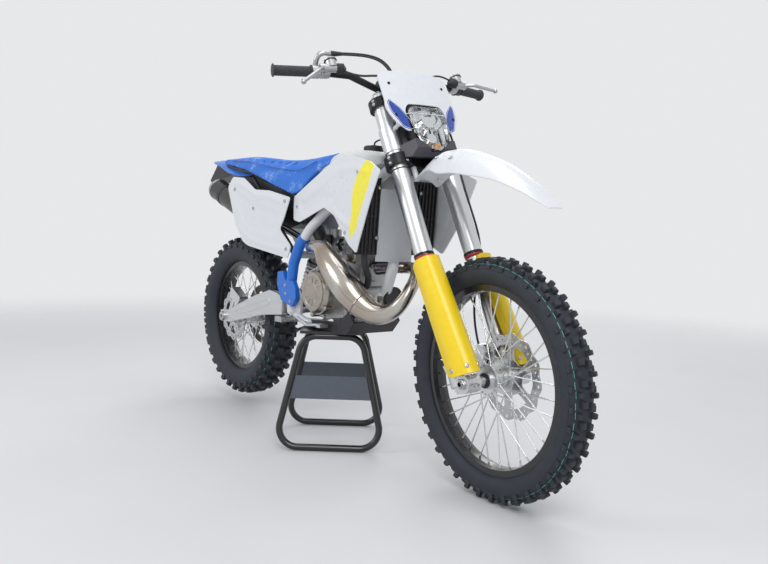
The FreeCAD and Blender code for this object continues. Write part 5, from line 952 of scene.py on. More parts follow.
def chain_piece():
    pitch = TURN * REAR_PITCH_R / REAR_TEETH
    count = 2 * round(chain_course(2)[1] / pitch / 2)
    pins = chain_course(count)[0]
    half = pitch / 2

    def side_plate(y, wall):
        loop = []
        for centre_x, start in ((half, -90), (-half, 90)):
            for k in range(7):
                angle = math.radians(start + 30 * k)
                loop.append(vec(centre_x + 6.4 * math.cos(angle), 6.4 * math.sin(angle)))
        loop = [vec(p.x, p.y * (0.78 if abs(p.x) < half else 1.0)) for p in loop]
        return closed_grid([upright(loop, y - wall / 2), upright(loop, y + wall / 2)])

    outer = both(side_plate(6.4, 1.6), side_plate(-6.4, 1.6))
    inner = both(side_plate(4.6, 1.6), side_plate(-4.6, 1.6))
    places = {0: [], 1: []}
    rollers = []
    for i, pin in enumerate(pins):
        after = pins[(i + 1) % count]
        way = (after - pin).normalized()
        turn = axes_matrix(way, ACROSS, way.cross(ACROSS), vec(0, 0, 0))
        places[i % 2].append(((pin + after) / 2, turn, 1.0))
        rollers.append((pin, turn, 1.0))
    roller = both(lathe([(ROLLER_R, -3.6), (ROLLER_R, 3.6)], sides=10),
                  lathe([(2.4, -7.4), (2.4, 7.4)], sides=8))
    meshes = [copies_at(outer, chain_steel, places[0]), copies_at(inner, chain_steel, places[1]),
              copies_at(roller, bright_steel, rollers)]
    teeth = filled(toothed_loop(FRONT_PITCH_R, FRONT_TEETH), [round_hole(0, 0, 9)], 9.0)
    hub_at = spot(FRONT_SPROCKET_SHARE[0], 0, FRONT_SPROCKET_SHARE[1])
    plate = [vec(hub_at.x + p.x, CHAIN_Y, hub_at.z + p.y) for p in teeth[0]], teeth[1]
    sprocket = Parts()
    sprocket.add(plate, dark_steel, wall=5.0)
    shaft = [(0, 46), (11, 46), (11, 87), (8, 88), (0, 88)]
    sprocket.add(lathe(shaft, centre=(hub_at.x, 0, hub_at.z), sides=24), bright_steel)
    piece("front_sprocket_toothed", sprocket, "chassis", ["front_sprocket"])
    piece("drive_chain", meshes, "chassis", ["chain"])


def build_wheels():
    tyre_piece("front_tyre_tread", FRONT_TYRE, FRONT_WHEEL, "front_wheel", "front_tyre")
    tyre_piece("rear_tyre_tread", REAR_TYRE, REAR_WHEEL, "rear_wheel", "rear_tyre")
    wheel_fittings("front_wheel_fittings", FRONT_WHEEL, "front_wheel", **FRONT_HUB)
    wheel_fittings("rear_wheel_fittings", REAR_WHEEL, "rear_wheel", **REAR_HUB)
    disc_piece("front_brake_disc", FRONT_WHEEL, "front_wheel", "front_disc", **FRONT_DISC)
    disc_piece("rear_brake_disc", REAR_WHEEL, "rear_wheel", "rear_disc", **REAR_DISC)
    rear_sprocket_piece()
    chain_piece()


# Front end, drawn in mm ahead of the steering axis, across and along it
LEG_AHEAD = 22.0
LEG_SIDE = 96.5
LEG_R = 29.5
SCREW = both(lathe([(1.5, 0), (1.5, 0.35), (1.25, 0.62), (0.62, 0.72), (0.58, 0.30)], axis=UP, sides=18),
             lathe([(0.57, 0.0), (0.57, 0.31)], axis=UP, sides=6))


def ring_band(centre, axis, outer_r, inner_r, width, sides=40):
    """A flat ring, its rims broken."""
    lip = min(1.0, width * 0.2)
    half = width / 2
    profile = [(outer_r - lip, -half), (outer_r, lip - half), (outer_r, half - lip), (outer_r - lip, half),
               (inner_r, half), (inner_r, -half)]
    return lathe(profile, centre, axis, sides, ring=True)


GUARD_RING_SHARES = [(-0.55, 1.0), (0.25, 1.15), (1.05, 0.85), (1.35, 0.15), (1.15, -0.50), (0.7, -0.68)]


GUARD_STEPS = 14
GUARD_LOW = (24.0, 26.25, 1.2)        # height, place ahead and scale at the foot
GUARD_HIGH = (388.0, 0.0, 1.0)
GUARD_R = 38


def guard_piece():
    """Yellow shells over the fork feet, with a raised edge and screws."""
    meshes = Parts(STEER)
    screws = []
    for side in (1, -1):
        rows = []
        for k in range(GUARD_STEPS + 1):
            t = k / GUARD_STEPS
            height, ahead, scale = [a + (b - a) * t for a, b in zip(GUARD_LOW, GUARD_HIGH)]
            outer = []
            for n_share, y_share in GUARD_RING_SHARES:
                outer.append(vec(LEG_AHEAD + ahead + GUARD_R * scale * n_share,
                                 side * (LEG_SIDE + GUARD_R * y_share), 0))
            outer = smooth_line(outer, 6)
            centre = vec(LEG_AHEAD + ahead, side * LEG_SIDE, 0)
            inner = [p + (centre - p).normalized() * 3.5 for p in outer]
            last = len(outer) - 1
            rise = []
            for i in range(len(outer)):
                share = i / last
                edge = abs(2 * share - 1) ** 6
                if k == 0:
                    rise.append(10 * edge - 4 * math.sin(math.pi * share))
                elif k == GUARD_STEPS:
                    rise.append(-14 * edge)
                else:
                    rise.append(0.0)
            front = [vec(p.x, p.y, height + r) for p, r in zip(outer, rise)]
            back = [vec(p.x, p.y, height + r) for p, r in zip(inner, rise)]
            rows.append(front + back[::-1])
            if k == 1:
                for i in (5, 14, 23):
                    out = (outer[i] - centre).normalized()
                    screws.append((vec(outer[i].x, outer[i].y, height - 8), out, 4.6))
        meshes.add(closed_grid(rows), yellow_plastic, sharp=50)
        at = vec(LEG_AHEAD + 5, side * LEG_SIDE, 52)
        meshes.add(sweep([at + ACROSS * side * 27, at + ACROSS * side * 36], 8), yellow_plastic)
    meshes.add_copies(SCREW, bright_steel, screws)
    piece("fork_guard_shells", meshes, "steering", ["fork_guards"], lip=0.8)


def leg_details_piece():
    """Wiper rings, axle nuts and foot bolts, caps with adjusters, and the clamps' pinch bolts."""
    meshes = Parts(STEER)
    bolts = []
    for side in (1, -1):
        leg = vec(LEG_AHEAD, side * LEG_SIDE, 0)
        meshes.add(ring_band(leg + UP * 396.5, UP, 30.2, 24.3, 7), red_rubber)
        meshes.add(ring_band(leg + UP * 405, UP, 31.2, 29.6, 9), clamp_black)
        meshes.add(ring_band(leg + UP * 690, UP, 30.3, 29.5, 5), soft_rubber)
        cap = [(21.5, 964), (21.5, 966.5), (19.0, 968), (0, 968)]
        meshes.add(lathe(cap, leg, UP, 36), clamp_black)
        meshes.add(lathe([(13.5, 968), (13.5, 973.2), (12, 974), (0, 974)], leg, UP, 6), bright_steel)
        knob_dress = red_rubber if side > 0 else bright_steel
        meshes.add(lathe([(6.5, 974), (6.5, 978.5), (5.5, 979.5), (0, 979.5)], leg, UP, 20), knob_dress)
        for low, heights in ((913, (921, 933)), (703, (710, 729))):
            for height in heights:
                bolts.append((leg + vec(12, side * 39, height), vec(0.25, side, 0), 4.2))
                bolts.append((leg + vec(40.5, -side * 8, height), AHEAD, 4.0))
        foot = vec(57, side * (LEG_SIDE + 23.6), 0)
        nut = [(16.5, -1), (16.5, 5), (15, 7), (11.5, 7.4)]
        meshes.add(lathe([(r, y * side) for r, y in nut + [(11.5, -1)]], foot, ACROSS, 6 if side < 0 else 32,
                         ring=True), bright_steel)
        for height in (14, -14):
            bolts.append((vec(57 + 30, side * (LEG_SIDE - 6), height), AHEAD, 4.2))
            bolts.append((vec(57 + 30, side * (LEG_SIDE + 8), height), AHEAD, 4.2))
    for side in (1, -1):
        post = vec(8, side * 42, 1000)
        for a in (-1, 1):
            bolts.append((post + vec(a * 10, 0, 15.8), UP, 3.8))
    meshes.add(lathe([(15, 953), (15, 965), (13, 967), (8, 967), (8, 960)], (0, 0, 0), UP, 6), bright_steel)
    meshes.add_copies(BOLT, bright_steel, bolts)
    piece("fork_fittings", meshes, "steering")


MASK_OUTLINE_SHARES = [(0.40, 1.01), (0.80, 1.0), (0.97, 0.93), (0.965, 0.51), (1.0, 0.40), (0.92, 0.23),
                       (0.77, 0.095), (0.62, 0.0), (0.47, 0.01)]
LAMP_OUTLINE_SHARES = [(0.80, 1.0), (0.99, 0.86), (0.95, 0.38), (0.80, 0.18), (0.25, 0.0)]
CORNER_MARK = [(121, 904), (92, 872), (66, 826), (62, 793), (72, 788), (100, 800), (126, 858), (130, 892)]


MASK_HALF = 140
MASK_LOW = 787
MASK_HEIGHT = 221
LAMP_HALF = 74
LAMP_MIDDLE = 799.5


def whole_outline(shares, half, low, height):
    left = [vec(half * y, low + height * a) for y, a in shares]
    return left + [vec(-p.x, p.y) for p in reversed(left)]


def mask_surface(stand_off):
    def surface(y, a):
        rise = ((a - MASK_LOW) / MASK_HEIGHT + 0.05) / 1.1
        return vec(106 - 16 * (y / 147) ** 2 - 8 * rise + stand_off, y, a)
    return surface


def grown(loop, amount):
    """A loop moved outward from its middle."""
    middle = sum(loop, vec(0, 0)) / len(loop)
    return [p + (p - middle).normalized() * amount for p in loop]


def mask_piece():
    outline = rounded_loop(whole_outline(MASK_OUTLINE_SHARES, MASK_HALF, MASK_LOW, MASK_HEIGHT), 22, 6)
    window = rounded_loop(whole_outline(LAMP_OUTLINE_SHARES, 79, 709, 176), 12, 5)
    marks = []
    for side in (1, -1):
        loop = [vec(side * y, a) for y, a in CORNER_MARK]
        marks.append((rounded_loop(loop, 8), navy_film))
    meshes = Parts(STEER)
    meshes.append(marked_sheet(outline, marks, mask_surface(4.0), mask_surface(0.0), white_plastic, STEER,
                               [window], 11.0))
    lines = []
    for loop, _ in marks:
        inner = grown(loop, -4.5)
        path = [mask_surface(4.1)(p.x, p.y) for p in inner]
        lines.append(sweep(path, 0.8, 6, closed=True))
    meshes.add(both(*lines), white_plastic)
    rim = [mask_surface(3.4)(p.x, p.y) for p in grown(window, 1.5) if p.y > 800]
    meshes.add(sweep(rim, 2.2, 8), white_plastic)
    screws = []
    for side in (1, -1):
        for y, a in ((104, 962), (112, 846)):
            screws.append((mask_surface(4.0)(side * y, a), vec(1, side * 0.15, 0), 3.4))
        band = vec(LEG_AHEAD, side * LEG_SIDE, 824)
        start = vec(LEG_AHEAD + LEG_R + 1, side * LEG_SIDE, 824)
        meshes.add(sweep([start, vec(96, side * LEG_SIDE, 824)], 7), white_plastic)
        meshes.add(ring_band(band, UP, 32.5, 29.6, 16), soft_rubber)
    meshes.add_copies(SCREW, clamp_black, screws)
    piece("number_mask", meshes, "steering", ["headlight_mask"], lip=0.7)


def lamp_rows(stations):
    rows = []
    for n, scale in stations:
        outline = whole_outline(LAMP_OUTLINE_SHARES, LAMP_HALF * scale, LAMP_MIDDLE - 80.5 * scale, 161 * scale)
        loop = rounded_loop(outline, 16 * scale, 5)
        rows.append([vec(n, p.x, p.y) for p in loop])
    return rows


def lamp_piece():
    """Lamp: dark bowl, chrome reflectors with their bulbs and facets, and a clear domed lens."""
    bowl = lamp_rows([(44, 0.78), (72, 1.0), (104, 1.0), (104, 0.955), (74, 0.93), (52, 0.70)])
    meshes = Parts(STEER)
    meshes.add(closed_grid(bowl), clamp_black)
    chrome = lamp_rows([(102, 0.95), (80, 0.90), (60, 0.66), (56, 0.40)])
    meshes.add(grid(chrome, closed=True), mirror_chrome, sharp=20)
    plate = lamp_rows([(56, 0.42), (54, 0.42)])
    meshes.add(closed_grid(plate), mirror_chrome)
    facets = []
    for i in range(-4, 5):
        y = i * 13.0
        reach = 1 - abs(i) / 6
        facets.append(block((60 + 1.4 * abs(i), y - 1.0, 760), (66 + 2.2 * abs(i), y + 1.0, 800 + 52 * reach)))
    meshes.add(both(*facets), mirror_chrome)
    for height, size in ((826, 21.0), (768, 15.0)):
        cup = [(size, 96), (size * 0.96, 84), (size * 0.6, 70), (size * 0.3, 66), (0, 66)]
        meshes.add(lathe(cup, (0, 0, height), AHEAD, 40), mirror_chrome, wall=1.2)
        bulb = [(0, 64), (5.0, 66), (5.0, 78), (3.5, 84), (0, 86)]
        meshes.add(lathe(bulb, (0, 0, height), AHEAD, 20), white_plastic)
    amber = [(0, 84), (9, 85), (13, 90), (11, 95), (0, 97)]
    for side in (1, -1):
        meshes.add(lathe(amber, (0, side * 17, 744), AHEAD, 24), lamp_amber)
    lens = []
    for n, scale in ((100, 0.94), (106, 0.945), (113, 0.91), (118, 0.80), (121, 0.55), (122, 0.25)):
        lens.append(lamp_rows([(n, scale)])[0])
    meshes.add(closed_grid(lens), lens_clear, sharp=60)
    piece("lamp", meshes, "steering", ["headlight"])


FENDER_STATION_SHARES = [(0.0, 0.925, 0.76, 0.55), (0.04, 0.935, 0.78, 0.60), (0.12, 0.966, 0.80, 0.70),
                         (0.21, 0.995, 0.90, 0.80), (0.30, 1.0, 1.0, 0.85), (0.42, 0.994, 1.0, 0.80),
                         (0.56, 0.972, 0.98, 0.70), (0.70, 0.942, 0.90, 0.58), (0.85, 0.893, 0.74, 0.42),
                         (0.95, 0.851, 0.52, 0.26), (1.0, 0.830, 0.30, 0.18)]
FENDER_LENGTH = 572
FENDER_TOP = 1018
FENDER_HALF = 76
FENDER_STEPS = 14
FENDER_START = FRONT_AXLE.x / MM + 222 - FENDER_LENGTH
STRAIGHT_AHEAD = STEERED @ WORLD


def fender_piece():
    """Arched blade with a raised middle, its two posts and its screws."""
    coarse = smooth_line([vec(a, h, w) for a, h, w, _ in FENDER_STATION_SHARES], 4)
    drops = smooth_line([vec(a, d, 0) for a, _, _, d in FENDER_STATION_SHARES], 4)
    outer = []
    inner = []
    across = [k / FENDER_STEPS - 1 for k in range(2 * FENDER_STEPS + 1)]
    for station, drop in zip(coarse, drops):
        half = FENDER_HALF * station.z
        top = []
        under = []
        for y in across:
            fall = 80 * drop.y * abs(y) ** 2.4 * station.z ** 2.4
            swell = math.sin(math.pi * min(1, station.x * 1.08)) ** 0.5
            crease = 3.0 * max(0.0, 1 - abs(y) / 0.42) ** 0.5 * swell
            x = FENDER_START + FENDER_LENGTH * station.x
            z = FENDER_TOP * station.y - fall
            top.append(vec(x, half * y, z + crease - 3.0))
            under.append(vec(x, half * y * 0.985, z + crease - 6.5))
        outer.append(top)
        inner.append(under)
    rings = [top + under[::-1] for top, under in zip(outer, inner)]
    meshes = Parts(STRAIGHT_AHEAD)
    meshes.add(closed_grid(rings), white_plastic, sharp=60)
    for side in (1, -1):
        top = vec(28, side * 46, 703)
        meshes.add(sweep([top, top - UP * 46], 9), white_plastic, STEER)
    bolts = []
    for x, y in ((0.235, 0.62), (0.235, -0.62), (0.36, 0.62), (0.36, -0.62)):
        row = min(outer, key=lambda row: abs(row[FENDER_STEPS].x - FENDER_START - FENDER_LENGTH * x))
        at = row[round((y + 1) * FENDER_STEPS)]
        bolts.append((at + UP * 0.5, vec(0, y * 0.9, 1), 5.0))
    meshes.add_copies(SCREW, bright_steel, bolts)
    piece("front_fender_blade", meshes, "steering", ["front_fender"], lip=0.9)


# Body panels, drawn over a side view in mm
SHROUD_OUTLINE_SHARES = [(0.368, 0.887), (0.612, 1.021), (0.747, 0.980), (0.794, 0.948), (0.738, 0.782),
                         (0.703, 0.695), (0.668, 0.723), (0.602, 0.815), (0.546, 0.843), (0.407, 0.793),
                         (0.371, 0.801)]
STRIPE_SHARES = [(0.731, 0.990), (0.772, 0.975), (0.748, 0.891), (0.724, 0.821), (0.707, 0.765), (0.676, 0.738),
                 (0.683, 0.816), (0.684, 0.892), (0.694, 0.930)]
PANEL_OUTLINE_SHARES = [(0.046, 0.980), (0.018, 0.938), (0.073, 0.782), (0.120, 0.711), (0.151, 0.695),
                        (0.363, 0.657), (0.379, 0.703), (0.322, 0.765), (0.342, 0.804), (0.369, 0.884),
                        (0.261, 0.914), (0.182, 0.921), (0.112, 0.972)]


SHEET_WALL = 4.0
# How far out a sheet stands at its rear and at its front, and how much it bows
SHROUD_REACH = (118, 222, 12)
PANEL_REACH = (127, 136, 4)


def side_loop(shares):
    """Shares of the wheelbase and of a metre as a flat loop of the side view in mm."""
    return [vec(spot(x, 0, z).x, z * 1000) for x, z in shares]


def side_surface(shares, rear_y, front_y, crown, side, stand_off, relief=None):
    """The bowed side sheet's surface over (x, z), standing off outward."""
    loop = side_loop(shares)
    xs, zs = [p.x for p in loop], [p.y for p in loop]
    x_low, x_span = min(xs), max(xs) - min(xs)
    z_low, z_span = min(zs), max(zs) - min(zs)

    def surface(x, z):
        u = ((x - x_low) / x_span + 0.02) / 1.04
        v = ((z - z_low) / z_span + 0.02) / 1.04
        reach = rear_y + (front_y - rear_y) * u - crown * (2 * v - 1) ** 2 - crown * v
        lift = relief(x, z) if relief else 0.0
        return vec(x, side * (reach + stand_off + lift), z)
    return surface


def distance_to_run(point, start, end):
    along = end - start
    share = max(0.0, min(1.0, (point - start).dot(along) / along.length_squared))
    return (point - start - along * share).length


def raised_run(points, height, reach):
    """A soft ridge along a line on the side view."""
    runs = list(zip(points, points[1:]))

    def relief(x, z):
        near = min(distance_to_run(vec(x, z), a, b) for a, b in runs)
        return height * max(0.0, 1 - near / reach) ** 2
    return relief


def summed(*reliefs):
    return lambda x, z: sum(relief(x, z) for relief in reliefs)


def stepped_down(loop, depth, reach):
    """Sinks what lies inside a loop, its border a short slope."""
    def relief(x, z):
        point = vec(x, z)
        if not is_inside(point, loop):
            return 0.0
        near = min(distance_to_run(point, a, b) for a, b in zip(loop, loop[1:] + loop[:1]))
        return -depth * min(1.0, near / reach)
    return relief


def side_sheet(meshes, screws, side, shares, outline, marks, reach, relief, spacing, screw_spots, screw_size):
    """Add one side's bowed sheet and the places of its screws, and return its outer surface."""
    outer, inner = [side_surface(shares, *reach, side, stand_off, relief) for stand_off in (0.0, -SHEET_WALL)]
    meshes.append(marked_sheet(outline, marks, outer, inner, white_plastic, spacing=spacing))
    for x, z in screw_spots:
        screws.append((outer(spot(x, 0, z).x, z * 1000), ACROSS * side, screw_size))
    return outer


def shroud_pieces():
    """White shrouds with a yellow stripe, pressed creases and a dimple."""
    outline = rounded_loop(side_loop(SHROUD_OUTLINE_SHARES), 10, 5)
    stripe = side_loop(STRIPE_SHARES)
    dimple = side_loop([(0.612, 0.944), (0.640, 0.940), (0.628, 0.920)])
    fold = side_loop([(0.600, 0.826), (0.629, 0.807), (0.652, 0.792), (0.673, 0.784)])
    upper = side_loop([(0.430, 0.872), (0.520, 0.915), (0.612, 0.968), (0.690, 0.965), (0.742, 0.944)])
    front = side_loop([(0.762, 0.950), (0.735, 0.868), (0.712, 0.790), (0.690, 0.722)])
    hollow = side_loop([(0.395, 0.868), (0.470, 0.905), (0.560, 0.905), (0.610, 0.872), (0.560, 0.852),
                        (0.420, 0.808)])
    relief = summed(raised_run(fold, 5.0, 26), raised_run(upper, 3.5, 22), raised_run(front, 3.0, 16),
                    stepped_down(rounded_loop(dimple, 8), 3.0, 6),
                    stepped_down(rounded_loop(hollow, 30), 3.0, 22))
    meshes = Parts()
    screws = []
    for side in (-1, 1):
        marks = [(stripe, yellow_film), (rounded_loop(dimple, 8), white_plastic)]
        outer = side_sheet(meshes, screws, side, SHROUD_OUTLINE_SHARES, outline, marks, SHROUD_REACH, relief,
                           9.0, ((0.392, 0.850), (0.655, 0.760), (0.700, 0.952)), 4.4)
        boss_x = spot(0.671, 0, 0).x
        at = outer(boss_x, 860)
        meshes.add(sweep([vec(boss_x, side * 172, 860), at - ACROSS * side * 3], 8), black_plastic)
    meshes.add_copies(SCREW, bright_steel, screws)
    piece("shroud_sheets", meshes, "chassis", ["shrouds"], lip=0.8)


def panel_pieces():
    """Rear side panels with raised edges, a stepped field and screws."""
    outline = rounded_loop(side_loop(PANEL_OUTLINE_SHARES), 14, 5)
    crest = side_loop([(0.060, 0.958), (0.120, 0.938), (0.190, 0.896), (0.262, 0.890), (0.345, 0.862)])
    lower = side_loop([(0.100, 0.765), (0.160, 0.722), (0.250, 0.702), (0.345, 0.688)])
    step = side_loop([(0.055, 0.930), (0.090, 0.830), (0.140, 0.760), (0.300, 0.735), (0.330, 0.830),
                      (0.200, 0.868)])
    relief = summed(raised_run(crest, 4.0, 20), raised_run(lower, 3.0, 18),
                    stepped_down(rounded_loop(step, 30), 2.4, 18))
    meshes = Parts()
    screws = []
    for side in (-1, 1):
        side_sheet(meshes, screws, side, PANEL_OUTLINE_SHARES, outline, [], PANEL_REACH, relief, 10.0,
                   ((0.063, 0.927), (0.176, 0.846), (0.357, 0.692), (0.346, 0.870)), 5.0)
    meshes.add_copies(SCREW, bright_steel, screws)
    piece("side_panel_sheets", meshes, "chassis", ["side_panels"], lip=0.8)


REAR_FENDER_SHARES = [(-0.172, 0.56, 1.078, 1.066), (-0.100, 0.68, 1.070, 1.040), (-0.030, 0.80, 1.050, 1.008),
                      (0.050, 0.90, 1.023, 0.988), (0.110, 0.92, 0.998, 0.985)]


def rear_fender_piece():
    """Blue tail, arched across, with two soft ridges along it."""
    stations = smooth_line([vec(x, half, crest) for x, half, crest, _ in REAR_FENDER_SHARES], 6)
    edges = smooth_line([vec(x, edge, 0) for x, _, _, edge in REAR_FENDER_SHARES], 6)
    rings = []
    for station, edge in zip(stations, edges):
        top, under = [], []
        for k in range(25):
            y = k / 12 - 1
            narrow = 1.0
            if station.x < -0.15:
                narrow = 1 - ((-0.15 - station.x) / 0.022) ** 2 * 0.16
            z = edge.y + (station.z - edge.y) * (1 - abs(y) ** 1.6)
            ridge = 0.0025 * max(0.0, 1 - abs(abs(y) - 0.45) / 0.16)
            top.append(spot(station.x, 110 * station.y * y * narrow, z - 0.0005 - ridge))
            under.append(spot(station.x, 110 * station.y * y * narrow * 0.98, z - 0.0045 - ridge))
        rings.append(top + under[::-1])
    meshes = [mesh_of(closed_grid(rings), blue_plastic, sharp=60)]
    piece("rear_fender_blade", meshes, "chassis", ["rear_fender"], lip=0.8)


def tail_lamp_piece():
    """Small red lamp with its housing at the end of the tail."""
    low, high = spot(-0.1975, -26, 0.990), spot(-0.172, 26, 1.030)
    housing = block(low, high, 0.86, up_axis=0)
    meshes = Parts()
    meshes.add(housing, black_plastic)
    lens = block(spot(-0.1995, -22, 0.996), spot(-0.196, 22, 1.024), 1.0, up_axis=0)
    meshes.add(lens, tail_red)
    bolts = [(spot(-0.120, side * 26, 1.006), ACROSS * side, 4.0) for side in (1, -1)]
    meshes.add_copies(BOLT, bright_steel, bolts)
    piece("tail_lamp", meshes, "chassis", lip=1.5)


SEAT_STATION_SHARES = [(-0.082, 0.56, 0.62, 1.046, 1.072), (0.0, 0.66, 0.76, 1.030, 1.066),
                       (0.099, 0.76, 0.90, 1.003, 1.059), (0.200, 0.80, 1.00, 0.962, 1.040),
                       (0.300, 0.80, 1.00, 0.918, 1.027), (0.368, 0.74, 0.96, 0.900, 1.027),
                       (0.425, 0.60, 0.74, 0.970, 1.036), (0.483, 0.42, 0.50, 1.018, 1.047)]


SEAT_HALF = 110
SEAT_CELL = 0.006
SWELL_FRAMES = 20
SWELL_LIMIT = 0.006
TANK_HALF = 105


def mirrored_ring(x, side, steps):
    """A cross section from the (across, up) points of its left side, smoothed."""
    left = smooth_line([vec(0, y, z * 1000) for y, z in side], steps)
    at = spot(x, 0, 0).x
    return [vec(at, p.y, p.z) for p in left] + [vec(at, -p.y, p.z) for p in reversed(left[1:])]


def seat_ring(x, top, low_half, low, high):
    """The seat's cross section: flat-topped, its sides leaning out to the lower edge."""
    rise = high - low
    side = [(0.0, high + 0.001), (SEAT_HALF * top * 0.55, high), (SEAT_HALF * top, high - 0.22 * rise),
            (SEAT_HALF * (top * 0.42 + low_half * 0.58), low + 0.38 * rise), (SEAT_HALF * low_half, low)]
    return mirrored_ring(x, side, 5)


def seat_shape():
    stations = smooth_line([Vector(s[:3]) for s in SEAT_STATION_SHARES], 5)
    heights = smooth_line([vec(s[0], s[3], s[4]) for s in SEAT_STATION_SHARES], 5)
    return [seat_ring(s.x, s.y, s.z, h.y, h.z) for s, h in zip(stations, heights)]


def seat_pieces():
    """The padded seat: its filling pressed into the cover."""
    obj = placed("seat_cover_and_foam", mesh_of(closed_grid(seat_shape()), seat_cover, sharp=180))
    remesh = obj.modifiers.new("even", "REMESH")
    remesh.mode = "VOXEL"
    remesh.voxel_size = SEAT_CELL
    even = applied(obj)
    obj.modifiers.clear()
    obj.data = even
    even.materials.clear()
    even.materials.append(seat_cover)
    inflate(obj)
    smoother = obj.modifiers.new("smooth", "SUBSURF")
    smoother.levels = smoother.render_levels = 1
    obj.data.shade_smooth()
    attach(obj, "chassis")
    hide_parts("seat")


def inflate(obj):
    """Let the cover swell against its pinned lower edge, then keep the shape it took."""
    mesh = obj.data
    rows = seat_shape()
    pins = obj.vertex_groups.new(name="held")
    middle_x = [row[0].x for row in rows]
    for v in mesh.vertices:
        x = v.co.x / MM
        k = min(range(len(rows)), key=lambda i: abs(middle_x[i] - x))
        low = min(p.z for p in rows[k])
        high = max(p.z for p in rows[k])
        share = (v.co.z / MM - low) / max(1.0, high - low)
        hold = 1.0 if share < 0.22 or k < 2 or k > len(rows) - 3 else max(0.0, 0.55 - share)
        pins.add([v.index], hold, "REPLACE")
    start = [v.co.copy() for v in mesh.vertices]
    cloth = obj.modifiers.new("cloth", "CLOTH")
    values = {"quality": 4, "mass": 0.25, "tension_stiffness": 25, "compression_stiffness": 25,
              "shear_stiffness": 12, "bending_stiffness": 2.0, "use_pressure": True,
              "uniform_pressure_force": 4.0, "vertex_group_mass": "held"}
    for name, value in values.items():
        setattr(cloth.settings, name, value)
    cloth.settings.effector_weights.gravity = 0.0
    scene = bpy.context.scene
    cloth.point_cache.frame_start = 1
    cloth.point_cache.frame_end = SWELL_FRAMES
    for frame_number in range(1, SWELL_FRAMES + 1):
        scene.frame_set(frame_number)
    depsgraph = bpy.context.evaluated_depsgraph_get()
    grown_mesh = obj.evaluated_get(depsgraph).to_mesh()
    ends = [v.co.copy() for v in grown_mesh.vertices]
    obj.evaluated_get(depsgraph).to_mesh_clear()
    obj.modifiers.remove(cloth)
    scene.frame_set(1)
    for v, before, after in zip(mesh.vertices, start, ends):
        move = after - before
        if move.length > SWELL_LIMIT:
            move = move.normalized() * SWELL_LIMIT
        v.co = before + move


def seat_trim_piece():
    """Piping along the seat's shoulders and the ribs of the gripping cover across its top."""
    rows = seat_shape()
    lines = []
    for side in (1, -1):
        path = []
        for row in rows[4:-5]:
            k = 11
            p = row[k] if side > 0 else row[len(row) - k]
            path.append(p + vec(0, side * 1.2, 0.6))
        lines.append(sweep(smooth_line(path, 2), 1.6, 8))
    meshes = Parts()
    meshes.add(both(*lines), navy_film)
    ribs = []
    for i in range(9, len(rows) - 14):
        row = rows[i]
        path = [row[k] + UP * 0.6 for k in range(-8, 9, 2)]
        if i % 2:
            ribs.append(sweep(smooth_line(path, 3), 1.5, 6))
    meshes.add(both(*ribs), seat_cover)
    piece("seat_trim", meshes, "chassis")


TANK_STATION_SHARES = [(0.372, 0.50, 0.888, 0.990), (0.425, 0.62, 0.880, 1.012), (0.483, 0.80, 0.885, 1.012),
                       (0.500, 0.90, 0.890, 1.040), (0.560, 1.0, 0.922, 1.046), (0.632, 0.92, 0.968, 1.036),
                       (0.668, 0.54, 0.990, 1.018)]


def tank_pieces():
    """Tank between the shrouds, its filler cap ribbed and vented."""
    rows = []
    stations = smooth_line([vec(x, y, 0) for x, y, _, _ in TANK_STATION_SHARES], 3)
    heights = smooth_line([vec(x, low, high) for x, _, low, high in TANK_STATION_SHARES], 3)
    for s, h in zip(stations, heights):
        half = TANK_HALF * s.y
        rise = h.z - h.y
        side = [(0, h.z), (half * 0.50, h.z - rise * 0.01), (half * 0.86, h.z - rise * 0.14),
                (half * 0.96, h.z - rise * 0.42), (half * 0.99, h.y)]
        rows.append(mirrored_ring(s.x, side, 4))
    meshes = [mesh_of(closed_grid(rows), tank_plastic, sharp=70)]
    piece("tank_shell", meshes, "chassis", ["fuel_tank"], lip=2.0)
    neck = spot(0.592, 0, 1.036)
    cap = [(35.5, 0), (35.5, 20), (33, 24), (12, 25.5), (11, 27.5), (7, 28.5), (0, 28.5)]
    cap_meshes = Parts()
    cap_meshes.add(lathe(cap, neck, UP, 60), black_plastic)
    rib = block((34.5, -2.0, 2), (36.4, 2.0, 20))
    place = in_mm(Matrix.Translation(neck * MM))
    cap_meshes.append(copies_around(rib, black_plastic, 24, UP, place))
    vent = [neck + vec(0, 0, 28), neck + vec(6, 0, 38), neck + vec(30, 4, 44), neck + vec(62, 10, 30),
            neck + vec(96, 12, 10), neck + vec(110, 10, -20)]
    cap_meshes.add(sweep(smooth_line(vent, 6), 3.0, 10), soft_rubber)
    piece("filler_cap_details", cap_meshes, "chassis", ["tank_cap"], lip=0.6)


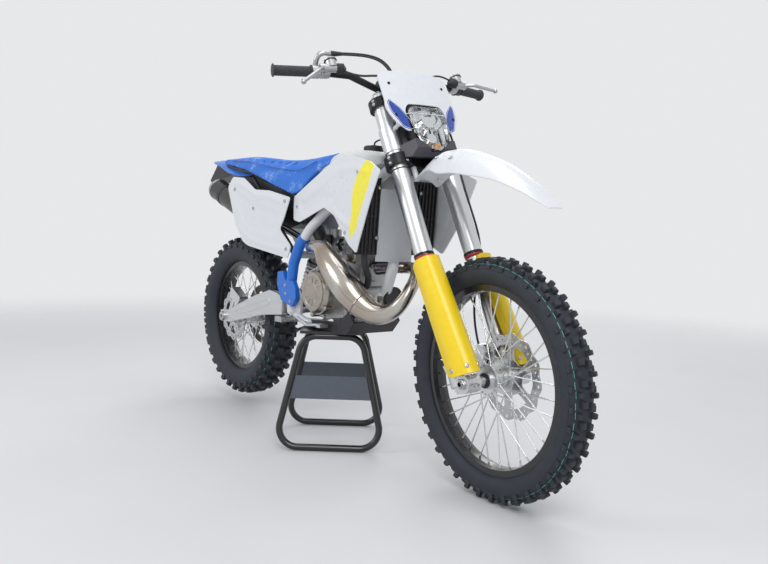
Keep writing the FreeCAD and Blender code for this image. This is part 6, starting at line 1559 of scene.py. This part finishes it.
# Exhaust, engine and running gear
PIPE_REACH = 144.0
PIPE_ROUTE_SHARES = [(0.61, 0.0556, 0.64), (0.638, 0.25, 0.645), (0.676, 0.4167, 0.648), (0.713, 0.3472, 0.643),
                     (0.739, 0.1528, 0.626), (0.7525, -0.0972, 0.59), (0.748, -0.2917, 0.545),
                     (0.734, -0.4306, 0.514), (0.712, -0.5833, 0.499), (0.684, -0.7361, 0.508),
                     (0.654, -0.875, 0.54), (0.63, -0.9583, 0.577), (0.597, -1, 0.622), (0.558, -0.9931, 0.664),
                     (0.521, -0.9097, 0.697), (0.482, -0.8333, 0.706), (0.445, -0.7361, 0.702),
                     (0.415, -0.5556, 0.7), (0.391, -0.3958, 0.706), (0.341, -0.3889, 0.735),
                     (0.274, -0.4167, 0.765), (0.206, -0.4583, 0.785), (0.15, -0.4861, 0.796)]
PIPE_R = [24, 21.5, 20.5, 20.5, 20.5, 21, 23, 27, 33, 41, 48, 52, 50, 43, 34, 26, 19.5, 15, 14, 14, 14, 14, 16]


def pipe_course():
    """The pipe's middle line with its radius at each point, finely spaced."""
    places = [spot(x, y * PIPE_REACH, z) for x, y, z in PIPE_ROUTE_SHARES]
    line = smooth_line(places, 6)
    radii = [r.x for r in smooth_line([vec(r, 0, 0) for r in PIPE_R], 6)]
    return line, radii


def swept_sheet(line, radii, sides=44):
    """Sweep with a map along it for the heat tint."""
    points, faces = sweep(line, radii, sides)
    mesh = bpy.data.meshes.new("pipe")
    mesh.from_pydata([tuple(p * MM) for p in points], [], faces)
    map_along = mesh.uv_layers.new(name="along")
    last = len(line) - 1
    for polygon in mesh.polygons:
        for l in polygon.loop_indices:
            vertex = mesh.loops[l].vertex_index
            map_along.data[l].uv = ((vertex % sides) / sides, (vertex // sides) / last)
    bm = bmesh.new()
    bm.from_mesh(mesh)
    bmesh.ops.recalc_face_normals(bm, faces=bm.faces)
    bm.to_mesh(mesh)
    bm.free()
    mesh.materials.append(pipe_steel)
    mesh.shade_smooth()
    mesh.set_sharp_from_angle(angle=math.radians(50))
    return mesh


def way_at(line, k):
    return (line[min(k + 1, len(line) - 1)] - line[max(k - 1, 0)]).normalized()


# Points of the pipe's middle line
PIPE_WELDS = (10, 58, 98)
PIPE_JOINT = 101


def exhaust_piece():
    """Expansion chamber with its welds and seams, springs at the port, a tab and the sleeve at its end."""
    line, radii = pipe_course()
    meshes = Parts()
    meshes.append(swept_sheet(line, radii))
    welds = []
    for k in PIPE_WELDS:
        way = way_at(line, k)
        welds.append(sweep(circle(line[k], *sides_of(way), radii[k] + 0.3, 48), 2.3 if k == 58 else 1.0, 8,
                           closed=True))
    for side in (1, -1):
        seam = []
        for k in range(30, 98):
            way = way_at(line, k)
            out = (ACROSS * -1 - way * way.dot(ACROSS * -1)).normalized()
            out = (out * 0.94 + way.cross(out) * 0.34 * side).normalized() if side > 0 else -out
            seam.append(line[k] + out * (radii[k] + 0.1))
        welds.append(sweep(seam, 0.7, 6))
    weld_mesh = mesh_of(both(*welds), pipe_steel)
    weld_mesh.uv_layers.new(name="along")
    for entry in weld_mesh.uv_layers["along"].data:
        entry.uv = (0.5, 0.06)
    meshes.append(weld_mesh)
    springs = []
    first, second = sides_of(way_at(line, 4))
    for angle in (0.8, 2.4, -1.2):
        out = first * math.cos(angle) + second * math.sin(angle)
        start = line[0] + out * (radii[0] + 5)
        end = line[9] + out * (radii[9] + 4)
        coil = []
        along = end - start
        side = along.cross(out).normalized()
        for i in range(97):
            t = i / 96
            turn = TURN * 12 * t
            coil.append(start + along * t + (out * math.cos(turn) + side * math.sin(turn)) * 3.2)
        springs.append(sweep(coil, 0.8, 5))
    meshes.add(both(*springs), bright_steel)
    tab_at = line[50] + vec(0, 8, radii[50] * 0.9)
    meshes.add(block(tab_at - vec(12, 3, 6), tab_at + vec(12, 3, 26)), bright_steel)
    at, r, way = line[PIPE_JOINT + 6], radii[PIPE_JOINT], way_at(line, PIPE_JOINT)
    meshes.add(ring_band(at, way, r + 4.5, r - 1, 30), soft_rubber)
    for shift in (-9, 9):
        meshes.add(ring_band(at + way * shift, way, r + 5.6, r + 4, 5), bright_steel)
    piece("expansion_chamber", meshes, "chassis", ["exhaust_pipe"])


def silencer_details_piece():
    """Three bands, two of them with rivets, the end cap and its outlet ring."""
    line, _ = pipe_course()
    start = line[-1]
    end = spot(-0.112, -70, 0.938)
    way = (end - start).normalized()
    meshes = Parts()
    meshes.add(ring_band(end - way * 6, way, 48.6, 46.6, 13, 64), cast_alloy)
    meshes.add(ring_band(start + way * 62, way, 48.4, 46.6, 10, 64), cast_alloy)
    meshes.add(ring_band(end - way * 92, way, 48.8, 46.6, 22, 64), black_plastic)
    first, second = sides_of(way)
    rivets = []
    for along in (-6.0, (start + way * 62 - end).dot(way)):
        for i in range(14):
            out = first * math.cos(TURN * i / 14) + second * math.sin(TURN * i / 14)
            rivets.append((end + way * along + out * 48.2, out, 1.0))
    rivet = lathe([(2.6, -0.6), (2.6, 0.2), (1.8, 1.3), (0, 1.7)], axis=UP, sides=10)
    meshes.add_copies(rivet, bright_steel, rivets)
    cap = [(46, 5.2), (44, 8.5), (26, 13), (16.5, 15), (15.2, 14.4), (15.2, 5.2)]
    meshes.add(lathe(cap, end, way, 56, ring=True), silencer_black)
    meshes.add(ring_band(end + way * 14, way, 16.4, 14.2, 12, 40), bright_steel)
    piece("silencer_fittings", meshes, "chassis")


def covers_piece():
    """Rings, ribs, bosses and bolts on the engine's two sides."""
    meshes = Parts()
    bolts = []
    clutch = spot(0.507, 0, 0.550)
    plate = [(66.5, -155.2), (66.5, -157.6), (60, -158.6), (54, -158.6), (52, -157), (30, -157), (28, -158.8),
             (0, -159.2)]
    meshes.add(lathe(plate, clutch, ACROSS, 72), clutch_alloy)
    rib = block((30, -1.6, 156.5), (52, 1.6, 158.6), 0.8)
    turn_out = in_mm(Matrix.Translation(vec(clutch.x, 0, clutch.z) * MM) @ Matrix.Rotation(math.pi / 2, 4, "X"))
    meshes.append(copies_around(rib, clutch_alloy, 12, UP, turn_out))
    for angle in SIXTHS:
        at = clutch + on_circle(1, angle + 0.35) * 83
        meshes.add(lathe([(8.5, -118), (8.5, -146), (7, -147.5), (0, -147.5)], at, ACROSS, 20), clutch_alloy)
        bolts.append((at + ACROSS * -147.5, -ACROSS, 4.4))
    case_rim = [(0.447, 0.480), (0.447, 0.560), (0.474, 0.622), (0.545, 0.630), (0.590, 0.590), (0.603, 0.520),
                (0.585, 0.470), (0.500, 0.452)]
    loop = rounded_loop(side_loop(case_rim), 18, 5)
    for y, grow in ((-70, 1.5), (-92.5, 0.8)):
        meshes.add(sweep(upright(grown(loop, grow), y), 2.6, 8, closed=True), cast_alloy)
    for x, z in case_rim:
        at = spot(x, -84, z)
        middle = spot(0.520, -84, 0.540)
        inward = (middle - at).normalized() * 7
        boss = lathe([(8, 14), (8, -13), (6.5, -15), (0, -15)], at + inward, ACROSS, 18)
        meshes.add(boss, cast_alloy)
        bolts.append((at + inward - ACROSS * 15, -ACROSS, 4.0))
    pump = spot(0.598, 0, 0.560)
    pump_profile = [(31, -90), (31, -112), (27, -117), (12, -119), (0, -119)]
    meshes.add(lathe(pump_profile, pump, ACROSS, 40), cast_alloy)
    for angle in (0.4, 1.9, 3.2, 4.7):
        bolts.append((pump + on_circle(26, angle, -116.5), -ACROSS, 3.6))
    wheel = spot(0.545, 0, 0.515)
    meshes.add(lathe([(57, 99), (57, 102), (52, 104), (20, 104.5), (18, 103), (0, 103)], wheel, ACROSS, 60),
               cast_alloy)
    for i in range(5):
        bolts.append((wheel + on_circle(55, TURN * i / 5 + 0.3, 101.5), ACROSS, 4.2))
    plug = spot(0.470, 0, 0.500)
    meshes.add(lathe([(13, -94), (13, -102), (11, -104), (0, -104)], plug, ACROSS, 24), clutch_alloy)
    meshes.add_copies(BOLT, bright_steel, bolts)
    piece("engine_side_details", meshes, "chassis", lip=0.5)


CYLINDER_LEAN = Matrix.Rotation(math.radians(8), 4, "Y")
CYLINDER_PLACE = in_mm(Matrix.Translation(spot(0.562, 0, 0.600) * MM) @ CYLINDER_LEAN)


def cylinder_piece():
    """Nuts, edge beads, the power valve cover, the water stub, the port ring and the plug with its lead."""
    meshes = Parts(CYLINDER_PLACE)
    nuts = [(vec(50 * math.cos(angle), 50 * math.sin(angle), 180), UP, 6.0) for angle in SIXTHS]
    for x, y in ((-50, -50), (50, -50), (-50, 50), (50, 50)):
        nuts.append((vec(x, y * 0.94, 6), UP, 5.0))
        nuts.append((vec(x * 0.9, y * 0.98, 138.2), UP, 4.4))
    meshes.add_copies(BOLT, bright_steel, nuts)
    loop = rounded_loop([vec(58.5, 56), vec(-58.5, 56), vec(-58.5, -56), vec(58.5, -56)], 16, 4)
    for height in (26, 116):
        path = [vec(p.x, p.y, height) for p in loop]
        meshes.add(sweep(path, 3.0, 8, closed=True), cast_alloy)
    cover = rounded_loop([vec(4, 64), vec(54, 64), vec(54, 112), vec(4, 112)], 9, 4)
    rows = [upright(cover, -78.5), upright(cover, -82), upright(grown(cover, -3), -84)]
    meshes.add(closed_grid(rows), clutch_alloy)
    screws = [(vec(x, -83.5, z), -ACROSS, 3.0) for x, z in ((11, 71), (47, 71), (11, 105), (47, 105))]
    meshes.add_copies(BOLT, bright_steel, screws)
    stub = lathe([(15, 0), (15, 22), (17, 23), (17, 28), (14, 29), (0, 29)], (34, 0, 168), (1, 0, 0.9), 28)
    meshes.add(stub, cast_alloy)
    port = vec(62, 0, 34.5)
    meshes.add(lathe([(32, 0), (32, 8), (30, 11), (22, 11), (22, 0)], port, AHEAD, 40, ring=True), cast_alloy)
    cap = [(9.5, 212), (11, 214), (11, 226), (9, 232), (7, 246), (0, 247)]
    meshes.add(lathe(cap, (0, 0, 0), UP, 24), soft_rubber)
    lead = [vec(0, 0, 240), vec(-14, 6, 262), vec(-60, 16, 262), vec(-110, 22, 240)]
    meshes.add(sweep(smooth_line(lead, 6), 3.6, 10), soft_rubber)
    piece("cylinder_details", meshes, "chassis", lip=0.4)


def carburettor_piece():
    """Clamps on the boots, rings and screws of the float bowl, throttle pulley and vent hoses."""
    meshes = Parts()
    at = spot(0.476, 0, 0.716)
    for x in (8, -84, 34, -102):
        radius = 30.6 if x in (8, -84) else 24.5
        meshes.add(ring_band(at + AHEAD * x, AHEAD, radius, radius - 1.4, 8, 48), bright_steel)
        meshes.add(block(at + vec(x - 4, -radius - 6, -3), at + vec(x + 4, -radius + 1, 6)), bright_steel)
    middle = at + vec(-44, 0, 0)
    for height, radius in ((-30, 26), (-52, 25)):
        meshes.add(ring_band(middle + UP * height, UP, radius, radius - 3, 3, 40), cast_alloy)
    screws = []
    for i in range(4):
        angle = math.pi / 4 + math.pi / 2 * i
        out = vec(math.cos(angle), math.sin(angle), 0)
        screws.append((middle + out * 21 + UP * -55, -UP, 3.0))
        screws.append((middle + out * 18 + UP * 55, UP, 3.0))
    meshes.add_copies(SCREW, bright_steel, screws)
    meshes.add(lathe([(9, -56), (9, -64), (7, -66), (0, -66)], middle, UP, 6), bright_steel)
    pulley = [(20, -27), (22, -28), (22, -30), (18, -31), (18, -34), (22, -35), (22, -37), (0, -38)]
    meshes.add(lathe(pulley, middle + UP * 14, ACROSS, 40), black_plastic)
    hoses = []
    for side, sway in ((1, 16), (-1, 22)):
        start = middle + vec(-6, side * 22, -34)
        hoses.append(sweep(smooth_line([start, start + vec(-10, side * sway, -20),
                                        start + vec(-18, side * sway, -90),
                                        start + vec(-30, side * sway * 0.6, -176)], 6), 2.6, 8))
    meshes.add(both(*hoses), soft_rubber)
    piece("carburettor_details", meshes, "chassis")


SPRING_TURNS = 7
TURN_STEPS = 36


def shock_piece():
    """Damper with its collars and its helical spring."""
    low, high = spot(0.323, 0, 0.5053), spot(0.371, 0, 0.672)
    along = high - low
    way = along.normalized()
    first, second = sides_of(way)
    length = along.length
    coil = []
    for i in range(SPRING_TURNS * TURN_STEPS + 1):
        t = i / (SPRING_TURNS * TURN_STEPS)
        turn = TURN * SPRING_TURNS * t
        coil.append(low + along * (0.13 + 0.63 * t) + (first * math.cos(turn) + second * math.sin(turn)) * 30.5)
    meshes = Parts()
    meshes.add(sweep(coil, 5.5, 12), spring_white)
    body = [(0, length * 0.02), (15, length * 0.02), (15, length * 0.09), (34, length * 0.09),
            (35.5, length * 0.12), (20, length * 0.125), (17, length * 0.40), (22, length * 0.42),
            (22, length * 0.76), (35.5, length * 0.775), (36, length * 0.80), (34, length * 0.83),
            (25, length * 0.84), (24, length * 0.96), (0, length * 0.97)]
    meshes.add(lathe(body, low, way, 40), dark_steel)
    piece("shock_and_spring", meshes, "chassis", ["rear_shock"])


def arm_details_piece():
    """Chain guide and slider, adjuster blocks, axle nuts and the outlines of the side pockets."""
    meshes = Parts()
    bolts = []
    slider = [(0.345, 0.512), (0.310, 0.529), (0.262, 0.5335), (0.180, 0.5005)]
    top = [spot(x, 84, z) for x, z in slider]
    strip = []
    for p in top:
        strip.append([p + vec(0, -8, 0), p + vec(0, 12, 0), p + vec(0, 12, -5), p + vec(0, -8, -5)])
    meshes.add(closed_grid(strip), soft_rubber)
    guide = rounded_loop(side_loop([(0.060, 0.372), (0.125, 0.392), (0.135, 0.362), (0.118, 0.318),
                                    (0.080, 0.306), (0.062, 0.330)]), 10, 4)
    for y in (67, 88.5):
        meshes.add(closed_grid([upright(guide, y), upright(guide, y + 3)]), black_plastic)
    for x, z in ((0.075, 0.352), (0.118, 0.362), (0.098, 0.318)):
        bolts.append((spot(x, 91.5, z), ACROSS, 3.6))
    for side in (1, -1):
        start = vec(REAR_AXLE.x / MM, side * 118, REAR_AXLE.z / MM)
        meshes.add(block(start + vec(-22, -1.5, -19), start + vec(22, 1.5, 19)), hub_alloy)
        nut = [(r, y * side) for r, y in ((17, 0), (17, 9), (15, 11), (8, 11.5), (8, 0))]
        meshes.add(lathe(nut, start, ACROSS, 6, ring=True), bright_steel)
        bolts.append((start + vec(-30, -side * 14, 0), -AHEAD, 5.0))
        meshes.add(sweep([start + vec(-44, -side * 13, 0), start + vec(-18, -side * 13, 0)], 4.5, 12),
                   bright_steel)
        pocket = [(0.075, 0.418), (0.180, 0.462), (0.262, 0.492), (0.262, 0.470), (0.180, 0.436),
                  (0.075, 0.402)]
        path = upright(rounded_loop(side_loop(pocket), 8, 4), side * 118.2)
        meshes.add(sweep(path, 1.6, 6, closed=True), arm_alloy)
        pivot = spot(0.360, 0, 0.488)
        cap = [(r, y * side) for r, y in ((16, 103.6), (16, 108), (14, 110), (0, 110))]
        meshes.add(lathe(cap, pivot, ACROSS, 6), bright_steel)
    meshes.add_copies(BOLT, bright_steel, bolts)
    piece("swingarm_details", meshes, "chassis", lip=0.8)


# Bars, duct panels and small fittings
BAR_END = vec(-44, 417, 1067)
BAR_INNER = vec(-17.6, 289, 1059.3)


def bar_side(side):
    """The grip's outer end and the way inward along it, on one side."""
    end = vec(BAR_END.x, side * BAR_END.y, BAR_END.z)
    inner = vec(BAR_INNER.x, side * BAR_INNER.y, BAR_INNER.z)
    return end, (inner - end).normalized()


def grips_piece():
    """Ribbed rubber grips with closed outer ends."""
    profile = [(0, -4), (18.5, -4), (20.5, -2.6), (20.5, -0.8), (17, 0.4)]
    for i in range(21):
        start = 4 + i * 5.3
        profile += [(15.4, start), (16.5, start + 1.2), (16.5, start + 3.4), (15.4, start + 4.6)]
    profile += [(16.5, 117), (20.5, 118.2), (20.5, 122), (12, 122), (12, -0.8), (0, -0.8)]
    meshes = Parts(STEER)
    for side in (1, -1):
        end, inward = bar_side(side)
        meshes.add(lathe(profile, end, inward, 36, ring=True), grip_rubber, sharp=60)
    piece("ribbed_grips", meshes, "steering", ["grips"])


def bar_fittings_piece():
    """Reservoir lids, lever pivots, clamps, boots, the left switch, cable ends and the pad at the middle."""
    meshes = Parts(STEER)
    bolts = []
    for side in (1, -1):
        end, inward = bar_side(side)
        perch = end + inward * 162
        pivot = perch + vec(34, side * 19, -11.4)
        pot = pivot + inward * 27.2
        lid = [(21, 23.5), (21, 26.5), (20, 27.5), (20, 31), (18.6, 32.2), (0, 32.2)]
        meshes.add(lathe([(21, 23.4)] + lid[:3] + [(0, 27.5)], pot, UP, 36), soft_rubber)
        meshes.add(lathe([(20, 27.4)] + lid[3:], pot, UP, 36), lever_alloy)
        for shift in (-12, 12):
            bolts.append((pot + vec(0, shift, 32.2), UP, 2.6))
        bolts.append((pivot + vec(2, side * 1, 8.4), UP, 5.0))
        bolts.append((pivot + vec(2, side * 1, -8.4), -UP, 4.4))
        clamp = lathe([(20.4, -12), (20.4, 12), (19.0, 13), (19.0, -13)], perch, inward, 36, ring=True)
        meshes.add(clamp, lever_alloy)
        for shift in (-9, 9):
            bolts.append((perch + inward * shift + vec(-19.6, 0, 4), -AHEAD, 3.4))
        ribs = []
        for i in range(5):
            ribs += [(15.6, 40 + 5 * i), (16.8, 42.4 + 5 * i)]
        boot = [(0, 39)] + ribs + [(12, 66), (5, 72), (0, 72)]
        meshes.add(lathe(boot, pivot, inward, 28), soft_rubber)
    end, inward = bar_side(1)
    switch = end + inward * 133.5
    meshes.add(lathe([(11.6, -9), (20, -9), (21, -8), (21, 8), (20, 9), (11.6, 9)], switch, inward, 30,
                     ring=True), black_plastic)
    meshes.add(block(switch + vec(-24, -8, -10), switch + vec(-12, 8, 14), 0.85, 0), black_plastic)
    meshes.add(lathe([(5, 0), (5, 4), (4, 5), (0, 5)], switch + vec(-23, 0, 6), (-1, 0, 0), 18), red_rubber)
    end, inward = bar_side(-1)
    meshes.add(ring_band(end + inward * 196, inward, 12.6, 11.5, 10), yellow_film)
    elbow_end, way = vec(26, -236, 1103), vec(5, 40, 1).normalized()
    boot = [(5, -2), (9.4, 0), (9.4, 5), (8.6, 6), (9.0, 8), (7.8, 20), (6.4, 34), (5, 44), (3.4, 45)]
    meshes.add(lathe(boot, elbow_end - way * 6, way, 28), soft_rubber)
    for side in (1, -1):
        adjuster = [(5.2, 0), (5.2, 14), (4.4, 15), (4.4, 22), (3.2, 23), (3.2, 0)]
        start = vec(30, side * 232, 1046)
        meshes.add(lathe(adjuster, start, (0.3, -side, 0.05), 14, ring=True), lever_alloy)
    pad = []
    for y, half_n, low, high in ((-74, 16, 1014, 1034), (-66, 22, 1012, 1042), (66, 22, 1012, 1042),
                                 (74, 16, 1014, 1034)):
        loop = rounded_loop([vec(8 - half_n, low), vec(8 + half_n, low), vec(8 + half_n, high),
                             vec(8 - half_n, high)], 9, 4)
        pad.append(upright(loop, y))
    meshes.add(closed_grid(pad), black_plastic, sharp=60)
    nut = lathe([(19, 952), (19, 955), (16, 956), (16, 966), (14.5, 967.5), (8, 967.5), (8, 960), (0, 960)],
                (0, 0, 0), UP, 6)
    meshes.add(nut, bright_steel)
    meshes.add_copies(BOLT, bright_steel, bolts)
    piece("bar_fittings", meshes, "steering", lip=0.3)


def radiator_front_share(z):
    return 0.653 + (z - 0.690) / 0.250 * 0.010 + 0.0215


def duct_piece():
    """Pale sheets that lead air from the middle to the two radiators, creased over the down tube; their white
    is darkened to grey as painted shade.
    """
    rows = []
    for z, tube in ((0.668, 0.6905), (0.72, 0.6935), (0.80, 0.6985), (0.86, 0.7045), (0.905, 0.7085)):
        edge = spot(radiator_front_share(z) + 0.0012, 0, z)
        crease = spot(tube + 0.0035, 0, z)
        row = []
        for y in (-77, -58, -30, -2, 2, 30, 58, 77):
            t = max(0.0, abs(y) - 2) / 75
            row.append(vec(crease.x + (edge.x - crease.x) * t, y, z * 1000))
        rows.append(row)
    meshes = Parts()
    # The ducts take the darkened white, a painted shade
    meshes.add(grid(smooth_rows(rows, 4, 1)), duct_white_painted_shade, wall=-2.4)
    bushes = []
    screws = []
    for side, y, z in ((-1, 84, 0.908), (-1, 84, 0.745), (1, 96, 0.900), (1, 96, 0.772)):
        at = spot(radiator_front_share(z) + 0.0050, side * y, z)
        bushes.append(lathe([(9, -2), (9, 2.4), (7.6, 3.6), (5, 3.6), (5, -2)], at, AHEAD, 28, ring=True))
        screws.append((at + AHEAD * 0.5, AHEAD, 4.6))
    meshes.add(both(*bushes), soft_rubber)
    meshes.add_copies(SCREW, bright_steel, screws)
    piece("radiator_ducts", meshes, "chassis")


def under_seat_piece():
    """Dark inner covers that close the space between seat, side panels and tail."""
    outline = side_loop([(0.005, 1.030), (0.130, 1.006), (0.235, 0.965), (0.330, 0.905), (0.325, 0.840),
                         (0.170, 0.840), (0.035, 0.900)])
    meshes = []
    for side in (1, -1):
        front = lambda x, z, side=side: vec(x, side * 74, z)
        back = lambda x, z, side=side: vec(x, side * 71, z)
        meshes.append(marked_sheet(rounded_loop(outline, 14, 4), [], front, back, black_plastic, spacing=16.0))
    piece("under_seat_covers", meshes, "chassis", lip=0.6)


def guard_screws_piece():
    """Screws of the frame guards."""
    screws = []
    for side in (1, -1):
        for x, z in ((0.352, 0.556), (0.356, 0.524), (0.378, 0.498)):
            screws.append((spot(x, side * 129, z), ACROSS * side, 4.2))
    piece("guard_screws", [copies_at(SCREW, bright_steel, screws)], "chassis")


def caliper_details_piece():
    """Piston caps and bolts of the front caliper."""
    angle = math.radians(138)
    out = on_circle(1, angle)
    along = vec(-math.sin(angle), 0, math.cos(angle))
    middle = out * 117 + ACROSS * 85
    meshes = Parts(FRONT_WHEEL)
    for shift in (-22, 22):
        cap = [(17, -1), (17, 3), (15, 4.5), (9, 4.5), (8, 3), (0, 3)]
        meshes.add(lathe(cap, middle + along * shift, ACROSS, 32), lever_alloy)
    bolts = [(middle + along * shift + out * 17, ACROSS, 4.6) for shift in (-40, 0, 40)]
    meshes.add_copies(BOLT, bright_steel, bolts)
    piece("front_caliper_details", meshes, "steering")


# Studio
def area_lamp(name, place, aim, size, power):
    lamp = bpy.data.lights.new(name, "AREA")
    lamp.shape = "DISK"
    lamp.size = size
    lamp.energy = power
    holder = placed(name, lamp)
    holder.location = place
    holder.rotation_mode = "QUATERNION"
    holder.rotation_quaternion = (Vector(aim) - Vector(place)).to_track_quat("-Z", "Y")


def fade_with_distance(m, near, far):
    """Let a floor's finish fade away with the distance from its middle."""
    tree = m.node_tree
    link = tree.links.new
    length = node(tree, "ShaderNodeVectorMath")
    length.operation = "LENGTH"
    fade = node(tree, "ShaderNodeMapRange", From_Min=near, From_Max=far)
    fade.interpolation_type = "SMOOTHSTEP"
    clear = node(tree, "ShaderNodeBsdfTransparent")
    mix = node(tree, "ShaderNodeMixShader")
    link(place_of(m), length.inputs[0])
    link(length.outputs["Value"], fade.inputs["Value"])
    link(fade.outputs["Result"], mix.inputs["Fac"])
    link(shader_of(m).outputs[0], mix.inputs[1])
    link(clear.outputs[0], mix.inputs[2])
    link(mix.outputs[0], tree.nodes["Material Output"].inputs["Surface"])


FLOOR_REACH = 30.0


def build_floor():
    mesh = bpy.data.meshes.new("floor")
    corners = [(x * FLOOR_REACH, y * FLOOR_REACH, 0) for x, y in ((-1, -1), (1, -1), (1, 1), (-1, 1))]
    mesh.from_pydata(corners, [], [(0, 1, 2, 3)])
    floor = placed("floor", mesh)
    paint = finish("floor_paint", (0.70, 0.70, 0.70), rough=0.6, vary=0.02, grain=2)
    fade_with_distance(paint, 2.3, 6.5)
    mesh.materials.append(paint)


def build_sky():
    """Soft light all round; what the camera sees past the floor, itself or in a gloss, is pale."""
    world = bpy.data.worlds.new("studio")
    bpy.context.scene.world = world
    world.use_nodes = True
    tree = world.node_tree
    link = tree.links.new
    back = tree.nodes["Background"]
    back.inputs["Color"].default_value = (0.88, 0.92, 1.0, 1)
    back.inputs["Strength"].default_value = 0.58
    pale = node(tree, "ShaderNodeBackground", Color=(0.80, 0.81, 0.82, 1), Strength=1.0)
    path = node(tree, "ShaderNodeLightPath")
    seen, through = node(tree, "ShaderNodeMath"), node(tree, "ShaderNodeMath")
    seen.operation = through.operation = "MAXIMUM"
    mix = node(tree, "ShaderNodeMixShader")
    link(path.outputs["Is Camera Ray"], seen.inputs[0])
    link(path.outputs["Is Glossy Ray"], seen.inputs[1])
    link(seen.outputs[0], through.inputs[0])
    link(path.outputs["Is Transmission Ray"], through.inputs[1])
    link(through.outputs[0], mix.inputs["Fac"])
    link(back.outputs[0], mix.inputs[1])
    link(pale.outputs[0], mix.inputs[2])
    link(mix.outputs[0], tree.nodes["World Output"].inputs["Surface"])


CAMERA_AT = (2.1801, -1.5756, 0.7542)
CAMERA_TURNS = ((141.33, "Z"), (3.59, "Y"), (-1.88, "X"))
CAMERA_LENS_MM = 34.72
CAMERA_FRAME_MM = 36.0


def build_camera():
    """The camera that was fitted to the photograph."""
    data = bpy.data.cameras.new("camera")
    data.lens = CAMERA_LENS_MM
    data.sensor_width = CAMERA_FRAME_MM
    camera = placed("camera", data)
    turn = Matrix.Identity(3)
    for degrees, axis in CAMERA_TURNS:
        turn = turn @ Matrix.Rotation(math.radians(degrees), 3, axis)
    ahead, left, up = turn.col
    camera.matrix_world = axes_matrix(-left, up, -ahead, CAMERA_AT)
    bpy.context.scene.camera = camera


def build_stage():
    bpy.context.scene.view_settings.view_transform = "Standard"
    build_floor()
    build_sky()
    area_lamp("key_lamp", (3.4, -2.2, 3.6), (0, 0, 0.6), 2.6, 84)
    area_lamp("side_lamp", (-1.5, -4.0, 2.8), (-0.2, 0, 0.6), 2.4, 46)
    area_lamp("back_lamp", (-2.5, 3.4, 3.2), (0, 0, 0.7), 2.6, 46)
    area_lamp("top_lamp", (0.2, 0.2, 4.4), (0, 0, 0.5), 3.0, 40)
    build_camera()


for build in (build_wheels, guard_piece, leg_details_piece, mask_piece, lamp_piece, fender_piece, shroud_pieces,
              panel_pieces, rear_fender_piece, tail_lamp_piece, seat_pieces, seat_trim_piece, tank_pieces,
              exhaust_piece, silencer_details_piece, covers_piece, cylinder_piece, carburettor_piece,
              shock_piece, arm_details_piece, grips_piece, bar_fittings_piece, duct_piece, under_seat_piece,
              guard_screws_piece, caliper_details_piece, build_stage):
    build()
